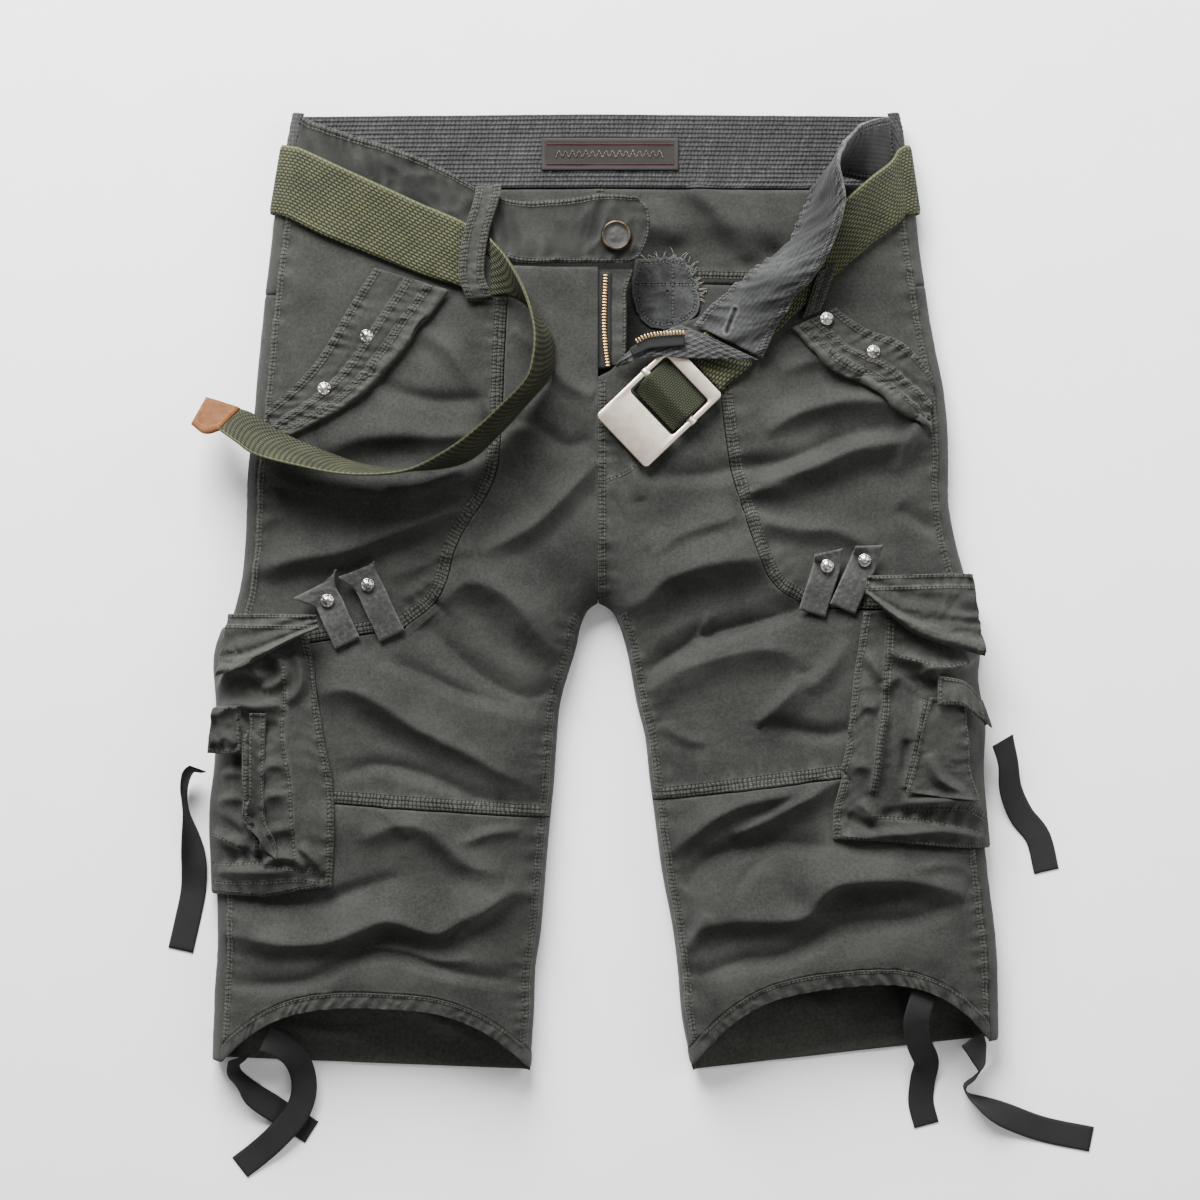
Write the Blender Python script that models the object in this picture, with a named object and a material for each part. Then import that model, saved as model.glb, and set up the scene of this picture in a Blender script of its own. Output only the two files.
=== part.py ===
"""Cropped cargo trousers with a webbing belt, lying on their back with a puffed front.

The garment's length runs along Y (waist at +Y), its width along X, and the surface it lies on
is z = 0. The wearer's right leg is at -X and has the suffix _r, the left one is at +X with _l.
All sizes here are millimetres; solid() turns them into metres.

The cloth follows one form: the back lies flat, turns up round a small fold along each side
silhouette, and the front rises from that fold to a crown. top_z() and base_z() give that form at
any plan point, and every panel is a wall between them. What lies on a panel is made from the
same points, moved out along their normals.
"""
import math

import bpy
import numpy as np

# Cloth and gaps
CLOTH = 1.6
BAND_CLOTH = 2.4
THIN_CLOTH = 1.1
SEAM_GAP = 0.3
LAY_GAP = 1.4

# Garment form
FOLD_RADIUS = 9.0
RIM_REACH = 55.0
OUTSEAM_REACH = 9.0
WAIST_LIFT = 4.8
LIFT_START_Y = 240.0
LIFT_END_Y = 262.0
CROTCH_Y = -8.0
WAIST_BOTTOM_Y = 286.0
WAIST_TOP_Y = 338.0
YOKE_SEAM_Y = 220.0
KNEE_OUTER_Y = -140.0
KNEE_INNER_Y = -158.0
KNEE_GAP = 0.7
SHELF_GAP = 0.9
HEM_CASING = 11.0
CASING_GAP = 0.9
HEM_GATHERS = 17
HEM_GATHER_DEPTH = 1.4

# Rows and columns of the panels' points
HIP_ROWS = 13
HIP_COLUMNS = 9
SHELF_ROWS = 4
THIGH_ROWS = 6
INSEAM_ROWS = 12
SHIN_ROWS = 9
LEG_COLUMNS = 15
YOKE_ROWS = 3
BAND_ROWS = 3
GATHER_STEPS = 3
HIP_CROWDING = 0.45
LEG_CROWDING = 0.62
CURVE_STEPS = 4

# Belt and buckle
BELT_CLOTH = 2.2
BELT_CENTRE_Z = 3.3
BUCKLE_LENGTH = 74.0
BUCKLE_WIDTH = 51.0
BUCKLE_PLATE = 3.0
TAPE_WIDTH = 18.0
TAPE_CLOTH = 1.2

# Side silhouettes, from the waist or the crotch down to past the hem
OUTER_R = (
    (-206, 385), (-216, 337), (-223, 300), (-229, 262), (-235, 215), (-240, 165), (-244, 120),
    (-248, 85), (-249, 45), (-252, 10), (-259, -18), (-268, -45), (-266, -80), (-267, -120),
    (-271, -155), (-270, -200), (-269, -241), (-271, -280), (-273, -329), (-275, -370),
)
OUTER_L = (
    (204, 385), (213, 337), (218, 310), (224, 268), (230, 225), (237, 180), (245, 140),
    (248, 100), (248, 64), (253, 35), (261, 5), (267, -32), (265, -62), (270, -92),
    (269, -126), (272, -162), (276, -202), (281, -241), (283, -285), (283, -318), (282, -370),
)
INNER_R = (
    (0, -8), (-7, -13), (-12, -24), (-16, -42), (-26, -76), (-29, -105), (-31, -135),
    (-34, -165), (-37, -200), (-40, -238), (-44, -265), (-45, -295), (-47, -325), (-49, -370),
)
INNER_L = (
    (0, -8), (9, -13), (15, -24), (21, -45), (27, -78), (33, -102), (36, -130),
    (40, -160), (45, -198), (52, -234), (56, -265), (59, -300), (66, -335), (72, -370),
)
SIDES = {"r": (OUTER_R, INNER_R, -1.0), "l": (OUTER_L, INNER_L, 1.0)}
EDGE_STEPS = 4
ON_EDGE = 0.02

# Columns of a back panel: offsets over the flat, angles round the fold, reaches onto the front
FOLD_OFFSETS = (0.0, 0.7, 2.8, 5.8, FOLD_RADIUS)
FOLD_ANGLES = (30, 60, 90)
RIM_REACHES = (1.3, 4.5, OUTSEAM_REACH - SEAM_GAP / 2)

# Seams across the front panels
FRONT_SEAM = {
    "r": ((-62, 228), (-65, 171), (-68, 105), (-75, 73), (-97, 36), (-110, -3), (-135, -25)),
    "l": ((80, 196), (84, 150), (91, 96), (97, 70), (112, 26), (124, 4), (146, -10)),
}
SEAM_END_Y = {"r": -42.0, "l": -14.0}
WAIST_EDGE = {
    "r": ((-222, 285), (-170, 266), (-115, 246), (-62, 228)),
    "l": ((217, 284), (186, 285), (157, 281), (142, 254), (114, 225), (101, 212), (80, 196)),
}
FLY_EDGE = {
    "r": ((-62, 228), (-30, 227), (0, 227)),
    "l": ((80, 196), (54, 185), (26, 170), (6, 152)),
}
FLY_FOOT_Y = {"r": 227.0, "l": 150.0}

# Front crown over the garment's length: y, height of the front above the surface
CROWN_BY_LENGTH = (
    (385, 30), (300, 34), (200, 38), (80, 40), (0, 40), (-100, 42), (-200, 43), (-290, 45), (-370, 44),
)

# The largest folds: from x, y to x, y, sideways bend, height (negative is a valley), half width
FOLDS = (
    (-238, 20, -95, 62, 6, 7, 16), (-222, 66, -120, 98, 6, -8, 17), (-176, -52, -38, -98, 5, 7, 16),
    (-172, -92, -44, -138, 8, -7, 15), (-112, -4, -30, -66, 4, -7, 15),
    (-235, -160, -70, -178, 9, 6, 17), (-240, -222, -58, -232, -14, -8, 16),
    (-225, -278, -70, -268, 6, 5, 15), (-200, 118, -90, 150, -4, 4, 20),
    (103, 72, 228, 117, 4, 7, 15), (118, 108, 226, 128, 5, -6, 14), (112, 52, 236, 98, 5, -7, 14),
    (10, 4, 116, 38, 4, 7, 16), (44, -14, 172, -16, 10, -8, 16), (32, -74, 148, -36, 6, 7, 16),
    (112, -92, 160, -64, 0, 6, 15), (72, -180, 150, -136, 3, 6, 16), (58, -206, 130, -158, 0, -7, 14),
    (66, -218, 214, -188, 5, 7, 15), (72, -246, 240, -208, 8, -7, 15), (76, -284, 252, -246, 6, 7, 15),
    (14, 60, 76, 96, 0, 5, 18),
)
FOLD_STEPS = 6

# Casing seam of each front hem: y at its outer and inner end, and how far its middle is drawn up
HEM = {"r": (-317.0, -324.0, 42.0), "l": (-302.0, -322.0, 48.0)}
HEM_BACK = {"r": (-329.0, -338.0), "l": (-315.0, -338.0)}
ARCH_POWER = 3.0
CASING_SHARES = np.array((0.0, 0.45, 1.0))
CASING_WAVE = np.array((0.3, 1.0, 0.8))
CASING_PADDING = 0.6


# ---------------------------------------------------------------- curves and the cloth's form

def through(points, spans):
    """Points of a smooth curve through the given ones, with that many steps in each span."""
    given = np.array(points, float)
    ahead = 2 * given[-1] - given[-2]
    behind = 2 * given[0] - given[1]
    padded = np.vstack([behind, given, ahead])
    found = []
    for i in range(len(given) - 1):
        a, b, c, d = padded[i:i + 4]
        for step in range(spans):
            t = step / spans
            found.append(0.5 * (2 * b + (c - a) * t + (2 * a - 5 * b + 4 * c - d) * t ** 2
                                + (3 * b - a - 3 * c + d) * t ** 3))
    found.append(given[-1])
    return np.array(found)


def resample(points, count):
    """count + 1 points spaced evenly along a polyline."""
    points = np.array(points, float)
    run = np.concatenate([[0], np.cumsum(np.linalg.norm(np.diff(points, axis=0), axis=1))])
    wanted = np.linspace(0, run[-1], count + 1)
    return np.stack([np.interp(wanted, run, points[:, k]) for k in range(points.shape[1])], axis=1)


def clustered(count, amount):
    """count + 1 numbers from 0 to 1 that crowd towards both ends by amount."""
    s = np.linspace(0, 1, count + 1)
    return s - amount * np.sin(2 * math.pi * s) / (2 * math.pi)


def edge_at(table, y):
    """x of a side silhouette at y."""
    fine = through(table, EDGE_STEPS)[::-1]
    return np.interp(y, fine[:, 1], fine[:, 0])


def silhouette_segments():
    """Starts, ends and inward normals of short segments along all four side silhouettes."""
    starts, ends, inward = [], [], []
    for outer, inner, sign in SIDES.values():
        for table, side in ((outer, -sign), (inner, sign)):
            fine = through(table, EDGE_STEPS)
            run = np.diff(fine, axis=0)
            normal = np.stack([-run[:, 1], run[:, 0]], axis=1)
            normal /= np.linalg.norm(normal, axis=1)[:, None]
            normal *= np.sign(normal[:, :1]) * side
            starts.append(fine[:-1])
            ends.append(fine[1:])
            inward.append(normal)
    return np.vstack(starts), np.vstack(ends), np.vstack(inward)


SEG_START, SEG_END, SEG_INWARD = silhouette_segments()


def nearest_edge(x, y):
    """Distance from plan points to the nearest side silhouette, and its direction."""
    p = np.stack([np.asarray(x, float), np.asarray(y, float)], axis=-1)
    run = SEG_END - SEG_START
    t = ((p[..., None, :] - SEG_START) * run).sum(-1) / (run ** 2).sum(-1)
    foot = SEG_START + np.clip(t, 0, 1)[..., None] * run
    away = p[..., None, :] - foot
    far = np.linalg.norm(away, axis=-1)
    pick = far.argmin(-1)
    distance = np.take_along_axis(far, pick[..., None], -1)[..., 0]
    direction = np.take_along_axis(away, pick[..., None, None], -2)[..., 0, :]
    direction = direction / np.maximum(distance, 1e-9)[..., None]
    direction = np.where(distance[..., None] > ON_EDGE, direction, SEG_INWARD[pick])
    return distance, direction


def smoothstep(t):
    """0 to 1 with level ends."""
    t = np.clip(t, 0, 1)
    return t * t * (3 - 2 * t)


def lift(y):
    """How far the belt under the waist raises the back."""
    return WAIST_LIFT * smoothstep((np.asarray(y, float) - LIFT_START_Y) / (LIFT_END_Y - LIFT_START_Y))


def crown(x, y):
    """Height of the front, away from its rims, with the folds."""
    table = np.array(CROWN_BY_LENGTH[::-1], float)
    height = np.interp(y, table[:, 0], table[:, 1])
    far_away = 1e9
    for x0, y0, x1, y1, bend, rise, half in FOLDS:
        along = np.linspace(0, 1, FOLD_STEPS + 1)
        length = math.hypot(x1 - x0, y1 - y0)
        across = np.array([-(y1 - y0), x1 - x0]) / length
        spine = np.stack([x0 + (x1 - x0) * along, y0 + (y1 - y0) * along], axis=1)
        spine += np.outer(4 * bend * along * (1 - along), across)
        near = np.full(np.shape(x), far_away)
        place = np.zeros(np.shape(x))
        for k in range(FOLD_STEPS):
            run = spine[k + 1] - spine[k]
            t = np.clip(((x - spine[k, 0]) * run[0] + (y - spine[k, 1]) * run[1]) / (run @ run), 0, 1)
            gap = np.hypot(x - spine[k, 0] - t * run[0], y - spine[k, 1] - t * run[1])
            place = np.where(gap < near, (k + t) / FOLD_STEPS, place)
            near = np.minimum(gap, near)
        height = height + rise * np.sqrt(4 * place * (1 - place)) * np.exp(-(near / half) ** 2)
    return height


def top_z(x, y):
    """Outer face of the front: height and normal at plan points. It meets the fold upright."""
    x, y = np.asarray(x, float), np.asarray(y, float)
    distance, direction = nearest_edge(x, y)
    s = np.clip(distance / RIM_REACH, 1e-5, 1)
    rise = np.sqrt(1 - (1 - s) ** 2)
    slope = np.where(s < 1, (1 - s) / rise / RIM_REACH, 0)
    fold = FOLD_RADIUS + lift(y)
    height = crown(x, y)
    step = 1.0
    tilt_x = (crown(x + step, y) - crown(x - step, y)) / (2 * step)
    tilt_y = (crown(x, y + step) - crown(x, y - step)) / (2 * step)
    normal = np.stack([-(height - fold) * slope * direction[..., 0] - rise * tilt_x,
                       -(height - fold) * slope * direction[..., 1] - rise * tilt_y,
                       np.ones_like(rise)], axis=-1)
    normal /= np.linalg.norm(normal, axis=-1)[..., None]
    return fold + (height - fold) * np.where(distance < ON_EDGE, 0, rise), normal


def base_z(x, y):
    """Outer face of the back: height and normal at plan points."""
    distance, direction = nearest_edge(x, y)
    s = np.clip(1 - distance / FOLD_RADIUS, 0, 1)
    drop = np.sqrt(np.maximum(1 - s ** 2, 0))
    normal = np.stack([-s * direction[..., 0], -s * direction[..., 1], -drop], axis=-1)
    return lift(y) + FOLD_RADIUS * (1 - drop), normal


def on_top(plan, height=0.0):
    """Points on the front's outer face over a grid of plan points, moved out by height."""
    z, normal = top_z(plan[..., 0], plan[..., 1])
    points = np.concatenate([plan, z[..., None]], axis=-1)
    return points + normal * np.asarray(height, float)[..., None], normal


def inward_of(side, y, reach):
    """Plan point that lies reach inside the outer silhouette, square to it at y."""
    outer, _, sign = SIDES[side]
    step = 2.0
    run = np.array([edge_at(outer, y + step) - edge_at(outer, y - step), 2 * step])
    run /= np.linalg.norm(run)
    normal = np.array([-run[1], run[0]]) if sign > 0 else np.array([run[1], -run[0]])
    return np.array([edge_at(outer, y), y]) + normal * reach


def inner_point(side, y):
    """Plan point on the centre line above the crotch and on the inner silhouette below it."""
    _, inner, sign = SIDES[side]
    if y >= CROTCH_Y:
        return np.array([sign * SEAM_GAP / 2, y])
    return np.array([edge_at(inner, y), y])


# ---------------------------------------------------------------- solids

def material(name, colour, roughness, metallic=0.0):
    """A plain material of one colour."""
    made = bpy.data.materials.new(name)
    made.use_nodes = True
    shader = made.node_tree.nodes["Principled BSDF"]
    shader.inputs["Base Color"].default_value = (*colour, 1.0)
    shader.inputs["Roughness"].default_value = roughness
    shader.inputs["Metallic"].default_value = metallic
    return made


def solid(name, points, faces, finish):
    """One object from points in millimetres, with its faces turned out."""
    mesh = bpy.data.meshes.new(name)
    mesh.from_pydata([[float(c) * 0.001 for c in p] for p in points], [], faces)
    mesh.materials.append(finish)
    mesh.shade_smooth()
    made = bpy.data.objects.new(name, mesh)
    bpy.context.collection.objects.link(made)
    return made


def volume(points, faces):
    """Six times the signed volume inside closed faces."""
    total = 0.0
    for face in faces:
        a, b, c = (points[k] for k in face)
        total += np.dot(a, np.cross(b, c))
    return total


def wall(name, outside, inside, finish):
    """A closed wall between two grids of the same shape."""
    rows, cols = outside.shape[:2]
    points = np.concatenate([outside.reshape(-1, 3), inside.reshape(-1, 3)])
    half = rows * cols
    faces = []

    def quad(a, b, c, d):
        faces.extend([(a, b, c), (a, c, d)])

    for i in range(rows - 1):
        for j in range(cols - 1):
            a, b = i * cols + j, i * cols + j + 1
            c, d = b + cols, a + cols
            quad(a, b, c, d)
            faces.extend([(a + half, c + half, b + half), (a + half, d + half, c + half)])
    for j in range(cols - 1):
        quad(j + 1, j, j + half, j + 1 + half)
        last = (rows - 1) * cols + j
        quad(last, last + 1, last + 1 + half, last + half)
    for i in range(rows - 1):
        first = i * cols
        quad(first, first + cols, first + cols + half, first + half)
        end = first + cols - 1
        quad(end + cols, end, end + half, end + cols + half)
    if volume(points, faces) < 0:
        faces = [face[::-1] for face in faces]
    return solid(name, points, faces, finish)


def between(top, bottom, left, right, across):
    """Plan grid between four edges whose corners meet; across gives each column's share."""
    u = np.array(across)[None, :, None]
    v = np.linspace(0, 1, len(left))[:, None, None]
    top, bottom, left, right = (np.array(edge, float) for edge in (top, bottom, left, right))
    return ((1 - v) * top[None] + v * bottom[None] + (1 - u) * left[:, None] + u * right[:, None]
            - (1 - u) * ((1 - v) * left[0] + v * left[-1])
            - u * ((1 - v) * right[0] + v * right[-1]))


def at_shares(points, shares):
    """Plan points at the given shares of a polyline's length."""
    points = np.array(points, float)
    run = np.concatenate([[0], np.cumsum(np.linalg.norm(np.diff(points, axis=0), axis=1))])
    return np.stack([np.interp(np.array(shares) * run[-1], run, points[:, k]) for k in (0, 1)], axis=1)


def layer(name, plan, finish, height=0.0, cloth=CLOTH):
    """A wall on the front's form, its inner face height above the form (negative is below)."""
    level = np.zeros(plan.shape[:2]) + height
    outside, _ = on_top(plan, level + cloth)
    inside, _ = on_top(plan, level)
    return wall(name, outside, inside, finish)


def strip(name, upper, lower, cloth, finish, cols=2):
    """A wall of webbing between two edge curves in space, cloth thick about its middle."""
    upper, lower = np.array(upper, float), np.array(lower, float)
    shares = np.linspace(0, 1, cols + 1)
    grid = upper[:, None, :] * (1 - shares[None, :, None]) + lower[:, None, :] * shares[None, :, None]
    along = np.gradient((upper + lower) / 2, axis=0)
    normal = np.cross(lower - upper, along)
    normal /= np.linalg.norm(normal, axis=1)[:, None]
    return wall(name, grid + normal[:, None, :] * cloth / 2, grid - normal[:, None, :] * cloth / 2, finish)


def turned(name, centre, axis, profile, sides, finish):
    """A round piece: profile rows are radius, height along the axis from centre."""
    axis = np.array(axis, float) / np.linalg.norm(axis)
    side = np.cross(axis, [0.0, 1.0, 0.0])
    side /= np.linalg.norm(side)
    other = np.cross(axis, side)
    points, faces = [np.array(centre) + axis * profile[0][1]], []
    for radius, height in profile[1:-1]:
        for k in range(sides):
            turn = 2 * math.pi * k / sides
            points.append(np.array(centre) + axis * height
                          + radius * (math.cos(turn) * side + math.sin(turn) * other))
    points.append(np.array(centre) + axis * profile[-1][1])
    last = len(points) - 1
    rings = len(profile) - 2
    for k in range(sides):
        n = (k + 1) % sides
        faces.append((0, 1 + n, 1 + k))
        for ring in range(rings - 1):
            a, b = 1 + ring * sides + k, 1 + ring * sides + n
            faces.extend([(a, b, b + sides), (a, b + sides, a + sides)])
        base = 1 + (rings - 1) * sides
        faces.append((base + k, base + n, last))
    if volume(points, faces) < 0:
        faces = [face[::-1] for face in faces]
    return solid(name, points, faces, finish)


# ---------------------------------------------------------------- panels

def hip_rows(side):
    """y of the rows from the waistband's seam down to the curved seam's end."""
    return np.linspace(WAIST_BOTTOM_Y - 1, SEAM_END_Y[side], HIP_ROWS + 1)


def thigh_rows(side):
    """y of the rows from the curved seam's end down to the knee seam."""
    return np.linspace(SEAM_END_Y[side] - SHELF_GAP, KNEE_OUTER_Y, THIGH_ROWS + 1)


def shin_rows(side):
    """y of the rows from the knee seam down to the hem's casing."""
    return np.linspace(KNEE_OUTER_Y - KNEE_GAP, HEM[side][0], SHIN_ROWS + 1)


def outseam_edge(side, y_values):
    """The front's edge along the outseam."""
    return np.array([inward_of(side, y, OUTSEAM_REACH + SEAM_GAP / 2) for y in y_values])


def front_seam(side):
    """The curved seam that splits the front, in even steps."""
    return resample(through(FRONT_SEAM[side], CURVE_STEPS), HIP_ROWS)


def front_hip(side, finish):
    """Outer part of the front above the curved seam, with the slant pocket."""
    sign = SIDES[side][2]
    shares = clustered(HIP_COLUMNS, HIP_CROWDING)
    seam = front_seam(side) + [sign * SEAM_GAP, 0]
    left = outseam_edge(side, hip_rows(side))
    waist = np.vstack([left[:1], through(WAIST_EDGE[side], CURVE_STEPS)[1:-1], seam[:1]]) - [0, SEAM_GAP]
    foot = np.vstack([left[-1:], seam[-1:]])
    left[0], seam[0] = waist[0], waist[-1]
    plan = between(at_shares(waist, shares), at_shares(foot, shares), left, seam, shares)
    layer("front_hip_" + side, plan, finish, -CLOTH)


def front_thigh(side, finish):
    """The inner front strip beside the fly and the thigh down to the knee seam."""
    sign = SIDES[side][2]
    shares = clustered(LEG_COLUMNS, LEG_CROWDING)
    seam = front_seam(side) - [sign * SEAM_GAP, 0]
    corner = inward_of(side, SEAM_END_Y[side], OUTSEAM_REACH + SEAM_GAP / 2)
    shelf = resample(np.vstack([seam[-1] - [0, SHELF_GAP], corner - [0, SHELF_GAP]]), SHELF_ROWS)
    outer = np.vstack([seam[:-1], shelf[:-1], outseam_edge(side, thigh_rows(side))])
    fly_rows = len(outer) - 1 - INSEAM_ROWS
    centre = [inner_point(side, y) for y in np.linspace(FLY_FOOT_Y[side], CROTCH_Y, fly_rows + 1)]
    inseam = [inner_point(side, y) for y in np.linspace(CROTCH_Y, KNEE_INNER_Y, INSEAM_ROWS + 1)[1:]]
    inner = np.array(centre + inseam)
    fly = through(FLY_EDGE[side], CURVE_STEPS)
    fly[0], fly[-1] = outer[0], inner[0]
    knee = np.vstack([outer[-1:], inner[-1:]])
    plan = between(at_shares(fly, shares), at_shares(knee, shares), outer, inner, shares)
    layer("front_thigh_" + side, plan, finish, -CLOTH)


def arch(side, outer_y, inner_y, rise, shares):
    """A hem line between the side silhouettes, its middle drawn up by rise."""
    outer = inward_of(side, outer_y, OUTSEAM_REACH + SEAM_GAP / 2)
    inner = inner_point(side, inner_y)
    share = np.array(shares)[:, None]
    line = outer * (1 - share) + inner * share
    line[:, 1] += rise * (1 - np.abs(2 * share[:, 0] - 1) ** ARCH_POWER)
    return line


def front_shin(side, finish):
    """The front below the knee seam, down to the casing of the drawstring."""
    outer_y, inner_y, rise = HEM[side]
    shares = clustered(LEG_COLUMNS, LEG_CROWDING)
    outer = outseam_edge(side, shin_rows(side))
    inner = np.array([inner_point(side, y)
                      for y in np.linspace(KNEE_INNER_Y - KNEE_GAP, inner_y, SHIN_ROWS + 1)])
    knee = at_shares(np.vstack([outer[:1], inner[:1]]), shares)
    plan = between(knee, arch(side, outer_y, inner_y, rise, shares), outer, inner, shares)
    layer("front_shin_" + side, plan, finish, -CLOTH)


def hem_casing(side, finish):
    """The gathered casing of the drawstring along the front hem."""
    outer_y, inner_y, rise = HEM[side]
    shares = clustered(LEG_COLUMNS, LEG_CROWDING)
    steps = np.arange(LEG_COLUMNS * GATHER_STEPS + 1) / GATHER_STEPS
    fine = np.interp(steps, np.arange(len(shares)), shares)
    plan = []
    for drop in CASING_GAP + HEM_CASING * CASING_SHARES:
        line = arch(side, outer_y - drop, inner_y - drop, rise, shares)
        plan.append(np.stack([np.interp(fine, shares, line[:, k]) for k in (0, 1)], axis=1))
    wave = np.sin(2 * math.pi * HEM_GATHERS * np.linspace(0, 1, len(fine)))
    wave *= np.sqrt(np.sin(math.pi * fine))
    height = HEM_GATHER_DEPTH * wave[None, :] * CASING_WAVE[:, None]
    outside, _ = on_top(np.array(plan), height + CASING_PADDING)
    inside, _ = on_top(np.array(plan), height - CLOTH - CASING_PADDING)
    wall("hem_casing_" + side, outside, inside, finish)


def back_rows(side, stations, columns=3):
    """Outer and inner grids of a back panel from the centre or inner fold out to the outseam."""
    outside, normals = [], []
    for outer_y, inner_y in stations:
        start = inner_point(side, inner_y)
        flat_end = inward_of(side, outer_y, FOLD_RADIUS)
        width = np.linalg.norm(flat_end - start)
        near = np.array(FOLD_OFFSETS) / width
        shares = np.concatenate([near, np.linspace(FOLD_RADIUS / width, 1, columns + 1)[1:]])
        plan = start[None] * (1 - shares[:, None]) + flat_end[None] * shares[:, None]
        z, normal = base_z(plan[:, 0], plan[:, 1])
        if inner_y < CROTCH_Y:
            z[0] = FOLD_RADIUS + lift(inner_y) - SEAM_GAP / 2
        row = [np.array([*p, h]) for p, h in zip(plan, z)]
        turn = list(normal)
        out = (flat_end - inward_of(side, outer_y, 0.0)) / FOLD_RADIUS
        for angle in FOLD_ANGLES:
            a = math.radians(angle)
            place = inward_of(side, outer_y, FOLD_RADIUS * (1 - math.sin(a)))
            row.append(np.array([*place, lift(outer_y) + FOLD_RADIUS * (1 - math.cos(a))]))
            turn.append(np.array([*(-out * math.sin(a)), -math.cos(a)]))
        for reach in RIM_REACHES:
            place = inward_of(side, outer_y, reach)
            z_top, n_top = top_z(place[0], place[1])
            row.append(np.array([*place, z_top]))
            turn.append(n_top)
        outside.append(row)
        normals.append(turn)
    return np.array(outside), np.array(normals)


def back_panels(side, finish):
    """The yoke and the leg of the back; their rows meet the front's at the outseam."""
    hip, thigh, shin = hip_rows(side), thigh_rows(side), shin_rows(side)
    yoke_outer = hip[:YOKE_ROWS + 1]
    yoke = list(zip(yoke_outer, np.linspace(WAIST_BOTTOM_Y - 1, YOKE_SEAM_Y, YOKE_ROWS + 1)))
    outside, normals = back_rows(side, yoke)
    wall("back_yoke_" + side, outside, outside - normals * CLOTH, finish)
    seat = hip[YOKE_ROWS:]
    stations = [(seat[0] - SEAM_GAP, YOKE_SEAM_Y - SEAM_GAP)]
    stations += list(zip(seat[1:], np.linspace(YOKE_SEAM_Y, CROTCH_Y, len(seat))[1:]))
    stations += list(zip(thigh[1:], np.linspace(CROTCH_Y, KNEE_INNER_Y, THIGH_ROWS + 1)[1:]))
    hem_outer, hem_inner = HEM_BACK[side]
    stations += list(zip(shin[1:], np.linspace(KNEE_INNER_Y, HEM[side][1], SHIN_ROWS + 1)[1:]))
    stations.append((hem_outer, hem_inner))
    outside, normals = back_rows(side, stations)
    wall("back_leg_" + side, outside, outside - normals * CLOTH, finish)


def waistband_back(finish):
    """The back waistband, round both side folds to the outseams."""
    stations = [(y, y) for y in np.linspace(WAIST_TOP_Y, WAIST_BOTTOM_Y, BAND_ROWS + 1)]
    halves = [back_rows(side, stations, columns=4) for side in SIDES]
    skip = len(FOLD_OFFSETS)
    outside = np.concatenate([halves[0][0][:, ::-1][:, :-skip], halves[1][0][:, skip:]], axis=1)
    normals = np.concatenate([halves[0][1][:, ::-1][:, :-skip], halves[1][1][:, skip:]], axis=1)
    wall("waistband_back", outside, outside - normals * BAND_CLOTH, finish)


# Front waistband on the wearer's right: its top, its sewn edge and its round button end
BAND_R_TOP = ((-206, 332), (-176, 321), (-133, 307), (-105, 294), (-66, 275), (-30, 274), (1, 278), (26, 277))
BAND_R_SEWN = ((-212, 286), (-170, 267), (-115, 248), (-62, 230.5), (-30, 229.5), (0, 229.5), (22, 230))
BAND_R_END = ((26, 277), (35, 268), (36, 252), (31, 237), (22, 230))
BAND_R_COLUMNS = 16
BAND_R_CROWDING = 0.3
BAND_R_CLOTH = BAND_CLOTH + 0.4
BAND_R_START_Y = WAIST_TOP_Y - 2


def waistband_front_r(finish):
    """Front waistband on the wearer's right, up to its rounded button end."""
    top_edge = through(BAND_R_TOP, CURVE_STEPS)
    sewn_edge = through(BAND_R_SEWN, CURVE_STEPS)
    outer = outseam_edge("r", np.linspace(BAND_R_START_Y, WAIST_BOTTOM_Y, BAND_ROWS + 1))
    end = resample(through(BAND_R_END, CURVE_STEPS), BAND_ROWS)
    top_edge[0], sewn_edge[0] = outer[0], outer[-1]
    end[0], end[-1] = top_edge[-1], sewn_edge[-1]
    shares = clustered(BAND_R_COLUMNS, BAND_R_CROWDING)
    plan = between(at_shares(top_edge, shares), at_shares(sewn_edge, shares), outer, end, shares)
    layer("waistband_front_r", plan, finish, -CLOTH, BAND_R_CLOTH)


# Folded-out waistband of the wearer's left: x, y, height of its sewn edge over the front's form,
# then x, y and height of its top edge, and how far the cloth between them arches
FLAP_L = (
    (206, 285, 0.5, 204, 333, 4.0, 0.0), (186, 287, 1, 190, 328, 14, 2), (167, 290, 1, 177, 318, 30, 4),
    (151, 283, 1, 166, 296, 42, 4), (144, 266, 2, 170, 270, 40, 5), (134, 247, 3, 164, 245, 36, 8),
    (112, 227, 4, 151, 219, 28, 10), (98, 214, 5, 137, 204, 19, 9), (80, 200, 5, 124, 184, 11, 6),
    (66, 186, 5, 114, 162, 7.5, 3),
)
FLAP_ROWS = 26
FLAP_COLUMNS = 4
FLAP_STAND = 0.5


def folded_waistband_l(finish):
    """Front waistband on the wearer's left, folded out so that its inner face is up."""
    fine = resample(through(FLAP_L, CURVE_STEPS - 1), FLAP_ROWS)
    sewn, _ = on_top(fine[:, 0:2])
    free, _ = on_top(fine[:, 3:5])
    sewn[:, 2] += fine[:, 2] + FLAP_STAND
    free[:, 2] += fine[:, 5]
    shares = np.linspace(0, 1, FLAP_COLUMNS + 1)
    grid = sewn[:, None] * (1 - shares[None, :, None]) + free[:, None] * shares[None, :, None]
    grid[..., 2] += fine[:, 6, None] * 4 * shares * (1 - shares)
    along = np.gradient(grid, axis=0)
    across = np.gradient(grid, axis=1)
    normal = np.cross(across, along)
    normal /= np.linalg.norm(normal, axis=-1)[..., None]
    wall("waistband_front_l", grid + normal * BAND_CLOTH / 2, grid - normal * BAND_CLOTH / 2, finish)


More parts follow.
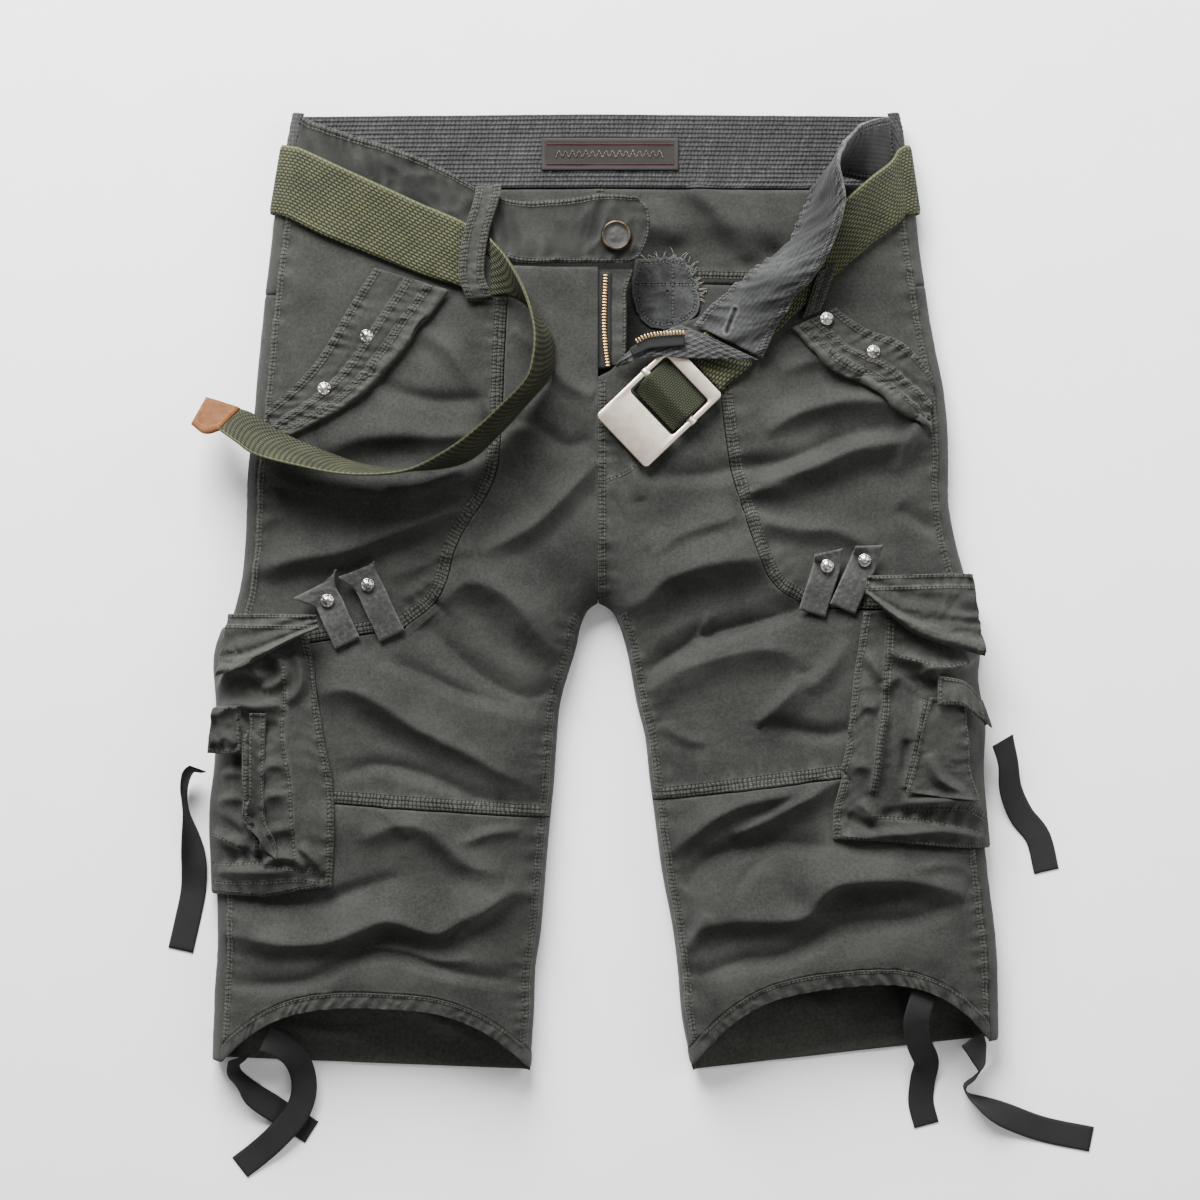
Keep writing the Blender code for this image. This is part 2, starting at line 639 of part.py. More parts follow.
def ruled(first, second, columns, rows):
    """Plan grid between two edges: columns along them, rows from the first to the second."""
    share = np.linspace(0, 1, rows + 1)[:, None, None]
    along = np.linspace(0, 1, columns + 1)
    return at_shares(first, along)[None] * (1 - share) + at_shares(second, along)[None] * share


# Folded-out facing: its crest, its free edge, and how high its rows stand over the belt
FACING_CREST = ((64, 183), (54, 184), (28, 172), (12, 158))
FACING_FREE = ((111, 160.5), (66, 162), (36, 163), (13, 155.5))
FACING_RISE = (8.0, 12.0, 12.8, 12.8)
FACING_FOOT_RISE = 4.0
FACING_COLUMNS = 8
ZIP_TAPE_L = (((60, 178), (34, 176), (22, 168)), ((60, 170), (36, 168), (24, 163)))
ZIP_TAPE_L_CLOTH = 1.6

FLY_SHIELD = (((-2, 226), (2, 158)), ((25, 226), (20, 210), (20, 196), (19.5, 158)))
FLY_SHIELD_DEPTH = 4.6
ZIP_TAPE_R = (((-7, 224), (-3, 156)), ((9, 224), (9, 156)))
ZIP_TAPE_R_DEPTH = 2.6
ZIP_TAPE_R_CLOTH = 1.4
FLY_STEPS = 6


def fly_facing_l(finish, brass):
    """The folded-out facing below the waistband's end, with the left zip tape on it."""
    crest = through(FACING_CREST, CURVE_STEPS)
    free = through(FACING_FREE, CURVE_STEPS)
    rise = np.array(FACING_RISE)[:, None] * np.ones(FACING_COLUMNS + 1)[None]
    rise[:, -1] = FACING_FOOT_RISE
    layer("fly_facing_l", ruled(crest, free, FACING_COLUMNS, len(FACING_RISE) - 1), finish, rise)
    tape_rise = FACING_RISE[-1] + CLOTH + LAY_GAP
    layer("zip_tape_l", ruled(*ZIP_TAPE_L, FLY_STEPS, 1), brass, tape_rise, ZIP_TAPE_L_CLOTH)


def fly_shield_r(finish, brass):
    """The shield behind the fly and the right zip tape along the fly's edge."""
    straight, curved = FLY_SHIELD
    shield = ruled(straight, through(curved, CURVE_STEPS), FLY_STEPS, 3)
    layer("fly_shield_r", shield, finish, -CLOTH - FLY_SHIELD_DEPTH)
    tape = ruled(*ZIP_TAPE_R, FLY_STEPS, 2)
    layer("zip_tape_r", tape, brass, -CLOTH - ZIP_TAPE_R_DEPTH, ZIP_TAPE_R_CLOTH)


# ---------------------------------------------------------------- pieces that lie on the panels

POCKET_BAND = {
    "r": (((-156, 226), (-173, 199), (-195, 162), (-212, 143), (-231, 127)),
          ((-103, 210), (-118, 190), (-143, 158), (-171, 130), (-222, 104))),
    "l": (((166, 198), (176, 190), (189, 182), (209, 175), (225, 162), (233, 148)),
          ((134, 184), (142, 176), (153, 163), (176, 148), (198, 134), (230, 112))),
}
# Across the band, from its outer edge to the pocket's mouth: share of the way and share of the roll
BAND_SHARES = np.array((0.0, 0.3, 0.6, 0.82, 0.92, 1.0))
BAND_ROLL_SHARES = np.array((0.0, 0.3, 0.5, 0.9, 1.0, 0.25))
BAND_ROLL = 3.4
BAND_STEPS = 10
BAND_TAPER = 0.08


def pocket_band(side, finish):
    """Wide band of the slant pocket, rolled up along the pocket's mouth."""
    first, second = (resample(through(edge, CURVE_STEPS), BAND_STEPS) for edge in POCKET_BAND[side])
    shares = BAND_SHARES[None, :, None]
    plan = first[:, None] * (1 - shares) + second[:, None] * shares
    taper = np.sin(math.pi * np.linspace(BAND_TAPER, 1 - BAND_TAPER, BAND_STEPS + 1))
    height = LAY_GAP + BAND_ROLL * BAND_ROLL_SHARES[None, :] * taper[:, None]
    layer("pocket_band_" + side, plan, finish, height)


# Cargo pocket: inner edge, top and bottom y at the outer silhouette, and its bellows' rise
CARGO = {
    "r": (((-202, -30), (-196, -60), (-191, -100), (-185, -130), (-183, -160), (-185, -205)), -26, -212),
    "l": (((185, -14), (178, -60), (174, -100), (168, -128), (164, -150), (163, -172)), -6, -180),
}
BELLOWS = 7.0
CARGO_ROWS = 10
# Shares of the way from the pocket's inner edge to the outer silhouette, then angles round the fold
CARGO_SHARES = np.array((0.0, 0.06, 0.15, 0.3, 0.46, 0.62, 0.78, 0.89, 0.955, 0.985))
CARGO_ANGLES = (90, 70, 50)
CARGO_FOLD_STAND = FOLD_RADIUS + LAY_GAP + 0.6


def bellows(u, v):
    """Rise of the cargo pocket over the leg: pleated sides, fuller face."""
    side_pleat = np.minimum(1, 4.5 * u) ** 0.6
    end_pleats = np.sin(math.pi * np.clip(v, 0.02, 0.98)) ** 0.35
    fade_to_fold = 1 - 0.8 * smoothstep((u - 0.6) / 0.4)
    return BELLOWS * side_pleat * end_pleats * fade_to_fold


def cargo_plan(side):
    """Plan grid of the part of a cargo pocket that lies on the front."""
    edge, top_y, bottom_y = CARGO[side]
    inner = resample(through(edge, CURVE_STEPS), CARGO_ROWS)
    outer = np.array([inward_of(side, y, 0.0) for y in np.linspace(top_y, bottom_y, CARGO_ROWS + 1)])
    shares = CARGO_SHARES[None, :, None]
    return inner[:, None] * (1 - shares) + outer[:, None] * shares


def cargo_wrap(side, stand):
    """The part of a cargo pocket that goes round the outer fold, that far from the fold's middle."""
    _, top_y, bottom_y = CARGO[side]
    rings = []
    for y in np.linspace(top_y, bottom_y, CARGO_ROWS + 1):
        out = inward_of(side, y, 0.0) - inward_of(side, y, 1.0)
        centre = np.array([*inward_of(side, y, FOLD_RADIUS), FOLD_RADIUS])
        angles = np.radians(CARGO_ANGLES)[:, None]
        rays = np.concatenate([np.sin(angles) * out, -np.cos(angles)], axis=1)
        rings.append(centre + rays * stand)
    return np.array(rings)


def cargo_pocket(side, finish):
    """The bellows pocket on the side of the thigh, round the outer fold to its underside."""
    plan = cargo_plan(side)
    u, v = np.meshgrid(CARGO_SHARES, np.linspace(0, 1, CARGO_ROWS + 1))
    height = LAY_GAP + bellows(u, v)
    outside, _ = on_top(plan, height + CLOTH)
    inside, _ = on_top(plan, height)
    outside = np.concatenate([outside, cargo_wrap(side, CARGO_FOLD_STAND + CLOTH)], axis=1)
    inside = np.concatenate([inside, cargo_wrap(side, CARGO_FOLD_STAND)], axis=1)
    wall("cargo_pocket_" + side, outside, inside, finish)


def over_cargo(name, edges, finish, stand, roll, columns, rows):
    """A piece on the cargo pocket between two plan edges, moved out past the bellows."""
    share = np.linspace(0, 1, rows + 1)
    rise = roll * np.sin(math.pi * share / 2)[:, None] * np.ones(columns + 1)[None]
    layer(name, ruled(*edges, columns, rows), finish, stand + rise)


CARGO_FLAP = {
    "r": (((-199, -16), (-225, -14), (-246, -14)), ((-194, -24), (-218, -42), (-240, -54), (-256, -60))),
    "l": (((184, 8), (215, 8), (244, 8)), ((190, -4), (212, -20), (238, -34), (254, -40))),
}
CARGO_TAB = {
    "r": (((-232, -76), (-262, -74)), ((-234, -104), (-261, -106))),
    "l": (((234, -58), (262, -62)), ((240, -78), (264, -92))),
}
CARGO_WELT = {
    "r": (((-226, -72), (-247, -108)), ((-219, -196), (-234, -176))),
    "l": (((217, -74), (228, -70)), ((208, -146), (262, -148))),
}


def cargo_trim(side, finish):
    """Flap, closing tab and welt of a cargo pocket, one over the other."""
    face = LAY_GAP + BELLOWS + CLOTH
    for key, edges, stand, roll, columns, rows in (
            ("cargo_flap_", CARGO_FLAP, LAY_GAP, 3.5, 7, 4),
            ("cargo_tab_", CARGO_TAB, LAY_GAP + 2 * CLOTH, 2.0, 3, 3),
            ("cargo_welt_", CARGO_WELT, LAY_GAP / 2, 0.8, 3, 6)):
        over_cargo(key + side, edges[side], finish, face + stand, roll, columns, rows)


# Felt tabs over the front seam: foot x, y, rivet x, y, free end x, y, and how far each end curls
KNEE_TABS = {
    "knee_tab_r1": (-174, -36, -188, -6, -197, 3, 8), "knee_tab_r2": (-143, -31, -160, 5, -168, 15, 7),
    "knee_tab_l1": (149, -15, 159, 18, 160, 28, 7), "knee_tab_l2": (170, -12, 185, 22, 188, 32, 7),
}
TAB_WIDTH = 19.0
TAB_CLOTH = 2.0
TAB_STAND = 4.2
TAB_SHARES = (0, 0.33, 0.66, 1)
RIVET_SHARE = TAB_SHARES[2]
RIVET_RADIUS = 4.6
RIVET_SEAT = 1.5
RIVET_PROFILE = ((0, -0.2), (RIVET_RADIUS, -0.2), (RIVET_RADIUS, 0.8), (RIVET_RADIUS * 0.72, 1.9), (0, 2.3))
RIVET_SIDES = 10


def knee_tabs(finish, metal):
    """Felt tabs that stand over the front seam, each with a rivet and a curled free end."""
    for name, (fx, fy, rx, ry, ex, ey, curl) in KNEE_TABS.items():
        middle = ((fx + rx) / 2, (fy + ry) / 2)
        path = through(((fx, fy), middle, (rx, ry), (ex, ey)), 3)
        share = np.linspace(0, 1, len(path))
        height = np.interp(share, TAB_SHARES, (TAB_STAND / 2, TAB_STAND + 0.6, TAB_STAND, curl))
        run = np.gradient(path, axis=0)
        run /= np.linalg.norm(run, axis=1)[:, None]
        across = np.stack([-run[:, 1], run[:, 0]], axis=1) * TAB_WIDTH / 2
        upper, _ = on_top(path + across)
        lower, _ = on_top(path - across)
        level = np.maximum(upper[:, 2], lower[:, 2]) + height + TAB_CLOTH / 2
        upper[:, 2] = lower[:, 2] = level
        strip(name, upper, lower, TAB_CLOTH, finish)
        seat_z = np.interp(RIVET_SHARE, share, level) + TAB_CLOTH / 2 + RIVET_SEAT
        rivet_name = name.replace("knee_tab", "tab_rivet")
        turned(rivet_name, (rx, ry, seat_z), (0, 0, 1), RIVET_PROFILE, RIVET_SIDES, metal)


POCKET_RIVETS = {"r1": (-161, 178), "r2": (-190, 141), "l1": (159, 190), "l2": (191, 167)}


POCKET_RIVET_SEAT = LAY_GAP + CLOTH + BAND_ROLL * 0.6 + 1.4
BUTTON_PLACE = (12.6, 248.5)
BUTTON_SEAT = 1.9
BUTTON_PROFILE = ((0, 0), (10.0, 0.0), (10.5, 1.2), (9.2, 2.6), (6.5, 2.2), (0, 2.6))
BUTTON_SIDES = 20


def pocket_rivets(metal):
    """Two rivets on the band of each slant pocket."""
    for key, place in POCKET_RIVETS.items():
        points, normal = on_top(np.array([place], float), np.array([POCKET_RIVET_SEAT]))
        turned("pocket_rivet_" + key, points[0], normal[0], RIVET_PROFILE, RIVET_SIDES, metal)


def button(finish):
    """The button on the waistband's end: a dished plate with a raised rim."""
    centre, normal = on_top(np.array([BUTTON_PLACE]), np.array([BUTTON_SEAT]))
    turned("button", centre[0], normal[0], BUTTON_PROFILE, BUTTON_SIDES, finish)


LABEL_RING = ((-40, 298), (57, 298), (57, 321), (-40, 321))
LABEL_GAP = 0.4
PATCH_RING = ((28, 236), (50, 232), (66, 214), (71, 193), (52, 186), (36, 188), (26, 203), (24, 222))
PATCH_GAP = 0.5


def inside_back(label_finish, patch_finish):
    """Bare label on the waistband's inner face and the frayed patch below it."""
    plate("label", LABEL_RING, WAIST_LIFT + BAND_CLOTH + LABEL_GAP, THIN_CLOTH, label_finish)
    plate("inner_patch", PATCH_RING, CLOTH + PATCH_GAP, THIN_CLOTH, patch_finish)


def plate(name, ring, z, height, finish):
    """A flat piece with a plan outline, convex enough to fan from its middle."""
    count = len(ring)
    middle = np.mean(np.array(ring, float), axis=0)
    points = [(*p, level) for level in (z, z + height) for p in ring]
    points += [(*middle, z), (*middle, z + height)]
    faces = []
    for k in range(count):
        n = (k + 1) % count
        faces.extend([(k, n, n + count), (k, n + count, k + count), (n, k, 2 * count),
                      (k + count, n + count, 2 * count + 1)])
    points = [np.array(p, float) for p in points]
    if volume(points, faces) < 0:
        faces = [face[::-1] for face in faces]
    solid(name, points, faces, finish)


# ---------------------------------------------------------------- belt

# Front of the belt on the wearer's right: x, y of its upper edge, then of its lower edge
BELT_FRONT_R = ((-208, 311, -216, 262), (-180, 297, -190, 248), (-152, 284, -158, 235),
                (-124, 271, -128, 223), (-98, 260, -100, 214), (-80, 250, -79, 206))
# Front on the wearer's left: upper edge x, y, height over the front's form, lower edge likewise
BELT_FRONT_L = ((209, 310, 1, 214, 264, 0), (203, 300, 7, 208, 256, 1), (187, 286, 19, 190, 242, 1.5),
                (168, 268, 21, 172, 226, 1.5), (152, 251, 13, 156, 211, 1.5), (136, 234, 2.5, 142, 198, 1.5),
                (110, 212, 1.2, 124, 180, 1.2), (92, 200, 1.2, 110, 163, 1.2), (80, 186, 1.6, 104, 154, 1.6),
                (66, 174, 2.0, 92, 146, 2.0), (59, 167, 2.2, 86, 139, 2.2))
# The free end standing on edge: top edge x, y, z and bottom edge x, y, z
BELT_TAIL = (
    (-75, 246, 48, -74, 205, 46), (-62, 230, 58, -60, 205, 45), (-50, 205, 75, -46, 196, 45),
    (-44, 180, 85, -32, 178, 42), (-45, 160, 88, -30, 160, 42), (-50, 145, 88, -34, 148, 42),
    (-66, 128, 87, -48, 132, 43), (-88, 108, 88, -68, 110, 44), (-108, 94, 90, -92, 90, 45),
    (-133, 82, 93, -128, 85, 46), (-170, 80, 91, -160, 88, 47), (-205, 86, 84, -190, 98, 49),
    (-235, 94, 76, -222, 112, 44), (-249, 103, 68, -240, 124, 38), (-262, 112, 58, -250, 128, 30),
)
BELT_TIP = ((-262.4, 112.4, 57.4, -250.4, 128.4, 29.4), (-273, 110, 50, -266, 134, 22),
            (-283.18, 117, 42, -276, 137, 16))
BELT_R_STAND = 3.8
BELT_L_STAND = 2.6
WRAP_STAND = 3.0
WRAP_ANGLES = (0, 30, 60, 90)
WRAP_REACHES = (1.2, 4.0)
BELT_UPPER_Y = 314.0
BELT_LOWER_Y = 266.0
BELT_BACK_HALF = 190.0
BELT_BACK_STEPS = 5
BELT_R_STEPS = 10
BELT_L_STEPS = 20
TAIL_STEPS = 36
TIP_STEPS = 4
TIP_CLOTH = BELT_CLOTH + 1.4


def belt_wrap(side):
    """Edge pairs of the belt from the back stretch up round the side fold."""
    pairs = []
    stand = WAIST_LIFT - BELT_CENTRE_Z
    for angle in WRAP_ANGLES:
        a = math.radians(angle)
        pair = []
        for y in (BELT_UPPER_Y, BELT_LOWER_Y):
            radius = FOLD_RADIUS + stand + math.sin(a)
            reach = FOLD_RADIUS - radius * math.sin(a)
            z = WAIST_LIFT + FOLD_RADIUS - radius * math.cos(a)
            pair.append(np.array([*inward_of(side, y, reach), z]))
        pairs.append(pair)
    for reach in WRAP_REACHES:
        plan = np.array([inward_of(side, y, reach) for y in (BELT_UPPER_Y, BELT_LOWER_Y)])
        pairs.append(list(on_top(plan, np.array([WRAP_STAND, WRAP_STAND]))[0]))
    return pairs


def belt_back():
    """Edge pairs of the belt's back stretch with its wraps round both side folds."""
    pairs = belt_wrap("r")[::-1]
    for x in np.linspace(-BELT_BACK_HALF, BELT_BACK_HALF, BELT_BACK_STEPS):
        pairs.append([np.array([x, y, BELT_CENTRE_Z]) for y in (BELT_UPPER_Y, BELT_LOWER_Y)])
    return pairs + belt_wrap("l")


def belt_front_r():
    """Edge pairs of the front stretch on the wearer's right, from the side fold."""
    pairs = []
    for ux, uy, lx, ly in resample(through(BELT_FRONT_R, CURVE_STEPS), BELT_R_STEPS):
        pairs.append(on_top(np.array([(ux, uy), (lx, ly)]), np.array([BELT_R_STAND] * 2))[0])
    return pairs


def belt_front_l():
    """Edge pairs of the front stretch on the wearer's left, down to the buckle."""
    pairs = []
    for ux, uy, uh, lx, ly, lh in resample(through(BELT_FRONT_L, CURVE_STEPS), BELT_L_STEPS):
        pair, _ = on_top(np.array([(ux, uy), (lx, ly)]), np.array([BELT_L_STAND] * 2))
        pair[:, 2] += (uh, lh)
        pairs.append(pair)
    return pairs


def belt(finish, tip_finish):
    """The webbing round the waist, its free end on edge and the leather tip."""
    edges = np.array(belt_front_r()[::-1] + belt_back() + belt_front_l())
    strip("belt_web", edges[:, 0], edges[:, 1], BELT_CLOTH, finish)
    loose = resample(through(BELT_TAIL, CURVE_STEPS), TAIL_STEPS)
    strip("belt_tail", loose[:, :3], loose[:, 3:], BELT_CLOTH, finish)
    tip = resample(through(BELT_TIP, CURVE_STEPS), TIP_STEPS)
    strip("belt_tip", tip[:, :3], tip[:, 3:], TIP_CLOTH, tip_finish)


BUCKLE_CENTRE = (42.5, 129.5, 46.8)
BUCKLE_TURN = math.radians(43.6)
WINDOW_START = 29.0
WINDOW_END = 64.0
PLATE_CORNER = 3.5
WINDOW_CORNER = 2.5
RAIL = 4.0
BAR_RADIUS = 2.4
BAR_SIDES = 10
BAR_ALONG = 46.0
BAR_Z = BUCKLE_PLATE / 2 - 1.0


def buckle_frame_axes():
    """The middle of the buckle's hook edge, and the plan directions along and across the plate."""
    along = np.array([math.cos(BUCKLE_TURN), math.sin(BUCKLE_TURN), 0.0])
    across = np.array([-math.sin(BUCKLE_TURN), math.cos(BUCKLE_TURN), 0.0])
    corner = np.array(BUCKLE_CENTRE) - along * BUCKLE_LENGTH / 2
    return corner, along, across


def buckle(metal):
    """A plate with a window, and the bar that crosses the window."""
    corner, along, across = buckle_frame_axes()
    half = BUCKLE_WIDTH / 2
    outer = rounded_rectangle(0, -half, BUCKLE_LENGTH, half, PLATE_CORNER)
    inner = rounded_rectangle(WINDOW_START, -half + RAIL, WINDOW_END, half - RAIL, WINDOW_CORNER)
    points = []
    for z in (0.0, BUCKLE_PLATE):
        for ring in (outer, inner):
            points += [corner + along * a + across * b + np.array([0, 0, z]) for a, b in ring]
    n = len(outer)
    faces = []
    for k in range(n):
        m = (k + 1) % n
        faces += [(k, n + k, n + m), (k, n + m, m)]
        faces += [(2 * n + k, 2 * n + m, 3 * n + m), (2 * n + k, 3 * n + m, 3 * n + k)]
        faces += [(k, m, 2 * n + m), (k, 2 * n + m, 2 * n + k)]
        faces += [(n + k, 3 * n + m, n + m), (n + k, 3 * n + k, 3 * n + m)]
    if volume(points, faces) < 0:
        faces = [face[::-1] for face in faces]
    solid("buckle_frame", points, faces, metal)
    bar_centre = corner + along * BAR_ALONG + np.array([0, 0, BAR_Z])
    reach = half - RAIL - SEAM_GAP
    profile = ((0, -reach), (BAR_RADIUS, -reach), (BAR_RADIUS, reach), (0, reach))
    turned("buckle_bar", bar_centre, across, profile, BAR_SIDES, metal)


def rounded_rectangle(x0, y0, x1, y1, radius, steps=3):
    """Plan points round a rectangle with round corners."""
    ring = []
    for cx, cy, start in ((x1 - radius, y1 - radius, 0), (x0 + radius, y1 - radius, 90),
                          (x0 + radius, y0 + radius, 180), (x1 - radius, y0 + radius, 270)):
        for k in range(steps + 1):
            a = math.radians(start + 90 * k / steps)
            ring.append((cx + radius * math.cos(a), cy + radius * math.sin(a)))
    return ring


# The belt's fixed end, along the plate and down from it: to the bar, round it, and back under it
BIGHT_BEFORE = ((74.2, -2.0), (69.0, -1.9), (63.0, -1.7), (57.0, 0.2))
BIGHT_ANGLES = (55, 90, 125, 160, 200)
BIGHT_AFTER = ((42.5, -4.0), (47.0, -4.8))
BIGHT_SIDE_GAP = 1.2
BIGHT_STAND = 0.6


def buckle_webbing(finish):
    """The belt's fixed end: under the frame's rail, over the bar and back down."""
    corner, along, across = buckle_frame_axes()
    half = BUCKLE_WIDTH / 2 - RAIL - BIGHT_SIDE_GAP
    reach = BAR_RADIUS + BELT_CLOTH / 2 + BIGHT_STAND
    path = list(BIGHT_BEFORE)
    for angle in BIGHT_ANGLES:
        a = math.radians(angle)
        path.append((BAR_ALONG + reach * math.cos(a), BAR_Z + reach * math.sin(a)))
    path += BIGHT_AFTER
    fine = through(path, 2)
    base = [corner + along * a + np.array([0, 0, z]) for a, z in fine]
    upper = [p + across * half for p in base]
    lower = [p - across * half for p in base]
    strip("belt_bight", upper, lower, BELT_CLOTH, finish, cols=1)


# Belt loops at the back lie under the belt; the two front ones lie over it
BACK_LOOPS = {"belt_loop_b1": -122.0, "belt_loop_b2": 122.0}
BACK_LOOP_PATH = ((334, 3.0), (322, 1.0), (316, 0.8), (264, 0.8), (258, 1.0), (251, 1.4))
# Front loops: x, y and stand over the form along the loop, then the direction across it
FRONT_LOOPS = {
    "belt_loop_r": (((-76, 284, 3), (-78, 272, 8.5), (-85, 248, 9.2), (-88, 222, 9), (-84, 208, 7.5),
                     (-82, 202, 3.2)), (1.0, 0.08)),
    "belt_loop_l": (((160, 226, 12.0), (156, 216, 9.0), (152, 203, 7.4), (149, 193, 3.6)), (0.92, 0.38)),
}
LOOP_WIDTH = 13.0


def belt_loops(finish):
    """Two loops under the belt at the back and two over it in front."""
    for name, x in BACK_LOOPS.items():
        upper = [(x - LOOP_WIDTH / 2, y, z) for y, z in BACK_LOOP_PATH]
        lower = [(x + LOOP_WIDTH / 2, y, z) for y, z in BACK_LOOP_PATH]
        strip(name, upper, lower, CLOTH, finish, cols=1)
    for name, (path, across) in FRONT_LOOPS.items():
        loop_strip(name, through(path, CURVE_STEPS - 1), across, finish)


def loop_strip(name, path, across, finish):
    """A belt loop over the front's form; it stands level from side to side."""
    across = np.array(across) / np.linalg.norm(across) * LOOP_WIDTH / 2
    upper, _ = on_top(path[:, :2] + across)
    lower, _ = on_top(path[:, :2] - across)
    level = np.maximum(upper[:, 2], lower[:, 2])
    upper[:, 2] = level + path[:, 2]
    lower[:, 2] = level + path[:, 2]
    strip(name, upper, lower, CLOTH, finish, cols=1)


# ---------------------------------------------------------------- free tapes

# Each tape: x, y, z of its middle line and the lean of its width from flat, in degrees
TAPES = {
    "hem_tape_r1": ((-233, -312, 36, 10), (-225, -316, 32, 15), (-215, -324, 23, 15), (-209, -338, 11, 8),
                    (-208, -354, 8, 0), (-214, -370, 7.5, 0), (-227, -385, 6, 0), (-240, -397, 2.6, 0),
                    (-254, -408, 0.8, 0)),
    "hem_tape_r2": ((-252, -327, 22, 50), (-256, -338, 13, 70), (-250, -348, 9, 60), (-242, -357, 6, 30),
                    (-228, -367, 2.6, 8), (-214, -376, 0.8, 0), (-203, -383, 0.8, 0)),
    "hem_tape_l1": ((224, -290, 41, 6), (222, -302, 36, 5), (226, -318, 22, 5), (232, -332, 9, 5),
                    (230, -346, 3, 2), (229, -362, 0.9, 0), (233, -378, 0.8, 0)),
    "hem_tape_l2": ((262, -313, 26, 10), (268, -324, 19, 35), (271, -335, 12, 70), (266, -343, 9.6, 86),
                    (259, -349, 9.5, 88), (262, -356, 9.5, 84), (275, -364, 7.4, 50), (292, -372, 4.4, 14),
                    (316, -381, 0.9, 0), (350, -388, 0.8, 0)),
    "cargo_tape_r": ((-281, -124, 22, 60), (-288, -128, 18, 75), (-292, -140, 11, 82), (-291, -156, 9.6, 82),
                     (-288, -174, 8.2, 50), (-286, -192, 5.0, 14), (-287, -212, 0.9, 0),
                     (-291, -232, 0.8, 0), (-296, -254, 0.8, 0)),
    "cargo_tape_l1": ((284, -104, 24, 20), (289, -120, 14, 30), (292, -140, 6, 20), (300, -158, 1.5, 4),
                      (312, -174, 0.9, 0), (318, -198, 0.8, 0)),
}
TAPE_HALF = TAPE_WIDTH / 2
TAPE_STEPS = 22
TAPE_REST = 0.2


def tapes(finish):
    """The free ends of the drawstrings, from their exits down onto the surface."""
    for name, table in TAPES.items():
        fine = resample(through(table, CURVE_STEPS), TAPE_STEPS)
        run = np.gradient(fine[:, :3], axis=0)
        run /= np.linalg.norm(run, axis=1)[:, None]
        level = np.cross(run, [0.0, 0.0, 1.0])
        level /= np.linalg.norm(level, axis=1)[:, None]
        stand = np.cross(level, run)
        lean = np.radians(fine[:, 3])[:, None]
        across = (level * np.cos(lean) + stand * np.sin(lean)) * TAPE_HALF
        upper, lower = fine[:, :3] + across, fine[:, :3] - across
        for edge in (upper, lower):
            edge[:, 2] = np.maximum(edge[:, 2], TAPE_CLOTH / 2 + TAPE_REST)
        strip(name, upper, lower, TAPE_CLOTH, finish, cols=1)


# ---------------------------------------------------------------- the whole garment

def build():
    for old in list(bpy.data.objects):
        bpy.data.objects.remove(old)
    cloth = material("washed_cotton", (0.085, 0.088, 0.082), 0.9)
    webbing = material("olive_webbing", (0.13, 0.14, 0.055), 0.85)
    felt = material("tab_felt", (0.10, 0.105, 0.105), 0.95)
    tape = material("drawstring_tape", (0.035, 0.037, 0.038), 0.9)
    leather = material("tip_leather", (0.47, 0.20, 0.07), 0.6)
    nickel = material("brushed_nickel", (0.62, 0.58, 0.50), 0.35, 1.0)
    silver = material("rivet_silver", (0.6, 0.6, 0.58), 0.3, 1.0)
    dark_metal = material("button_metal", (0.09, 0.08, 0.07), 0.45, 0.8)
    label = material("label_cloth", (0.10, 0.085, 0.08), 0.9)
    brass = material("zip_brass", (0.45, 0.33, 0.17), 0.4, 0.9)
    for side in SIDES:
        front_hip(side, cloth)
        front_thigh(side, cloth)
        front_shin(side, cloth)
        hem_casing(side, cloth)
        back_panels(side, cloth)
        pocket_band(side, cloth)
        cargo_pocket(side, cloth)
        cargo_trim(side, cloth)
    waistband_back(cloth)
    waistband_front_r(cloth)
    folded_waistband_l(cloth)
    fly_facing_l(cloth, brass)
    fly_shield_r(cloth, brass)
    knee_tabs(felt, silver)
    pocket_rivets(silver)
    button(dark_metal)
    inside_back(label, cloth)
    belt(webbing, leather)
    buckle(nickel)
    buckle_webbing(webbing)
    belt_loops(cloth)
    tapes(tape)


build()
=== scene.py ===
"""The looks of the cropped cargo trousers: fine cloth, sewing, metal, belt and tapes.

Sizes are millimetres in the garment's own frame (see MM), with the length along Y, the waist at
+Y and the surface that it lies on at z = 0. The wearer's right leg is at -X and has the suffix
_r, the left one is at +X with _l. Every piece follows the same form as the solid that it stands
for: the back lies flat and turns up round a fold, and the front rises from there to a crown.
"""
import functools
import math

import bpy
import numpy as np
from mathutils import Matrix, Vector


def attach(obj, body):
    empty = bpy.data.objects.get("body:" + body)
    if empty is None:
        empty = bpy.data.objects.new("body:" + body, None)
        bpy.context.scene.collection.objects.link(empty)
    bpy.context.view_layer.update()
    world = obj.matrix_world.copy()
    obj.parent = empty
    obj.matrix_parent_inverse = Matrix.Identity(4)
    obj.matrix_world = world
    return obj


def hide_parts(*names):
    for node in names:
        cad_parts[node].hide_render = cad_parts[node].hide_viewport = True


MM = 0.001
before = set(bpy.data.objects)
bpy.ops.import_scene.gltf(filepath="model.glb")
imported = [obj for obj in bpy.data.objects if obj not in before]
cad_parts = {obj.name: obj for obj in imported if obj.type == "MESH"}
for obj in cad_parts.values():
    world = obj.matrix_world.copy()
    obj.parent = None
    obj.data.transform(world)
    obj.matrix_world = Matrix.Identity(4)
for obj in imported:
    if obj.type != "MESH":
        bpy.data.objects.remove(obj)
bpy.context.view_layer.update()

# How many rows and columns of points stand for one row or column of the panels' layout
ROWS_UP, COLUMNS_UP = ((10, 7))

# Rows of stitches on a seam, and how wide two, three and four of them are together
ROW_PITCH = 3.0
TWO_ROWS = ROW_PITCH
THREE_ROWS = 2 * ROW_PITCH
FOUR_ROWS = 3 * ROW_PITCH

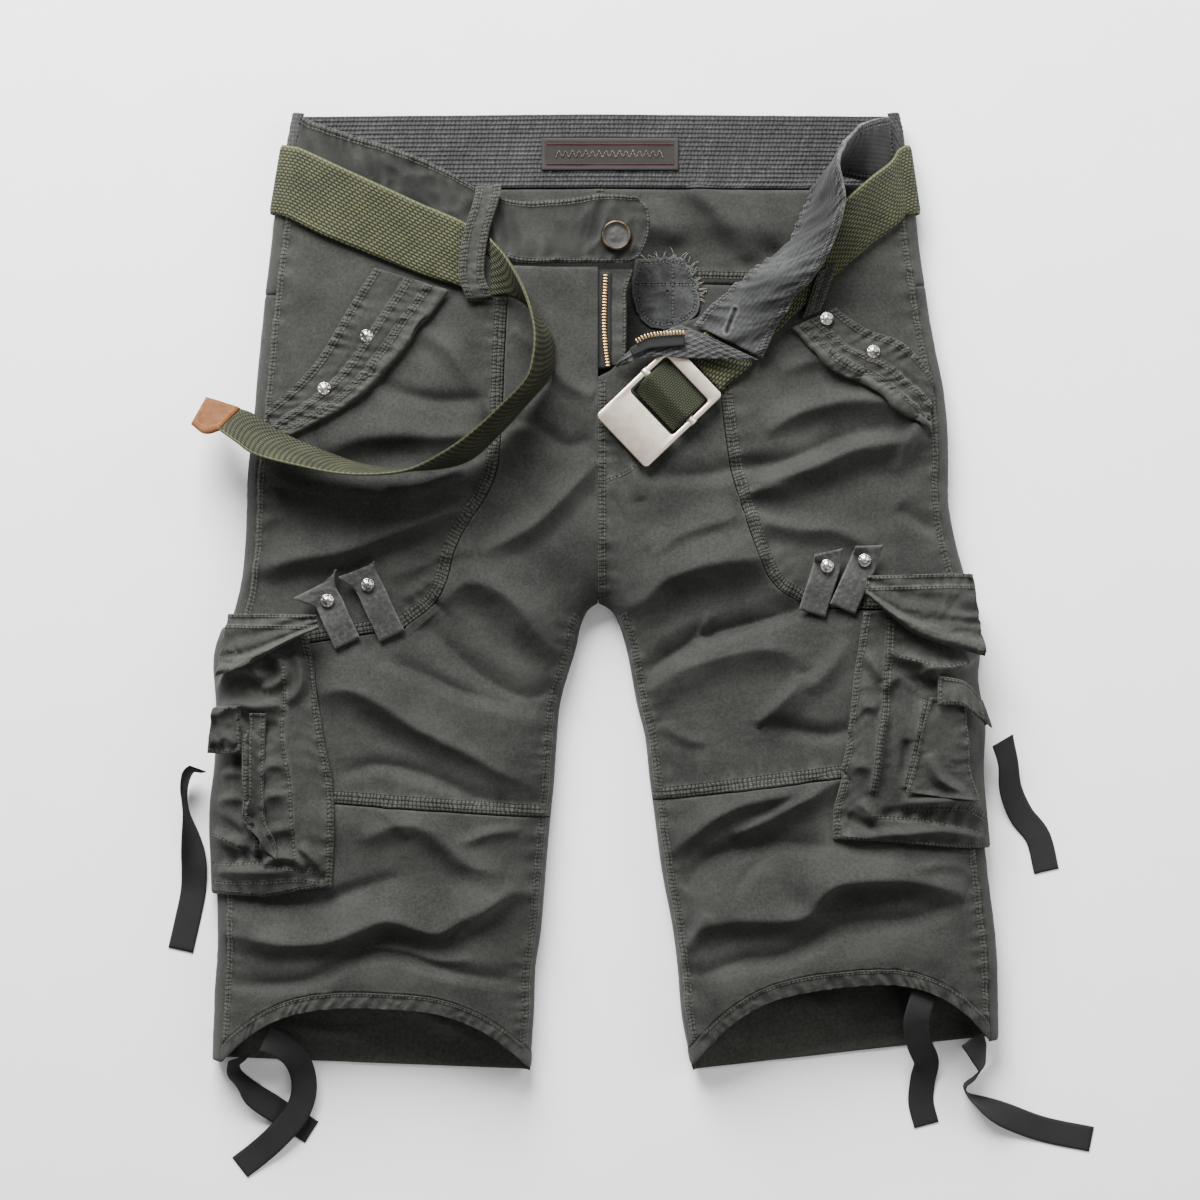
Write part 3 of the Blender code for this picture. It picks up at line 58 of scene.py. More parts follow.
# Thickness of the cloth and of the doubled waistband; gaps between panels, along the centre line,
# and under pieces that lie on others
CLOTH = 1.6
BAND_CLOTH = 2.4
SEAM_GAP = 0.3
CENTRE_GAP = 0.06
LAY_GAP = 1.4

# Garment form: radius of the fold along its sides, how far in from there the front takes to rise
# to its crown, how far in the outseam lies, and how the belt under the waist raises the back
FOLD_RADIUS = 9.0
RIM_REACH = 55.0
OUTSEAM_REACH = 9.0
WAIST_LIFT = 4.8
LIFT_START_Y = 240.0
LIFT_END_Y = 262.0
CROTCH_Y = -8.0
WAIST_BOTTOM_Y = 286.0
WAIST_TOP_Y = 338.0
YOKE_SEAM_Y = 220.0
KNEE_OUTER_Y = {"r": -140.0, "l": -118.0}
KNEE_INNER_Y = {"r": -158.0, "l": -146.0}
KNEE_GAP = 0.7
SHELF_GAP = 0.9
HEM_CASING = 11.0
CASING_GAP = 0.25
HEM_GATHER_DEPTH = 1.1

# Rows and columns of the panels' points, and how much they crowd towards the edges
HIP_ROWS = 13 * ROWS_UP
HIP_COLUMNS = 9 * COLUMNS_UP
SHELF_ROWS = 4 * ROWS_UP
THIGH_ROWS = 6 * ROWS_UP
INSEAM_ROWS = 12 * ROWS_UP
SHIN_ROWS = 9 * ROWS_UP
LEG_COLUMNS = 15 * COLUMNS_UP
YOKE_ROWS = 3 * ROWS_UP
HIP_CROWDING = 0.45
LEG_CROWDING = 0.62
CURVE_STEPS = 8

# Side silhouettes, from the waist or the crotch down to past the hem
OUTER_R = (
    (-206, 385), (-216, 337), (-223, 300), (-229, 262), (-235, 215), (-240, 165), (-244, 120),
    (-248, 85), (-249, 45), (-252, 10), (-259, -18), (-268, -45), (-266, -80), (-267, -120),
    (-271, -155), (-270, -200), (-269, -241), (-271, -280), (-273, -329), (-275, -370),
)
OUTER_L = (
    (204, 385), (213, 337), (218, 310), (224, 268), (230, 225), (237, 180), (245, 140),
    (248, 100), (248, 64), (253, 35), (261, 5), (267, -32), (265, -62), (270, -92),
    (269, -126), (272, -162), (276, -202), (281, -241), (283, -285), (283, -318), (282, -370),
)
INNER_R = (
    (0, -8), (-7, -13), (-12, -24), (-16, -42), (-26, -76), (-29, -105), (-31, -135),
    (-34, -165), (-37, -200), (-40, -238), (-44, -265), (-45, -295), (-47, -325), (-49, -370),
)
INNER_L = (
    (0, -8), (9, -13), (15, -24), (21, -45), (27, -78), (33, -102), (36, -130),
    (40, -160), (45, -198), (52, -234), (56, -265), (59, -300), (66, -335), (72, -370),
)
SIDES = {"r": (OUTER_R, INNER_R, -1.0), "l": (OUTER_L, INNER_L, 1.0)}
EDGE_STEPS = 4
ON_EDGE = 0.02

# Seams across the front panels
FRONT_SEAM = {
    "r": ((-62, 228), (-65, 171), (-68, 105), (-75, 73), (-97, 36), (-110, -3), (-135, -25)),
    "l": ((80, 196), (84, 150), (91, 96), (97, 70), (112, 26), (124, 4), (146, -10)),
}
SEAM_END_Y = {"r": -42.0, "l": -14.0}
WAIST_EDGE = {
    "r": ((-222, 285), (-170, 266), (-115, 246), (-62, 228)),
    "l": ((217, 284), (186, 285), (157, 281), (142, 254), (114, 225), (101, 212), (80, 196)),
}
FLY_EDGE = {
    "r": ((-62, 228), (-30, 227), (0, 227)),
    "l": ((80, 196), (54, 185), (26, 170), (6, 152)),
}
FLY_FOOT_Y = {"r": 227.0, "l": 150.0}

# Front crown over the garment's length: y, height of the front above the surface
CROWN_BY_LENGTH = (
    (385, 30), (300, 34), (200, 38), (80, 40), (0, 40), (-100, 42), (-200, 43), (-290, 45), (-370, 44),
)

# The largest folds: from x, y to x, y, sideways bend, height (negative is a valley), half width
FOLDS = (
    (-238, 20, -95, 62, 6, 7, 16), (-222, 66, -120, 98, 6, -8, 17), (-176, -52, -38, -98, 5, 7, 16),
    (-172, -92, -44, -138, 8, -7, 15), (-112, -4, -30, -66, 4, -7, 15),
    (-235, -160, -70, -178, 9, 6, 17), (-240, -222, -58, -232, -14, -8, 16),
    (-225, -278, -70, -268, 6, 5, 15), (-200, 118, -90, 150, -4, 4, 20),
    (103, 72, 228, 117, 4, 7, 15), (118, 108, 226, 128, 5, -6, 14), (112, 52, 236, 98, 5, -7, 14),
    (10, 4, 116, 38, 4, 7, 16), (44, -14, 172, -16, 10, -8, 16), (32, -74, 148, -36, 6, 7, 16),
    (112, -92, 160, -64, 0, 6, 15), (72, -180, 150, -136, 3, 6, 16), (58, -206, 130, -158, 0, -7, 14),
    (66, -218, 214, -188, 5, 7, 15), (72, -246, 240, -208, 8, -7, 15), (76, -284, 252, -246, 6, 7, 15),
    (14, 60, 76, 96, 0, 5, 18),
)

# Creases of the front, placed by the photograph's pixels: height in millimetres (negative is a
# valley), reach in pixels towards the waist and towards the hem, then the crest's points
PIXEL = 0.70
PIXEL_CENTRE = (598, 592)
CREASES = (
    (5, 40, 18, ((325, 452), (360, 440), (400, 436), (440, 438), (486, 434))),
    (2, 9, 7, ((385, 488), (410, 492), (440, 485), (464, 470))),
    (8, 32, 18, ((240, 574), (275, 566), (305, 558), (340, 553), (375, 541), (410, 528), (445, 514),
                 (474, 506))),
    (3, 18, 12, ((388, 577), (420, 566), (452, 553), (478, 549))),
    (2, 9, 8, ((402, 599), (420, 589), (441, 572))),
    (5.5, 24, 18, ((478, 552), (510, 539), (540, 520), (570, 491), (599, 460))),
    (7, 42, 30, ((440, 604), (468, 582), (500, 591), (521, 610), (541, 637), (562, 652))),
    (-5, 26, 20, ((426, 622), (452, 650), (470, 668), (500, 688), (530, 698), (556, 690))),
    (-2.5, 12, 12, ((378, 659), (420, 672), (460, 690), (500, 702), (534, 713))),
    (8, 46, 26, ((318, 694), (350, 689), (380, 702), (412, 724), (440, 738), (470, 752), (500, 770),
                 (538, 788))),
    (-3, 14, 12, ((340, 775), (380, 764), (430, 776), (480, 798), (520, 806))),
    (2, 7, 8, ((382, 806), (396, 818), (408, 836))),
    (4, 20, 18, ((362, 840), (400, 823), (430, 829), (450, 846), (472, 864), (506, 872))),
    (2.5, 8, 8, ((462, 842), (490, 832), (522, 829))),
    (-3, 12, 18, ((214, 902), (262, 898), (316, 902), (352, 890), (400, 876))),
    (9, 42, 17, ((209, 930), (250, 936), (290, 941), (330, 938), (360, 928), (390, 918), (420, 927),
                 (440, 930), (470, 914), (512, 892), (540, 898))),
    (-4, 15, 10, ((226, 985), (290, 982), (320, 975), (350, 958), (380, 951), (410, 955), (440, 966),
                  (480, 975), (530, 981))),
    (2, 6, 8, ((362, 944), (400, 948), (440, 958), (474, 956))),
    (2.5, 5, 10, ((452, 943), (480, 916), (508, 893))),
    (2.5, 10, 9, ((258, 528), (272, 519), (284, 519), (292, 532))),
    (2.5, 16, 10, ((262, 470), (300, 486), (344, 486), (380, 500))),
    (3, 16, 14, ((420, 330), (450, 352), (478, 392), (494, 420))),
    (-2.5, 12, 14, ((372, 372), (400, 392), (440, 402), (492, 398))),
    (2.5, 14, 12, ((512, 330), (540, 352), (566, 384), (594, 398))),
    (-2.5, 14, 12, ((514, 420), (540, 430), (566, 446), (594, 440))),
    (6, 22, 20, ((766, 434), (790, 418), (815, 409), (850, 402), (885, 403), (914, 414))),
    (-4, 18, 12, ((744, 470), (780, 463), (812, 452), (842, 437), (872, 430), (900, 431), (917, 420))),
    (6, 16, 26, ((742, 486), (780, 479), (812, 468), (850, 452), (880, 446), (900, 440), (918, 421))),
    (4, 12, 14, ((894, 474), (906, 450), (919, 421))),
    (-3, 18, 10, ((898, 508), (925, 526), (957, 541))),
    (4, 18, 17, ((742, 512), (770, 523), (800, 529), (830, 530), (852, 538), (872, 549))),
    (2, 7, 9, ((738, 500), (756, 492), (786, 486))),
    (3, 24, 12, ((650, 556), (676, 538), (700, 528), (738, 516))),
    (8, 34, 30, ((608, 612), (640, 602), (664, 581), (690, 570), (722, 562), (766, 558))),
    (-7, 20, 12, ((637, 694), (655, 668), (680, 650), (700, 637), (724, 631), (762, 621), (806, 607))),
    (3, 5, 9, ((694, 646), (702, 632), (708, 612))),
    (4, 18, 26, ((646, 694), (684, 668), (724, 655), (766, 648), (792, 656), (800, 672))),
    (5.5, 7, 24, ((757, 724), (774, 705), (789, 690), (799, 672))),
    (-3.5, 14, 12, ((758, 724), (790, 728), (822, 734), (852, 729))),
    (3, 14, 16, ((806, 690), (828, 668), (846, 640))),
    (2, 10, 8, ((660, 724), (684, 738), (706, 742))),
    (6.5, 20, 14, ((662, 858), (690, 835), (712, 817), (742, 802), (775, 795), (806, 791))),
    (5.5, 8, 20, ((732, 834), (770, 815), (800, 800), (822, 786), (840, 772))),
    (-3.5, 18, 13, ((686, 890), (704, 862), (730, 850), (772, 842), (824, 846))),
    (10, 36, 22, ((694, 930), (730, 918), (780, 917), (804, 912), (816, 897), (836, 882), (870, 878),
                  (910, 878), (942, 886), (962, 895))),
    (5, 10, 12, ((680, 966), (692, 938), (708, 912))),
    (-4.5, 16, 12, ((686, 980), (740, 961), (780, 955), (812, 939), (842, 925), (872, 921), (904, 919),
                    (942, 907), (960, 897))),
    (-1.8, 9, 9, ((732, 893), (750, 868), (766, 848))),
    (2.5, 12, 9, ((912, 868), (940, 862), (970, 868))),
    (-3, 20, 14, ((640, 470), (690, 476), (742, 468), (796, 461))),
    (2.5, 14, 12, ((612, 430), (630, 462), (640, 500))),
    (2.5, 16, 12, ((780, 372), (820, 360), (860, 372))),
)
FOLD_STEPS = 6

# Casing seam of each front hem: y at its outer and inner end, and how far its middle is drawn up
HEM = {"r": (-317.0, -324.0, 42.0), "l": (-302.0, -322.0, 48.0)}
HEM_BACK = {"r": (-329.0, -338.0), "l": (-315.0, -338.0)}
ARCH_POWER = 3.0
CASING_SHARES = np.linspace(0, 1, 17)
CASING_PADDING = 0.6
GATHER_PITCH = 9.0
GATHER_SLANT = 7

SMALLEST = 1e-9


# ---------------------------------------------------------------- curves

def through(points, spans):
    """Points of a smooth curve through the given ones, with that many steps in each span."""
    given = np.array(points, float)
    ahead = 2 * given[-1] - given[-2]
    behind = 2 * given[0] - given[1]
    padded = np.vstack([behind, given, ahead])
    found = []
    for i in range(len(given) - 1):
        a, b, c, d = padded[i:i + 4]
        for step in range(spans):
            t = step / spans
            found.append(0.5 * (2 * b + (c - a) * t + (2 * a - 5 * b + 4 * c - d) * t ** 2
                                + (3 * b - a - 3 * c + d) * t ** 3))
    found.append(given[-1])
    return np.array(found)


def run_of(points):
    """Distance along a polyline at each of its points."""
    return np.concatenate([[0], np.cumsum(np.linalg.norm(np.diff(points, axis=0), axis=1))])


def at_shares(points, shares):
    """Points at the given shares of a polyline's length."""
    points = np.array(points, float)
    run = run_of(points)
    wanted = np.array(shares) * run[-1]
    return np.stack([np.interp(wanted, run, points[:, k]) for k in range(points.shape[1])], axis=1)


def resample(points, count):
    """count + 1 points spaced evenly along a polyline."""
    return at_shares(points, np.linspace(0, 1, count + 1))


def clustered(count, amount):
    """count + 1 numbers from 0 to 1 that crowd towards both ends by amount."""
    s = np.linspace(0, 1, count + 1)
    return s - amount * np.sin(2 * math.pi * s) / (2 * math.pi)


def smoothstep(t):
    """0 to 1 with level ends."""
    t = np.clip(t, 0, 1)
    return t * t * (3 - 2 * t)


def bell(away, width):
    """1 at zero, falling away smoothly on both sides over about that width."""
    return np.exp(-(away / width) ** 2)


def blend(first, second, share):
    """Points at that share of the way from the first ones to the second."""
    return first * (1 - share) + second * share


def unit(vectors):
    """The vectors at a length of 1."""
    return vectors / np.maximum(np.linalg.norm(vectors, axis=-1, keepdims=True), SMALLEST)


def directions(line):
    """Unit directions along a line at each of its points."""
    return unit(np.gradient(line, axis=0))


def lattice_noise(x, y, size, seed):
    """Smooth noise from -1 to 1 with features of that size."""
    cells = 64
    values = np.random.RandomState(seed).uniform(-1, 1, (cells, cells))
    u, v = np.asarray(x, float) / size, np.asarray(y, float) / size
    i, j = np.floor(u).astype(int), np.floor(v).astype(int)
    p, q = smoothstep(u - i), smoothstep(v - j)
    i, j, right, up = i % cells, j % cells, (i + 1) % cells, (j + 1) % cells
    low = values[j, i] * (1 - p) + values[j, right] * p
    high = values[up, i] * (1 - p) + values[up, right] * p
    return low * (1 - q) + high * q


def crumple(x, y, size, seed):
    """Uneven sharp creases with spaces of that size, from -1 to 1, as in washed cloth."""
    bent_x = x + 0.6 * size * lattice_noise(x, y, 1.7 * size, seed)
    bent_y = y + 0.6 * size * lattice_noise(x, y, 1.7 * size, seed + 1)
    broad = 1 - 2.4 * np.abs(lattice_noise(bent_x, bent_y, size, seed + 2))
    fine = 1 - 2.4 * np.abs(lattice_noise(bent_x, bent_y, 0.55 * size, seed + 3))
    return 0.65 * broad + 0.35 * fine


def near_line(x, y, line):
    """Distance from plan points to a short line in the plan."""
    gaps = [np.hypot(x - px, y - py) for px, py in resample(line, 16)]
    return np.min(gaps, axis=0)


@functools.lru_cache
def fine_edge(table):
    """A side silhouette's smooth line from its lowest y up."""
    return through(table, EDGE_STEPS)[::-1]


def edge_at(table, y):
    """x of a side silhouette at y."""
    fine = fine_edge(table)
    return np.interp(y, fine[:, 1], fine[:, 0])


def inward_of(side, y, reach):
    """Plan point that lies reach inside the outer silhouette, square to it at y."""
    outer, _, sign = SIDES[side]
    step = 2.0
    run = np.array([edge_at(outer, y + step) - edge_at(outer, y - step), 2 * step])
    run /= np.linalg.norm(run)
    normal = np.array([-run[1], run[0]]) if sign > 0 else np.array([run[1], -run[0]])
    return np.array([edge_at(outer, y), y]) + normal * reach


def inner_point(side, y):
    """Plan point on the centre line above the crotch and on the inner silhouette below it."""
    _, inner, sign = SIDES[side]
    if y >= CROTCH_Y:
        return np.array([sign * CENTRE_GAP / 2, y])
    return np.array([edge_at(inner, y), y])


def arch(side, outer_y, inner_y, rise, shares):
    """A hem line between the side silhouettes, its middle drawn up by rise."""
    outer = inward_of(side, outer_y, OUTSEAM_REACH + SEAM_GAP / 2)
    inner = inner_point(side, inner_y)
    share = np.array(shares)[:, None]
    line = blend(outer, inner, share)
    line[:, 1] += rise * (1 - np.abs(2 * share[:, 0] - 1) ** ARCH_POWER)
    return line


# ---------------------------------------------------------------- layers of cloth on a plan raster

RASTER_STEP = 1.0
RASTER_X = np.arange(-300, 301, RASTER_STEP)
RASTER_Y = np.arange(-400, 401, RASTER_STEP)
PLAN_X, PLAN_Y = np.meshgrid(RASTER_X, RASTER_Y)
# Inside mark of points that have no stitched band near
FAR = -20.0
# Doubled cloth along a seam: height of its ridge, and how pale and how wide its rubbed edge is
RIDGE_HEIGHT = 0.6
RUBBED = 0.28
RUBBED_WIDTH = 0.8


def smooth_wave(along, pitch, seed):
    """A wave along a line with uneven steps, from -1 to 1."""
    drift = 0.9 * pitch * lattice_noise(along, 0 * along, 2.3 * pitch, seed)
    return np.sin(2 * math.pi * (along + drift) / pitch)


def sewn_relief(along, across, width, pucker, pitch, seed):
    """Relief and colour that a stitched band gives: a doubled edge and puckers across its rows, with
    painted light and shade on the puckers and a pale rubbed edge.
    """
    wave = smooth_wave(along, pitch, seed)
    wave = wave * (0.65 + 0.5 * lattice_noise(along, across, 3 * pitch, seed + 1))
    rough = lattice_noise(along, across, 0.45 * pitch, seed + 2)
    reach = smoothstep((across + 2) / 4) * np.exp(-np.maximum(across - width, 0) / (0.5 * pitch))
    ridge = smoothstep(across / 1.0 + 0.2) * smoothstep((width - across) / 1.6 + 0.4)
    relief = pucker * (0.95 * wave + 0.5 * rough) * reach + RIDGE_HEIGHT * ridge
    # Painted light on the puckers' crests and painted shade in their troughs; the pale rubbed edge is wear.
    fade = (0.2 * wave + 0.14 * rough) * reach - 0.05 * ridge + RUBBED * bell(across, RUBBED_WIDTH)
    return relief, fade


class Sewing:
    """What sewing does to a grid of cloth: its relief, its wear and painted light and shade, and where its
    bands run.

    The marks hold the distance along the nearest band, across it, and inside it (negative outside).
    """

    def __init__(self, shape):
        self.relief = np.zeros(shape)
        self.fade = np.zeros(shape)
        self.marks = np.zeros((*shape, 3))
        self.marks[..., 2] = FAR

    def mark(self, along, across, room, place=Ellipsis):
        """Keeps the marks of a band wherever it is nearer than the ones before."""
        marks = np.stack(np.broadcast_arrays(along, across, np.maximum(room, FAR)), axis=-1)
        held = self.marks[place]
        self.marks[place] = np.where((marks[..., 2] > held[..., 2])[..., None], marks, held)

    def band(self, along, across, width, pucker, pitch, seed, place=Ellipsis, end=None):
        """Adds a stitched band; end is the distance to the nearer of its two ends."""
        relief, fade = sewn_relief(along, across, width, pucker, pitch, seed)
        room = np.minimum(across, width - across)
        if end is not None:
            inside = smoothstep(end / 3.0)
            relief, fade = relief * inside, fade * inside
            room = np.minimum(room, end)
        self.relief[place] += relief
        self.fade[place] += fade
        self.mark(along, across, room, place)


class Layer:
    """A layer of cloth over the plan: its broad height and its sewing."""

    def __init__(self, seed):
        self.seed = seed
        self.height = np.zeros((len(RASTER_Y), len(RASTER_X)))
        self.sewing = Sewing(self.height.shape)
        self.slopes = None

    def finish(self):
        """Works out the slopes, once every fold is in."""
        self.slopes = np.gradient(self.height, RASTER_STEP)

    def marks_at(self, x, y):
        return np.stack([sample(self.sewing.marks[..., k], x, y) for k in range(3)], axis=-1)


def sample(raster, x, y):
    """Values of a raster at plan points."""
    u = np.clip((np.asarray(x, float) - RASTER_X[0]) / RASTER_STEP, 0, len(RASTER_X) - 1.001)
    v = np.clip((np.asarray(y, float) - RASTER_Y[0]) / RASTER_STEP, 0, len(RASTER_Y) - 1.001)
    i, j = u.astype(int), v.astype(int)
    p, q = u - i, v - j
    low = raster[j, i] * (1 - p) + raster[j, i + 1] * p
    high = raster[j + 1, i] * (1 - p) + raster[j + 1, i + 1] * p
    return low * (1 - q) + high * q


def window(points, margin):
    """The part of the raster round some plan points: its slices, x and y."""
    low, high = np.min(points, axis=0) - margin, np.max(points, axis=0) + margin
    columns = slice(*np.searchsorted(RASTER_X, (low[0], high[0])))
    rows = slice(*np.searchsorted(RASTER_Y, (low[1], high[1])))
    x, y = np.meshgrid(RASTER_X[columns], RASTER_Y[rows])
    return (rows, columns), x, y


def along_line(x, y, line):
    """Distance along a polyline and signed distance from it (positive on its left)."""
    near = np.full(x.shape, np.inf)
    along, away = np.zeros(x.shape), np.zeros(x.shape)
    start = 0.0
    for a, b in zip(line[:-1], line[1:]):
        run = b - a
        length = math.hypot(*run)
        t = np.clip(((x - a[0]) * run[0] + (y - a[1]) * run[1]) / length ** 2, 0, 1)
        gap_x, gap_y = x - a[0] - t * run[0], y - a[1] - t * run[1]
        gap = np.hypot(gap_x, gap_y)
        side = np.where(run[0] * gap_y - run[1] * gap_x < 0, -1.0, 1.0)
        closer = gap < near
        along = np.where(closer, start + t * length, along)
        away = np.where(closer, gap * side, away)
        near = np.minimum(near, gap)
        start += length
    return along, away


def add_fold(layer, x0, y0, x1, y1, bend, rise, half):
    """A ridge or a valley that runs out at both ends."""
    share = np.linspace(0, 1, FOLD_STEPS + 1)
    length = math.hypot(x1 - x0, y1 - y0)
    across = np.array([-(y1 - y0), x1 - x0]) / length
    spine = np.stack([x0 + (x1 - x0) * share, y0 + (y1 - y0) * share], axis=1)
    spine += np.outer(4 * bend * share * (1 - share), across)
    place, x, y = window(spine, 3 * half)
    along, away = along_line(x, y, spine)
    t = along / run_of(spine)[-1]
    layer.height[place] += rise * np.sqrt(np.clip(4 * t * (1 - t), 0, 1)) * bell(away, half)


# A crease's rounded crest, its share of the listed height, and how it falls away to the sides and
# towards its ends
CREST_ROUND = 1.5
CREASE_SHARE = 1.65
CREASE_FALL = 1.7
CREASE_ENDS = 0.42
CREASE_STEPS = 5


def on_plan(pixels):
    """Plan points in millimetres of points in the photograph."""
    return (np.array(pixels, float) - PIXEL_CENTRE) * (PIXEL, -PIXEL)


def add_crease(layer, rise, up, down, pixels):
    """A crisp fold along a line: it falls away over up towards the waist and down to the hem."""
    spine = through(on_plan(pixels), CREASE_STEPS)
    place, x, y = window(spine, max(up, down) * PIXEL + 2)
    along, away = along_line(x, y, spine)
    share = np.clip(along / run_of(spine)[-1], 0, 1)
    reach = np.where(away > 0, up, down) * PIXEL
    rounded = np.sqrt(away ** 2 + CREST_ROUND ** 2) - CREST_ROUND
    fall = np.clip(1 - rounded / reach, 0, 1) ** CREASE_FALL
    layer.height[place] += CREASE_SHARE * rise * fall * (4 * share * (1 - share)) ** CREASE_ENDS


def add_band(layer, line, side, width, pucker, pitch):
    """A stitched band on one side of a seam: side is 1 on the line's left and -1 on its right."""
    place, x, y = window(line, 2.5 * width)
    along, away = along_line(x, y, line)
    end = np.minimum(along, run_of(line)[-1] - along)
    layer.sewing.band(along, away * side, width, pucker, pitch, layer.seed, place, end)
    layer.seed += 3


def silhouette_segments():
    """Starts, ends and inward normals of short segments along all four side silhouettes."""
    starts, ends, inward = [], [], []
    for outer, inner, sign in SIDES.values():
        for table, side in ((outer, -sign), (inner, sign)):
            fine = through(table, EDGE_STEPS)
            run = np.diff(fine, axis=0)
            normal = unit(np.stack([-run[:, 1], run[:, 0]], axis=1))
            normal *= np.sign(normal[:, :1]) * side
            starts.append(fine[:-1])
            ends.append(fine[1:])
            inward.append(normal)
    return np.vstack(starts), np.vstack(ends), np.vstack(inward)


SEG_START, SEG_END, SEG_INWARD = silhouette_segments()
# Points looked up at once, to keep the memory small
CHUNK = 20000
# How far in from the silhouette the small relief reaches its full height
RELIEF_START = 2.5


def nearest_edge(points):
    """Distance from plan points (n, 2) to the nearest side silhouette, and its direction."""
    run = SEG_END - SEG_START
    square = (run ** 2).sum(-1)
    distances, directions = [], []
    for start in range(0, len(points), CHUNK):
        p = points[start:start + CHUNK]
        t = ((p[:, None] - SEG_START) * run).sum(-1) / square
        away = p[:, None] - SEG_START - np.clip(t, 0, 1)[..., None] * run
        far = np.hypot(away[..., 0], away[..., 1])
        pick = far.argmin(-1)
        row = np.arange(len(p))
        distance = far[row, pick]
        direction = away[row, pick] / np.maximum(distance, SMALLEST)[:, None]
        direction = np.where(distance[:, None] > ON_EDGE, direction, SEG_INWARD[pick])
        distances.append(distance)
        directions.append(direction)
    return np.concatenate(distances), np.concatenate(directions)


def lift(y):
    """How far the belt under the waist raises the back."""
    return WAIST_LIFT * smoothstep((np.asarray(y, float) - LIFT_START_Y) / (LIFT_END_Y - LIFT_START_Y))


def on_front(plan, stand=0.0, fine=1.0):
    """Points on the front at plan points, stand above its outer face, and their normals.

    fine is the share of the small relief that the points follow.
    """
    plan = np.asarray(plan, float)
    flat = plan.reshape(-1, 2)
    x, y = flat[:, 0], flat[:, 1]
    distance, direction = nearest_edge(flat)
    s = np.clip(distance / RIM_REACH, 1e-5, 1)
    rise = np.sqrt(1 - (1 - s) ** 2)
    slope = np.where(s < 1, (1 - s) / rise / RIM_REACH, 0)
    fold = FOLD_RADIUS + lift(y)
    height = sample(FRONT.height, x, y)
    tilt_y, tilt_x = (sample(raster, x, y) for raster in FRONT.slopes)
    normal = np.stack([-(height - fold) * slope * direction[:, 0] - rise * tilt_x,
                       -(height - fold) * slope * direction[:, 1] - rise * tilt_y,
                       np.ones_like(rise)], axis=-1)
    normal = unit(normal)
    z = fold + (height - fold) * np.where(distance < ON_EDGE, 0, rise)
    relief = sample(FRONT.sewing.relief, x, y) * fine * smoothstep(distance / RELIEF_START)
    out = (np.broadcast_to(np.asarray(stand, float), plan.shape[:-1]).reshape(-1) + relief)[:, None]
    points = np.concatenate([flat, z[:, None]], axis=1) + normal * out
    return points.reshape(*plan.shape[:-1], 3), normal.reshape(*plan.shape[:-1], 3)


def seen_at(plan, stand, fine=1.0):
    """As on_front, but the raised points are seen from above at the plan points."""
    moved = np.array(plan, float)
    for _ in range(3):
        points, _ = on_front(moved, stand, fine)
        moved -= points[..., :2] - plan
    return on_front(moved, stand, fine)


def base_z(plan):
    """Outer face of the back: height and normal at plan points (n, 2)."""
    distance, direction = nearest_edge(plan)
    s = np.clip(1 - distance / FOLD_RADIUS, 0, 1)
    drop = np.sqrt(np.maximum(1 - s ** 2, 0))
    normal = np.stack([-s * direction[:, 0], -s * direction[:, 1], -drop], axis=-1)
    return lift(plan[:, 1]) + FOLD_RADIUS * (1 - drop), normal


# ---------------------------------------------------------------- the cloth's layers

# Height of the front's ripples and small creases, and share of the listed folds' height
RIPPLE = 0.55
CRUMPLE = 0.4
FOLD_SHARE = 0.6
# Sewing of the front's seams: the band's width, the height of its puckers and their pitch
CURVED_SEWING = (FOUR_ROWS, 0.55, 15.0)
KNEE_SEWING = (FOUR_ROWS, 0.5, 14.0)
INSEAM_SEWING = (THREE_ROWS, 0.6, 13.0)
HEM_SEWING = (TWO_ROWS, 1.0, 14.0)
OUTSEAM_SEWING = (THREE_ROWS, 0.6, 12.0)
CENTRE_SEWING = (THREE_ROWS, 0.6, 14.0)
FLY_SEWING = (TWO_ROWS, 0.4, 12.0)
FLY_STITCHING = ((36, 140), (35, 118), (33, 98), (24, 84), (6, 76))
INSEAM_SET_IN = 3.4
HEM_SET_UP = 0.6


def knee_line(side):
    """The knee seam from west to east."""
    outer = inward_of(side, KNEE_OUTER_Y[side], OUTSEAM_REACH)
    line = resample([outer, inner_point(side, KNEE_INNER_Y[side])], 10)
    return line if side == "r" else line[::-1]


def seam_bands():
    """Line, side, width, pucker height and pucker pitch of each seam in front."""
    bands = []
    for side, (_, inner, sign) in SIDES.items():
        outer_y, inner_y, rise = HEM[side]
        shelf = inward_of(side, SEAM_END_Y[side], OUTSEAM_REACH + 1)
        curved = np.vstack([through(FRONT_SEAM[side], CURVE_STEPS), [shelf]])
        inseam = [(edge_at(inner, y) + sign * INSEAM_SET_IN, y) for y in np.linspace(-16, inner_y + 4, 50)]
        hem = arch(side, outer_y + HEM_SET_UP, inner_y + HEM_SET_UP, rise, np.linspace(0.02, 0.98, 60))
        outseam = [inward_of(side, y, OUTSEAM_REACH) for y in np.linspace(282, outer_y + 2, 90)]
        bands += [(curved, sign, *CURVED_SEWING), (knee_line(side), 1, *KNEE_SEWING),
                  (np.array(inseam), sign, *INSEAM_SEWING), (hem, sign, *HEM_SEWING),
                  (np.array(outseam), -sign, *OUTSEAM_SEWING)]
    centre = np.array([(0.0, y) for y in np.linspace(148, -6, 30)])
    bands.append((centre, 1, *CENTRE_SEWING))
    bands.append((through(FLY_STITCHING, CURVE_STEPS), -1, *FLY_SEWING))
    return bands


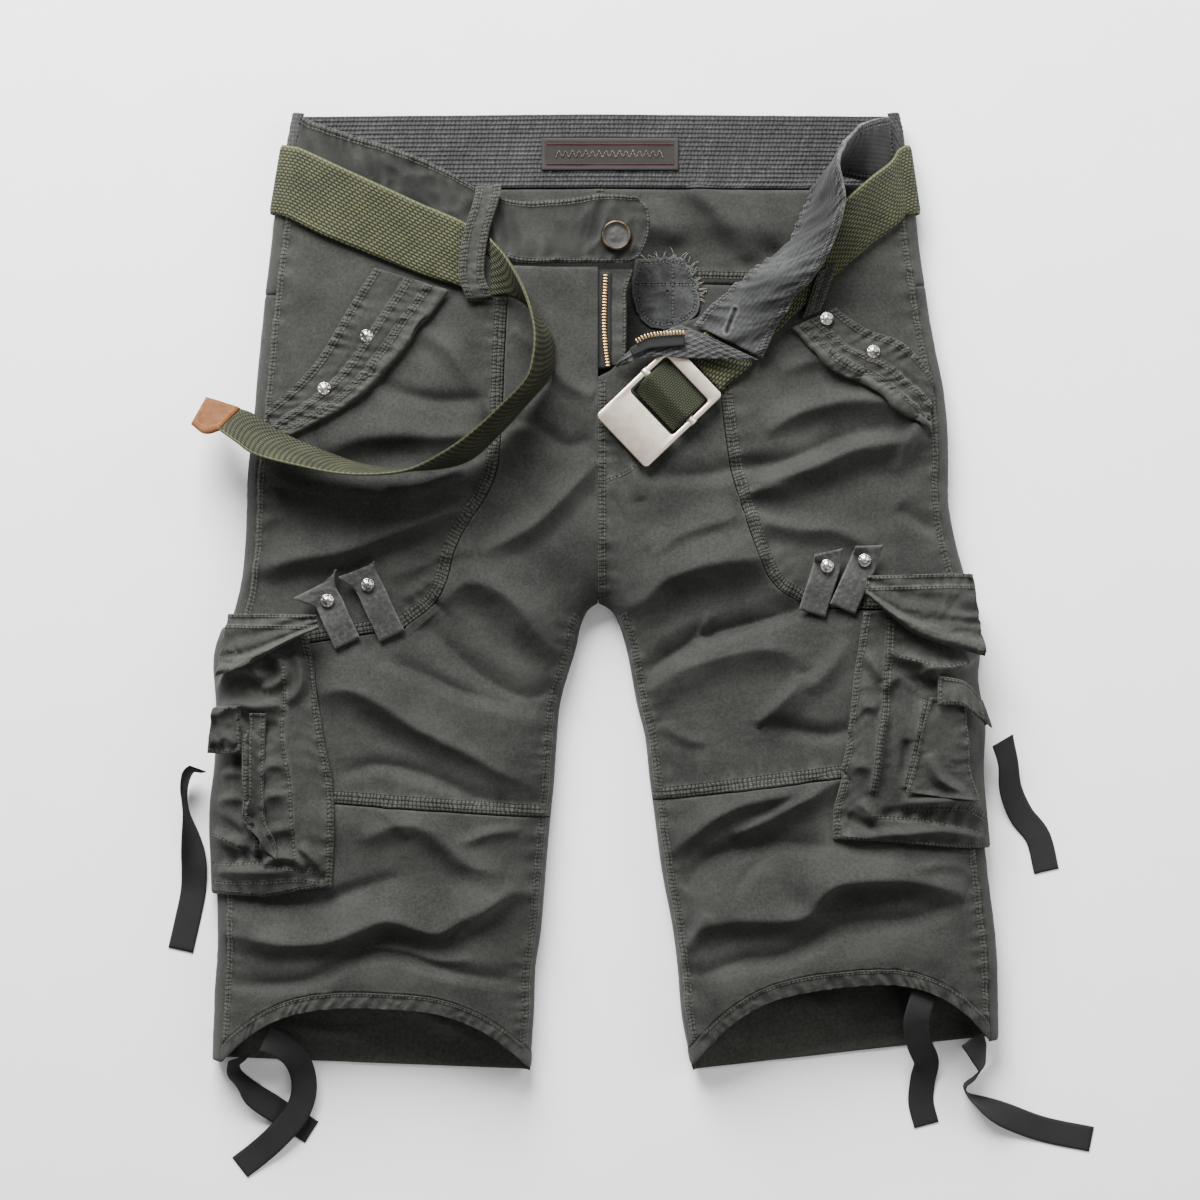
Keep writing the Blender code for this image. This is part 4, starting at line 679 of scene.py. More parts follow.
def make_front():
    """The front's layer: crown, folds, creases, ripples and stitched seams."""
    layer = Layer(11)
    table = np.array(CROWN_BY_LENGTH[::-1], float)
    layer.height += np.interp(RASTER_Y, table[:, 0], table[:, 1])[:, None]
    for x0, y0, x1, y1, bend, rise, half in FOLDS:
        add_fold(layer, x0, y0, x1, y1, bend, rise * FOLD_SHARE, half)
    for crease in CREASES:
        add_crease(layer, *crease)
    x, y = PLAN_X, PLAN_Y
    layer.height += 0.5 * lattice_noise(x, y, 34, 9)
    layer.sewing.relief += RIPPLE * lattice_noise(x + 0.6 * y, y - 0.4 * x, 21, 5)
    layer.sewing.relief += 0.45 * RIPPLE * lattice_noise(x, y, 8, 6)
    layer.sewing.relief += 0.12 * lattice_noise(x, y, 3, 7)
    patches = smoothstep(0.4 + 1.2 * lattice_noise(x, y, 60, 31))
    layer.sewing.relief += CRUMPLE * patches * crumple(x, y, 24, 32)
    for band in seam_bands():
        add_band(layer, *band)
    layer.finish()
    return layer


# Folds of the back's inner face where the waist and the hems let it show, the same columns
BACK_CREASES = (
    (3.5, 16, 9, ((690, 184), (709, 200), (730, 229), (746, 256))),
    (3.0, 14, 9, ((736, 184), (759, 214), (774, 246))),
    (2.4, 12, 8, ((786, 186), (795, 210), (800, 236))),
    (2.6, 14, 8, ((655, 196), (668, 216), (676, 240))),
    (2.8, 12, 10, ((690, 1000), (714, 1024), (736, 1050))),
    (2.4, 12, 10, ((780, 976), (812, 1000), (850, 1040))),
    (2.4, 12, 10, ((880, 980), (900, 1004), (908, 1030))),
    (2.6, 12, 10, ((260, 1020), (300, 1034), (360, 1040))),
    (2.4, 12, 10, ((400, 1010), (440, 1026), (480, 1050))),
)
BACK_FOLDS = (
    (62, 284, 112, 236, 8, 5, 9), (96, 282, 134, 240, -6, -2, 8), (-20, 262, 60, 250, 6, 3, 8),
    (110, 262, 168, 236, -6, 3.5, 9), (-60, 280, -10, 240, 5, 3, 9), (140, 284, 196, 262, 4, 3, 8),
    (-190, -300, -120, -292, 4, 2.5, 9), (-130, -312, -70, -300, 3, 2, 8),
    (90, -296, 170, -286, 4, 2.5, 9), (170, -306, 240, -290, -4, 2.5, 8),
)
# Seams of the back's inner face: their points, width, pucker height and pucker pitch
BACK_SEAMS = (
    (((64, 222), (120, 221), (200, 220)), THREE_ROWS, 0.5, 12.0),
    (((118, 288), (120, 262), (124, 230)), TWO_ROWS, 0.4, 12.0),
    (((-2, 288), (0, 262), (2, 232)), THREE_ROWS, 0.6, 12.0),
)
# Below this y the inner face is painted paler: painted light where it lies in shade inside the hems
PAINTED_LIGHT_HEM_Y = -285


def make_back():
    """The back's layer: a few folds and ripples, all of them upwards from the surface."""
    layer = Layer(61)
    for fold in BACK_FOLDS:
        add_fold(layer, *fold)
    for crease in BACK_CREASES:
        add_crease(layer, *crease)
    layer.height = np.maximum(layer.height, 0) + 0.6 + 0.4 * lattice_noise(PLAN_X, PLAN_Y, 26, 8)
    layer.sewing.relief += 0.5 * (1 + crumple(PLAN_X, PLAN_Y, 26, 88))
    # The inner face near the hems is painted paler, as painted light.
    layer.sewing.fade += 0.35 * smoothstep((PAINTED_LIGHT_HEM_Y - PLAN_Y) / 12)
    for line, width, pucker, pitch in BACK_SEAMS:
        add_band(layer, np.array(line, float), 1, width, pucker, pitch)
    layer.finish()
    return layer


FRONT = make_front()
BACK = make_back()


# ---------------------------------------------------------------- materials

# Places of the colour mix's share, first and second input, and of its result
MIX_INPUTS = (0, 6, 7)
MIX_RESULT = 2
class Shader:
    """A node material built step by step."""

    def __init__(self, name, roughness, metallic=0.0):
        self.material = bpy.data.materials.new(name)
        self.material.use_nodes = True
        self.tree = self.material.node_tree
        self.surface = self.tree.nodes["Principled BSDF"]
        self.surface.inputs["Roughness"].default_value = roughness
        self.surface.inputs["Metallic"].default_value = metallic

    def feed(self, socket, value):
        """Sets a socket to a value or links another node's output to it."""
        if isinstance(value, bpy.types.NodeSocket):
            self.tree.links.new(value, socket)
        else:
            socket.default_value = value

    def node(self, kind, inputs, output=0, **settings):
        """Adds a node; an input is a value or another node's output."""
        made = self.tree.nodes.new(kind)
        for key, value in settings.items():
            setattr(made, key, value)
        for key, value in inputs.items():
            self.feed(made.inputs[key], value)
        return made.outputs[output]

    def math(self, operation, a, b=0.0):
        return self.node("ShaderNodeMath", {0: a, 1: b}, operation=operation)

    def plus(self, a, b):
        return self.math("ADD", a, b)

    def minus(self, a, b):
        return self.math("SUBTRACT", a, b)

    def times(self, a, b):
        return self.math("MULTIPLY", a, b)

    def place(self):
        """The point in millimetres."""
        point = self.node("ShaderNodeTexCoord", {}, output="Object")
        return self.node("ShaderNodeVectorMath", {0: point, "Scale": 1 / MM}, operation="SCALE")

    def noise(self, size, detail=2.0, vector=None):
        """Noise from 0 to 1 with features of that size in millimetres."""
        vector = self.place() if vector is None else vector
        inputs = {"Vector": vector, "Scale": 1 / size, "Detail": detail}
        return self.node("ShaderNodeTexNoise", inputs, output="Fac")

    def attribute(self, name):
        return self.node("ShaderNodeAttribute", {}, output="Fac", attribute_name=name)

    def split(self, vector):
        """The three parts of a vector."""
        made = self.tree.nodes.new("ShaderNodeSeparateXYZ")
        self.tree.links.new(vector, made.inputs[0])
        return made.outputs

    def cell(self, value):
        """0 in the middle of each whole step of a value and 1 at its ends."""
        centred = self.minus(self.math("FRACT", value), 0.5)
        return self.times(self.math("ABSOLUTE", centred), 2.0)

    def mix(self, share, first, second):
        """A colour between two; each is three numbers or another node's output."""
        made = self.tree.nodes.new("ShaderNodeMix")
        made.data_type = "RGBA"
        for place, value in zip(MIX_INPUTS, (share, first, second)):
            self.feed(made.inputs[place], (*value, 1.0) if isinstance(value, tuple) else value)
        return made.outputs[MIX_RESULT]

    def ramp(self, value, low, high, to_low=0.0, to_high=1.0):
        """The value's range from low to high, stretched to another one and cut off at its ends."""
        inputs = {"Value": value, "From Min": low, "From Max": high, "To Min": to_low, "To Max": to_high}
        return self.node("ShaderNodeMapRange", inputs)

    def bump(self, height, distance, strength=1.0):
        """Sets the surface's bump from a height of 0 to 1 that stands for distance millimetres."""
        inputs = {"Height": height, "Distance": distance * MM, "Strength": strength}
        self.tree.links.new(self.node("ShaderNodeBump", inputs, output="Normal"),
                            self.surface.inputs["Normal"])

    def colour(self, value):
        self.tree.links.new(value, self.surface.inputs["Base Color"])


STITCH_PITCH = 2.8
# Quilted cloth counts as only partly inside a band, which keeps its rows faint
QUILT_ROOM = 0.33


def stitched(shader):
    """Where the marks put thread, puckers between rows, rows of stitches, and bands at all."""
    marks = shader.node("ShaderNodeAttribute", {}, output="Vector", attribute_name="marks")
    along, across, room = shader.split(marks)
    uneven = shader.times(shader.noise(8.0, 1.0), 1.8)
    stitch = shader.cell(shader.plus(shader.times(along, 1 / STITCH_PITCH), uneven))
    row = shader.cell(shader.times(across, 1 / ROW_PITCH))
    inside = shader.ramp(room, 0.05, 0.6)
    on_row = shader.times(shader.ramp(row, 0.5, 0.2), inside)
    thread = shader.times(on_row, shader.ramp(stitch, 0.8, 0.6))
    hump = shader.minus(1.0, shader.times(stitch, stitch))
    pucker = shader.times(shader.times(hump, shader.ramp(row, 0.2, 0.9)), inside)
    return thread, pucker, on_row, inside


# How far the attribute's full value goes to the pale colour of wear and painted highlights, and the share
# of the dark colour used for painted shade in creases and seam grooves
WORN_AND_LIT_SHARE = 0.8
PAINTED_SHADE_SHARE = 0.4


def cotton(name, dark, light, worn_and_lit_colour, sheen=0.05, thread=(0.047, 0.0465, 0.037)):
    """Washed cotton: mottled, twilled, stitched, pale where its attribute is positive, for wear and painted
    highlights, and darker where it is negative, for painted shade.
    """
    shader = Shader(name, 0.9)
    shader.surface.inputs["Sheen Weight"].default_value = sheen
    shader.surface.inputs["Sheen Roughness"].default_value = 0.5
    shader.surface.inputs["Specular IOR Level"].default_value = 0.22
    grain = shader.noise(0.55, 1.0)
    speck = shader.noise(2.4, 3.0)
    cloud = shader.noise(38.0, 2.0)
    twill = shader.node("ShaderNodeTexWave", {"Vector": shader.place(), "Scale": 0.55, "Distortion": 1.2,
                                              "Detail Scale": 0.8}, output="Fac",
                        bands_direction="DIAGONAL")
    stitches, pucker, on_row, inside = stitched(shader)
    tone = shader.plus(shader.times(cloud, 0.32), shader.times(speck, 0.24))
    tone = shader.plus(tone, shader.times(grain, 0.44))
    base = shader.mix(shader.ramp(tone, 0.40, 0.60), dark, light)
    # Puckers between stitch rows are painted paler, partly wear and partly a painted highlight on their
    # crests; the seam band and its rows are painted darker, painted shade in the seam's grooves.
    seam_wear_and_shade = shader.times(pucker, shader.ramp(speck, 0.35, 0.65, 0.4, 1.15))
    seam_wear_and_shade = shader.minus(seam_wear_and_shade, shader.times(inside, 0.42))
    seam_wear_and_shade = shader.minus(seam_wear_and_shade, shader.times(on_row, 0.45))
    # The attribute's pale part stands for wear and painted highlights; its negative values go towards the
    # dark colour as painted shade.
    worn_and_lit = shader.times(shader.attribute("fade"), shader.ramp(speck, 0.3, 0.7, 0.55, 1.25))
    fade = shader.plus(worn_and_lit, seam_wear_and_shade)
    pale = shader.mix(shader.ramp(fade, 0.0, 1.0, 0.0, WORN_AND_LIT_SHARE), base, worn_and_lit_colour)
    painted_shade = tuple(PAINTED_SHADE_SHARE * channel for channel in dark)
    shaded = shader.mix(shader.ramp(fade, 0.0, -0.5, 0.0, 0.85), pale, painted_shade)
    shader.colour(shader.mix(stitches, shaded, thread))
    weave = shader.plus(shader.times(grain, 0.09), shader.times(twill, 0.04))
    relief = shader.plus(shader.times(pucker, 0.8), shader.times(stitches, 0.4))
    relief = shader.minus(relief, shader.times(on_row, 0.4))
    shader.bump(shader.plus(weave, relief), 1.0, 0.8)
    return shader.material


def webbing(name, low, high, along, across, depth):
    """Coarse webbing in staggered cells of along by across millimetres, from its UV map."""
    shader = Shader(name, 0.85)
    shader.surface.inputs["Specular IOR Level"].default_value = 0.3
    right, up, _ = shader.split(shader.node("ShaderNodeUVMap", {}, uv_map="weave"))
    u = shader.times(right, 1 / MM / along)
    v = shader.times(up, 1 / MM / across)
    stagger = shader.times(shader.math("FLOOR", v), 0.5)
    cell_u = shader.math("FRACT", shader.plus(u, stagger))
    cell_v = shader.math("FRACT", v)
    hump_u = shader.math("SINE", shader.times(cell_u, math.pi))
    hump_v = shader.math("SINE", shader.times(cell_v, math.pi))
    hump = shader.math("POWER", shader.times(hump_u, hump_v), 0.6)
    fibre = shader.noise(0.45, 1.0)
    cloud = shader.noise(14.0, 2.0)
    tone = shader.times(hump, shader.ramp(fibre, 0.25, 0.75, 0.65, 1.1))
    tone = shader.times(tone, shader.ramp(cloud, 0.3, 0.7, 0.8, 1.1))
    tone = shader.plus(tone, shader.attribute("fade"))
    shader.colour(shader.mix(shader.ramp(tone, 0.15, 1.0), low, high))
    shader.bump(shader.plus(hump, shader.times(fibre, 0.15)), depth)
    return shader.material


def metal(name, dark, light, rough, grain=0.8, relief=0.02, metallic=1.0):
    """Metal with a fine grain and soft blotches."""
    shader = Shader(name, rough, metallic)
    blotch = shader.noise(6.0, 3.0)
    shader.colour(shader.mix(shader.ramp(blotch, 0.3, 0.7), dark, light))
    shader.bump(shader.noise(grain, 2.0), relief, 0.6)
    return shader.material


def make_materials():
    """All finishes by name."""
    return {
        "cotton": cotton("washed_cotton", (0.0125, 0.0129, 0.0115), (0.0335, 0.034, 0.0305),
                         (0.095, 0.095, 0.081)),
        "inside": cotton("cotton_inside", (0.0165, 0.0168, 0.0168), (0.041, 0.042, 0.042),
                         (0.115, 0.117, 0.115), thread=(0.058, 0.059, 0.056)),
        "felt": cotton("grey_felt", (0.018, 0.018, 0.0175), (0.052, 0.052, 0.050), (0.11, 0.11, 0.105),
                       sheen=0.12),
        "webbing": webbing("olive_webbing", (0.002, 0.0025, 0.0012), (0.082, 0.086, 0.040), 4.0, 2.2, 0.6),
        "dark_webbing": webbing("olive_bight", (0.004, 0.005, 0.002), (0.030, 0.034, 0.014), 2.2, 1.6, 0.4),
        "tape": webbing("dark_tape", (0.007, 0.0071, 0.0072), (0.017, 0.0173, 0.0175), 0.9, 0.9, 0.12),
        "label": webbing("label_cloth", (0.009, 0.0078, 0.0072), (0.030, 0.026, 0.024), 0.8, 0.8, 0.1),
        "red_thread": cotton("red_thread", (0.07, 0.012, 0.012), (0.12, 0.025, 0.025), (0.2, 0.06, 0.06)),
        "pale_thread": cotton("pale_thread", (0.12, 0.11, 0.09), (0.24, 0.22, 0.18), (0.35, 0.33, 0.29)),
        "gold_thread": cotton("gold_thread", (0.08, 0.07, 0.045), (0.16, 0.14, 0.09), (0.2, 0.18, 0.12)),
        "orange_thread": cotton("orange_thread", (0.30, 0.09, 0.02), (0.42, 0.15, 0.04), (0.5, 0.22, 0.07)),
        "leather": leather(),
        "nickel": metal("satin_nickel", (0.70, 0.61, 0.50), (0.86, 0.76, 0.63), 0.42, 0.5, 0.012),
        "silver": metal("rivet_silver", (0.10, 0.09, 0.085), (0.85, 0.82, 0.79), 0.28, 0.9, 0.14),
        "dark_metal": metal("button_metal", (0.005, 0.005, 0.005), (0.016, 0.015, 0.014), 0.7, 1.6, 0.2,
                            metallic=0.0),
        "old_brass": metal("button_rim", (0.02, 0.017, 0.012), (0.15, 0.11, 0.06), 0.5, 5.0, 0.06),
        "brass": metal("zip_brass", (0.42, 0.27, 0.11), (0.72, 0.52, 0.28), 0.32, 0.8, 0.05),
    }


def leather():
    """Tan leather with a fine grain and soft blotches, paler where its attribute says so."""
    shader = Shader("tip_leather", 0.68)
    shader.surface.inputs["Specular IOR Level"].default_value = 0.25
    grain = shader.node("ShaderNodeTexVoronoi", {"Vector": shader.place(), "Scale": 1.3}, output="Distance")
    cloud = shader.noise(7.0, 3.0)
    base = shader.mix(shader.ramp(cloud, 0.3, 0.7), (0.075, 0.025, 0.004), (0.13, 0.048, 0.011))
    shader.colour(shader.mix(shader.attribute("fade"), base, (0.36, 0.20, 0.11)))
    shader.bump(grain, 0.12, 0.6)
    return shader.material


FINISH = make_materials()


# ---------------------------------------------------------------- meshes

def mesh_object(name, points, quads, finish, fade=None, weave=None, marks=None):
    """An object from points in millimetres and faces of one size, given as an array."""
    mesh = bpy.data.meshes.new(name)
    sides = quads.shape[1]
    mesh.vertices.add(len(points))
    mesh.vertices.foreach_set("co", (np.asarray(points, float) * MM).ravel())
    mesh.loops.add(quads.size)
    mesh.loops.foreach_set("vertex_index", quads.ravel().astype(np.int32))
    mesh.polygons.add(len(quads))
    mesh.polygons.foreach_set("loop_start", np.arange(0, quads.size, sides, dtype=np.int32))
    mesh.polygons.foreach_set("use_smooth", np.ones(len(quads), bool))
    values = np.zeros(len(points)) if fade is None else fade
    mesh.attributes.new("fade", "FLOAT", "POINT").data.foreach_set("value", values.astype(np.float32))
    if marks is not None:
        stored = mesh.attributes.new("marks", "FLOAT_VECTOR", "POINT")
        stored.data.foreach_set("vector", marks.ravel().astype(np.float32))
    if weave is not None:
        corners = (np.asarray(weave) * MM)[quads.ravel()]
        mesh.uv_layers.new(name="weave").data.foreach_set("uv", corners.ravel().astype(np.float32))
    mesh.update(calc_edges=True)
    mesh.validate()
    mesh.materials.append(FINISH[finish])
    made = bpy.data.objects.new(name, mesh)
    bpy.context.collection.objects.link(made)
    return made


def outward(points, faces):
    """The faces of a closed piece, turned over if they look into it."""
    a, b, c = (points[faces[:, k]] for k in range(3))
    volume = np.einsum("ij,ij->i", a, np.cross(b, c)).sum()
    if faces.shape[1] == 4:
        volume += np.einsum("ij,ij->i", a, np.cross(c, points[faces[:, 3]])).sum()
    return faces[:, ::-1] if volume < 0 else faces


def looped_piece(name, points, finish):
    """A closed piece from a grid of points that runs round on itself both ways."""
    index = np.arange(points.shape[0] * points.shape[1]).reshape(points.shape[:2])
    right, up = np.roll(index, -1, axis=1), np.roll(index, -1, axis=0)
    both = np.roll(up, -1, axis=1)
    quads = np.stack([index.ravel(), right.ravel(), both.ravel(), up.ravel()], axis=1)
    flat = points.reshape(-1, 3)
    return mesh_object(name, flat, outward(flat, quads), finish)


def repeated(name, blocks, faces, finish):
    """One object of many blocks of points that the same faces close."""
    every = np.array(faces)[None] + blocks.shape[1] * np.arange(len(blocks))[:, None, None]
    points, every = blocks.reshape(-1, 3), every.reshape(-1, 3)
    return mesh_object(name, points, outward(points, every), finish)


def closed_sheet(name, outer, inner, finish, fade=None, weave=None, marks=None):
    """A closed sheet of cloth between two grids of the same shape."""
    rows, columns = outer.shape[:2]
    half = rows * columns
    index = np.arange(half).reshape(rows, columns)
    a, b, c, d = (part.ravel() for part in (index[:-1, :-1], index[:-1, 1:], index[1:, 1:], index[1:, :-1]))
    ring = np.concatenate([index[0, :-1], index[:-1, -1], index[-1, :0:-1], index[:0:-1, 0]])
    after = np.roll(ring, -1)
    quads = np.concatenate([
        np.stack([a, b, c, d], axis=1),
        np.stack([a, d, c, b], axis=1) + half,
        np.stack([after, ring, ring + half, after + half], axis=1),
    ])
    points = np.concatenate([outer.reshape(-1, 3), inner.reshape(-1, 3)])
    both = None if fade is None else np.concatenate([fade.ravel(), fade.ravel()])
    plane = None if weave is None else np.concatenate([weave.reshape(-1, 2)] * 2)
    bands = None if marks is None else np.concatenate([marks.reshape(-1, 3)] * 2)
    return mesh_object(name, points, outward(points, quads), finish, both, plane, bands)


def belongs(piece, nodes=()):
    """The piece moves with the garment and stands for those solids, which are hidden."""
    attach(piece, "root")
    if nodes:
        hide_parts(*nodes)
    return piece


def run_lengths(points, axis):
    """Distance along a grid of points from its first line, in the direction of axis."""
    step = np.linalg.norm(np.diff(points, axis=axis), axis=-1)
    pad = [(0, 0), (0, 0)]
    pad[axis] = (1, 0)
    return np.cumsum(np.pad(step, pad), axis=axis)


# Over EDGE_ROUND towards its edges cloth thins to EDGE_LEFT of its thickness
EDGE_ROUND = 1.1
EDGE_LEFT = 0.3


def edge_share(points):
    """Share of the cloth's thickness over a grid: less at its edges, so that they look turned."""
    share = 1.0
    for axis in (0, 1):
        run = run_lengths(points, axis)
        near = np.minimum(run, np.take(run, [-1], axis=axis) - run)
        share = np.minimum(share, np.clip(near / EDGE_ROUND, 0, 1))
    return EDGE_LEFT + (1 - EDGE_LEFT) * np.sqrt(1 - (1 - share) ** 2)


def grid_normals(points):
    """Unit normals of a grid of points."""
    return unit(np.cross(np.gradient(points, axis=1), np.gradient(points, axis=0)))


def cloth(name, points, normals, thickness, finish, sewing=None, weave=None):
    """A sheet on a grid of points of its inner face; its inside has half its sewing's relief."""
    relief = 0.0 if sewing is None else sewing.relief[..., None]
    fade, marks = (None, None) if sewing is None else (sewing.fade, sewing.marks)
    share = (edge_share(points) * thickness)[..., None]
    middle = points + normals * (thickness / 2)
    outer = middle + normals * (relief + share / 2)
    inner = middle + normals * (0.5 * relief - share / 2)
    return closed_sheet(name, outer, inner, finish, fade, weave, marks)


def bordered(points, borders, pucker, pitch, seed):
    """Stitched bands along a grid's borders; each border is a name and the band's width."""
    down, right = run_lengths(points, 0), run_lengths(points, 1)
    places = {"first": (right, down), "last": (right, down[-1:] - down),
              "left": (down, right), "right": (down, right[:, -1:] - right)}
    sewing = Sewing(down.shape)
    for k, (border, width) in enumerate(borders):
        along, across = places[border]
        sewing.band(along, across, width, pucker, pitch, seed + 3 * k)
    return sewing


def quilted(along, across, spacing, pucker, pitch, seed):
    """Many parallel rows of stitches over a whole grid, spacing apart."""
    sewing = Sewing(along.shape)
    wave = smooth_wave(along, pitch, seed) + 0.7 * lattice_noise(along, 0.4 * across, pitch, seed + 1)
    wave += 0.5 * lattice_noise(along, across, 2.6 * pitch, seed + 2)
    groove = bell(np.mod(across, spacing) - spacing / 2, 0.22 * spacing)
    sewing.relief += pucker * wave - 0.4 * groove
    # The colour follows the puckers: painted light on their crests and painted shade in their troughs, and
    # painted shade in the stitched grooves.
    sewing.fade += 0.1 * wave + 0.1 - 0.55 * groove
    sewing.mark(along, across * ROW_PITCH / spacing, QUILT_ROOM)
    return sewing


def sewn_sheet(name, points, normals, sewing, thickness=CLOTH, finish="cotton"):
    """A sheet of the garment's cloth that stands for the solid of that name."""
    piece = cloth(name + "_cloth", points, normals, thickness, finish, sewing)
    belongs(piece, (name,))


# ---------------------------------------------------------------- panels

def between(top, bottom, left, right, across):
    """Plan grid between four edges whose corners meet; across gives each column's share."""
    u = np.array(across)[None, :, None]
    v = np.linspace(0, 1, len(left))[:, None, None]
    top, bottom, left, right = (np.array(edge, float) for edge in (top, bottom, left, right))
    return ((1 - v) * top[None] + v * bottom[None] + (1 - u) * left[:, None] + u * right[:, None]
            - (1 - u) * ((1 - v) * left[0] + v * left[-1])
            - u * ((1 - v) * right[0] + v * right[-1]))


def hip_rows(side):
    """y of the rows from the waistband's seam down to the curved seam's end."""
    return np.linspace(WAIST_BOTTOM_Y - 1, SEAM_END_Y[side], HIP_ROWS + 1)


def thigh_rows(side):
    """y of the rows from the curved seam's end down to the knee seam."""
    return np.linspace(SEAM_END_Y[side] - SHELF_GAP, KNEE_OUTER_Y[side], THIGH_ROWS + 1)


def shin_rows(side):
    """y of the rows from the knee seam down to the hem's casing."""
    return np.linspace(KNEE_OUTER_Y[side] - KNEE_GAP, HEM[side][0], SHIN_ROWS + 1)


def outseam_edge(side, y_values):
    """The front's edge along the outseam."""
    return np.array([inward_of(side, y, OUTSEAM_REACH + SEAM_GAP / 2) for y in y_values])


def front_seam(side):
    """The curved seam that splits the front, in even steps."""
    return resample(through(FRONT_SEAM[side], CURVE_STEPS), HIP_ROWS)


def front_panel(name, plan):
    """A panel of the front on its plan grid."""
    points, normals = on_front(plan, -CLOTH)
    sewing = Sewing(plan.shape[:2])
    sewing.fade = sample(FRONT.sewing.fade, plan[..., 0], plan[..., 1])
    sewing.marks = FRONT.marks_at(plan[..., 0], plan[..., 1])
    sewn_sheet(name, points, normals, sewing)


def front_hip(side):
    """Outer part of the front above the curved seam, with the slant pocket."""
    sign = SIDES[side][2]
    shares = clustered(HIP_COLUMNS, HIP_CROWDING)
    seam = front_seam(side) + [sign * SEAM_GAP, 0]
    left = outseam_edge(side, hip_rows(side))
    waist = np.vstack([left[:1], through(WAIST_EDGE[side], CURVE_STEPS)[1:-1], seam[:1]]) - [0, SEAM_GAP]
    foot = np.vstack([left[-1:], seam[-1:]])
    left[0], seam[0] = waist[0], waist[-1]
    front_panel("front_hip_" + side,
                between(at_shares(waist, shares), at_shares(foot, shares), left, seam, shares))


def front_thigh(side):
    """The inner front strip beside the fly and the thigh down to the knee seam."""
    sign = SIDES[side][2]
    shares = clustered(LEG_COLUMNS, LEG_CROWDING)
    seam = front_seam(side) - [sign * SEAM_GAP, 0]
    corner = inward_of(side, SEAM_END_Y[side], OUTSEAM_REACH + SEAM_GAP / 2)
    shelf = resample(np.vstack([seam[-1] - [0, SHELF_GAP], corner - [0, SHELF_GAP]]), SHELF_ROWS)
    outer = np.vstack([seam[:-1], shelf[:-1], outseam_edge(side, thigh_rows(side))])
    fly_rows = len(outer) - 1 - INSEAM_ROWS
    centre = [inner_point(side, y) for y in np.linspace(FLY_FOOT_Y[side], CROTCH_Y, fly_rows + 1)]
    inseam = [inner_point(side, y) for y in np.linspace(CROTCH_Y, KNEE_INNER_Y[side], INSEAM_ROWS + 1)[1:]]
    inner = np.array(centre + inseam)
    fly = through(FLY_EDGE[side], CURVE_STEPS)
    fly[0], fly[-1] = outer[0], inner[0]
    knee = np.vstack([outer[-1:], inner[-1:]])
    front_panel("front_thigh_" + side,
                between(at_shares(fly, shares), at_shares(knee, shares), outer, inner, shares))


def front_shin(side):
    """The front below the knee seam, down to the casing of the drawstring."""
    outer_y, inner_y, rise = HEM[side]
    shares = clustered(LEG_COLUMNS, LEG_CROWDING)
    outer = outseam_edge(side, shin_rows(side))
    inner = np.array([inner_point(side, y)
                      for y in np.linspace(KNEE_INNER_Y[side] - KNEE_GAP, inner_y, SHIN_ROWS + 1)])
    knee = at_shares(np.vstack([outer[:1], inner[:1]]), shares)
    front_panel("front_shin_" + side,
                between(knee, arch(side, outer_y, inner_y, rise, shares), outer, inner, shares))


def hem_casing(side):
    """The gathered casing of the drawstring along the front hem."""
    outer_y, inner_y, rise = HEM[side]
    shares = clustered(3 * LEG_COLUMNS, 0.4)
    drops = CASING_GAP + HEM_CASING * CASING_SHARES
    plan = np.array([arch(side, outer_y - drop, inner_y - drop, rise, shares) for drop in drops])
    points, normals = on_front(plan, -CLOTH / 2)
    along = run_lengths(plan, 1)
    level = along / along[:, -1:]
    across = CASING_SHARES[:, None]
    sewing = bordered(points, (("first", TWO_ROWS),), 0.0, 12.0, 71)
    slanted = along + GATHER_SLANT * across + 4 * lattice_noise(along, 0 * across, 40, 74)
    wave = 0.7 * smooth_wave(slanted, GATHER_PITCH, 71)
    wave *= 0.6 + 0.6 * lattice_noise(along, across, 45, 72)
    wave += 0.8 * crumple(slanted, GATHER_PITCH * across, GATHER_PITCH, 73)
    ends = np.sqrt(np.clip(np.sin(math.pi * level), 0, 1))
    gather = HEM_GATHER_DEPTH * wave * (0.3 + 0.7 * across) * ends
    puff = CASING_PADDING * np.sin(math.pi * across) ** 0.5
    outer = points + normals * (gather + CLOTH / 2 + puff)[..., None]
    inner = points + normals * (gather - CLOTH / 2 - 0.6 * puff)[..., None]
    # The colour follows the gathers, painted light on their crests and painted shade in their troughs; it
    # is paler along the lower edge, and painted shade darkens the groove under the stitched top.
    fade = 0.16 * wave + 0.2 * (across > 0.9) * (1 + wave) - 0.5 * bell(across - 0.12, 0.09)
    piece = closed_sheet("hem_casing_" + side + "_cloth", outer, inner, "cotton", fade, None, sewing.marks)
    belongs(piece, ("hem_casing_" + side,))


FOLD_STEPS_ROUND = 8
BACK_COLUMNS = 38
BAND_COLUMNS = 74
HEM_ROWS = 6
RIM_REACHES = (1.3, 2.8, 4.4, 6.0, 7.5, OUTSEAM_REACH - SEAM_GAP / 2)
WRAP_RIPPLE = 0.5
# A face points this much down, or up, before it counts as the flat back, or as the rim
FLAT_FACING = 0.75
RIM_FACING = 0.3


def fold_places(side, y, angles):
    """Points and outward normals round the outer fold, on its outer face."""
    edge = inward_of(side, y, 0.0)
    out = edge - inward_of(side, y, 1.0)
    plan = edge[None] - out[None] * (FOLD_RADIUS * (1 - np.sin(angles)))[:, None]
    height = lift(y) + FOLD_RADIUS * (1 - np.cos(angles))
    normal = np.concatenate([np.sin(angles)[:, None] * out, -np.cos(angles)[:, None]], axis=1)
    return np.concatenate([plan, height[:, None]], axis=1), normal


def flat_share(normals):
    """1 where the back lies flat and 0 from where its folds turn up."""
    return smoothstep((-normals[..., 2] - FLAT_FACING) / (1 - FLAT_FACING))


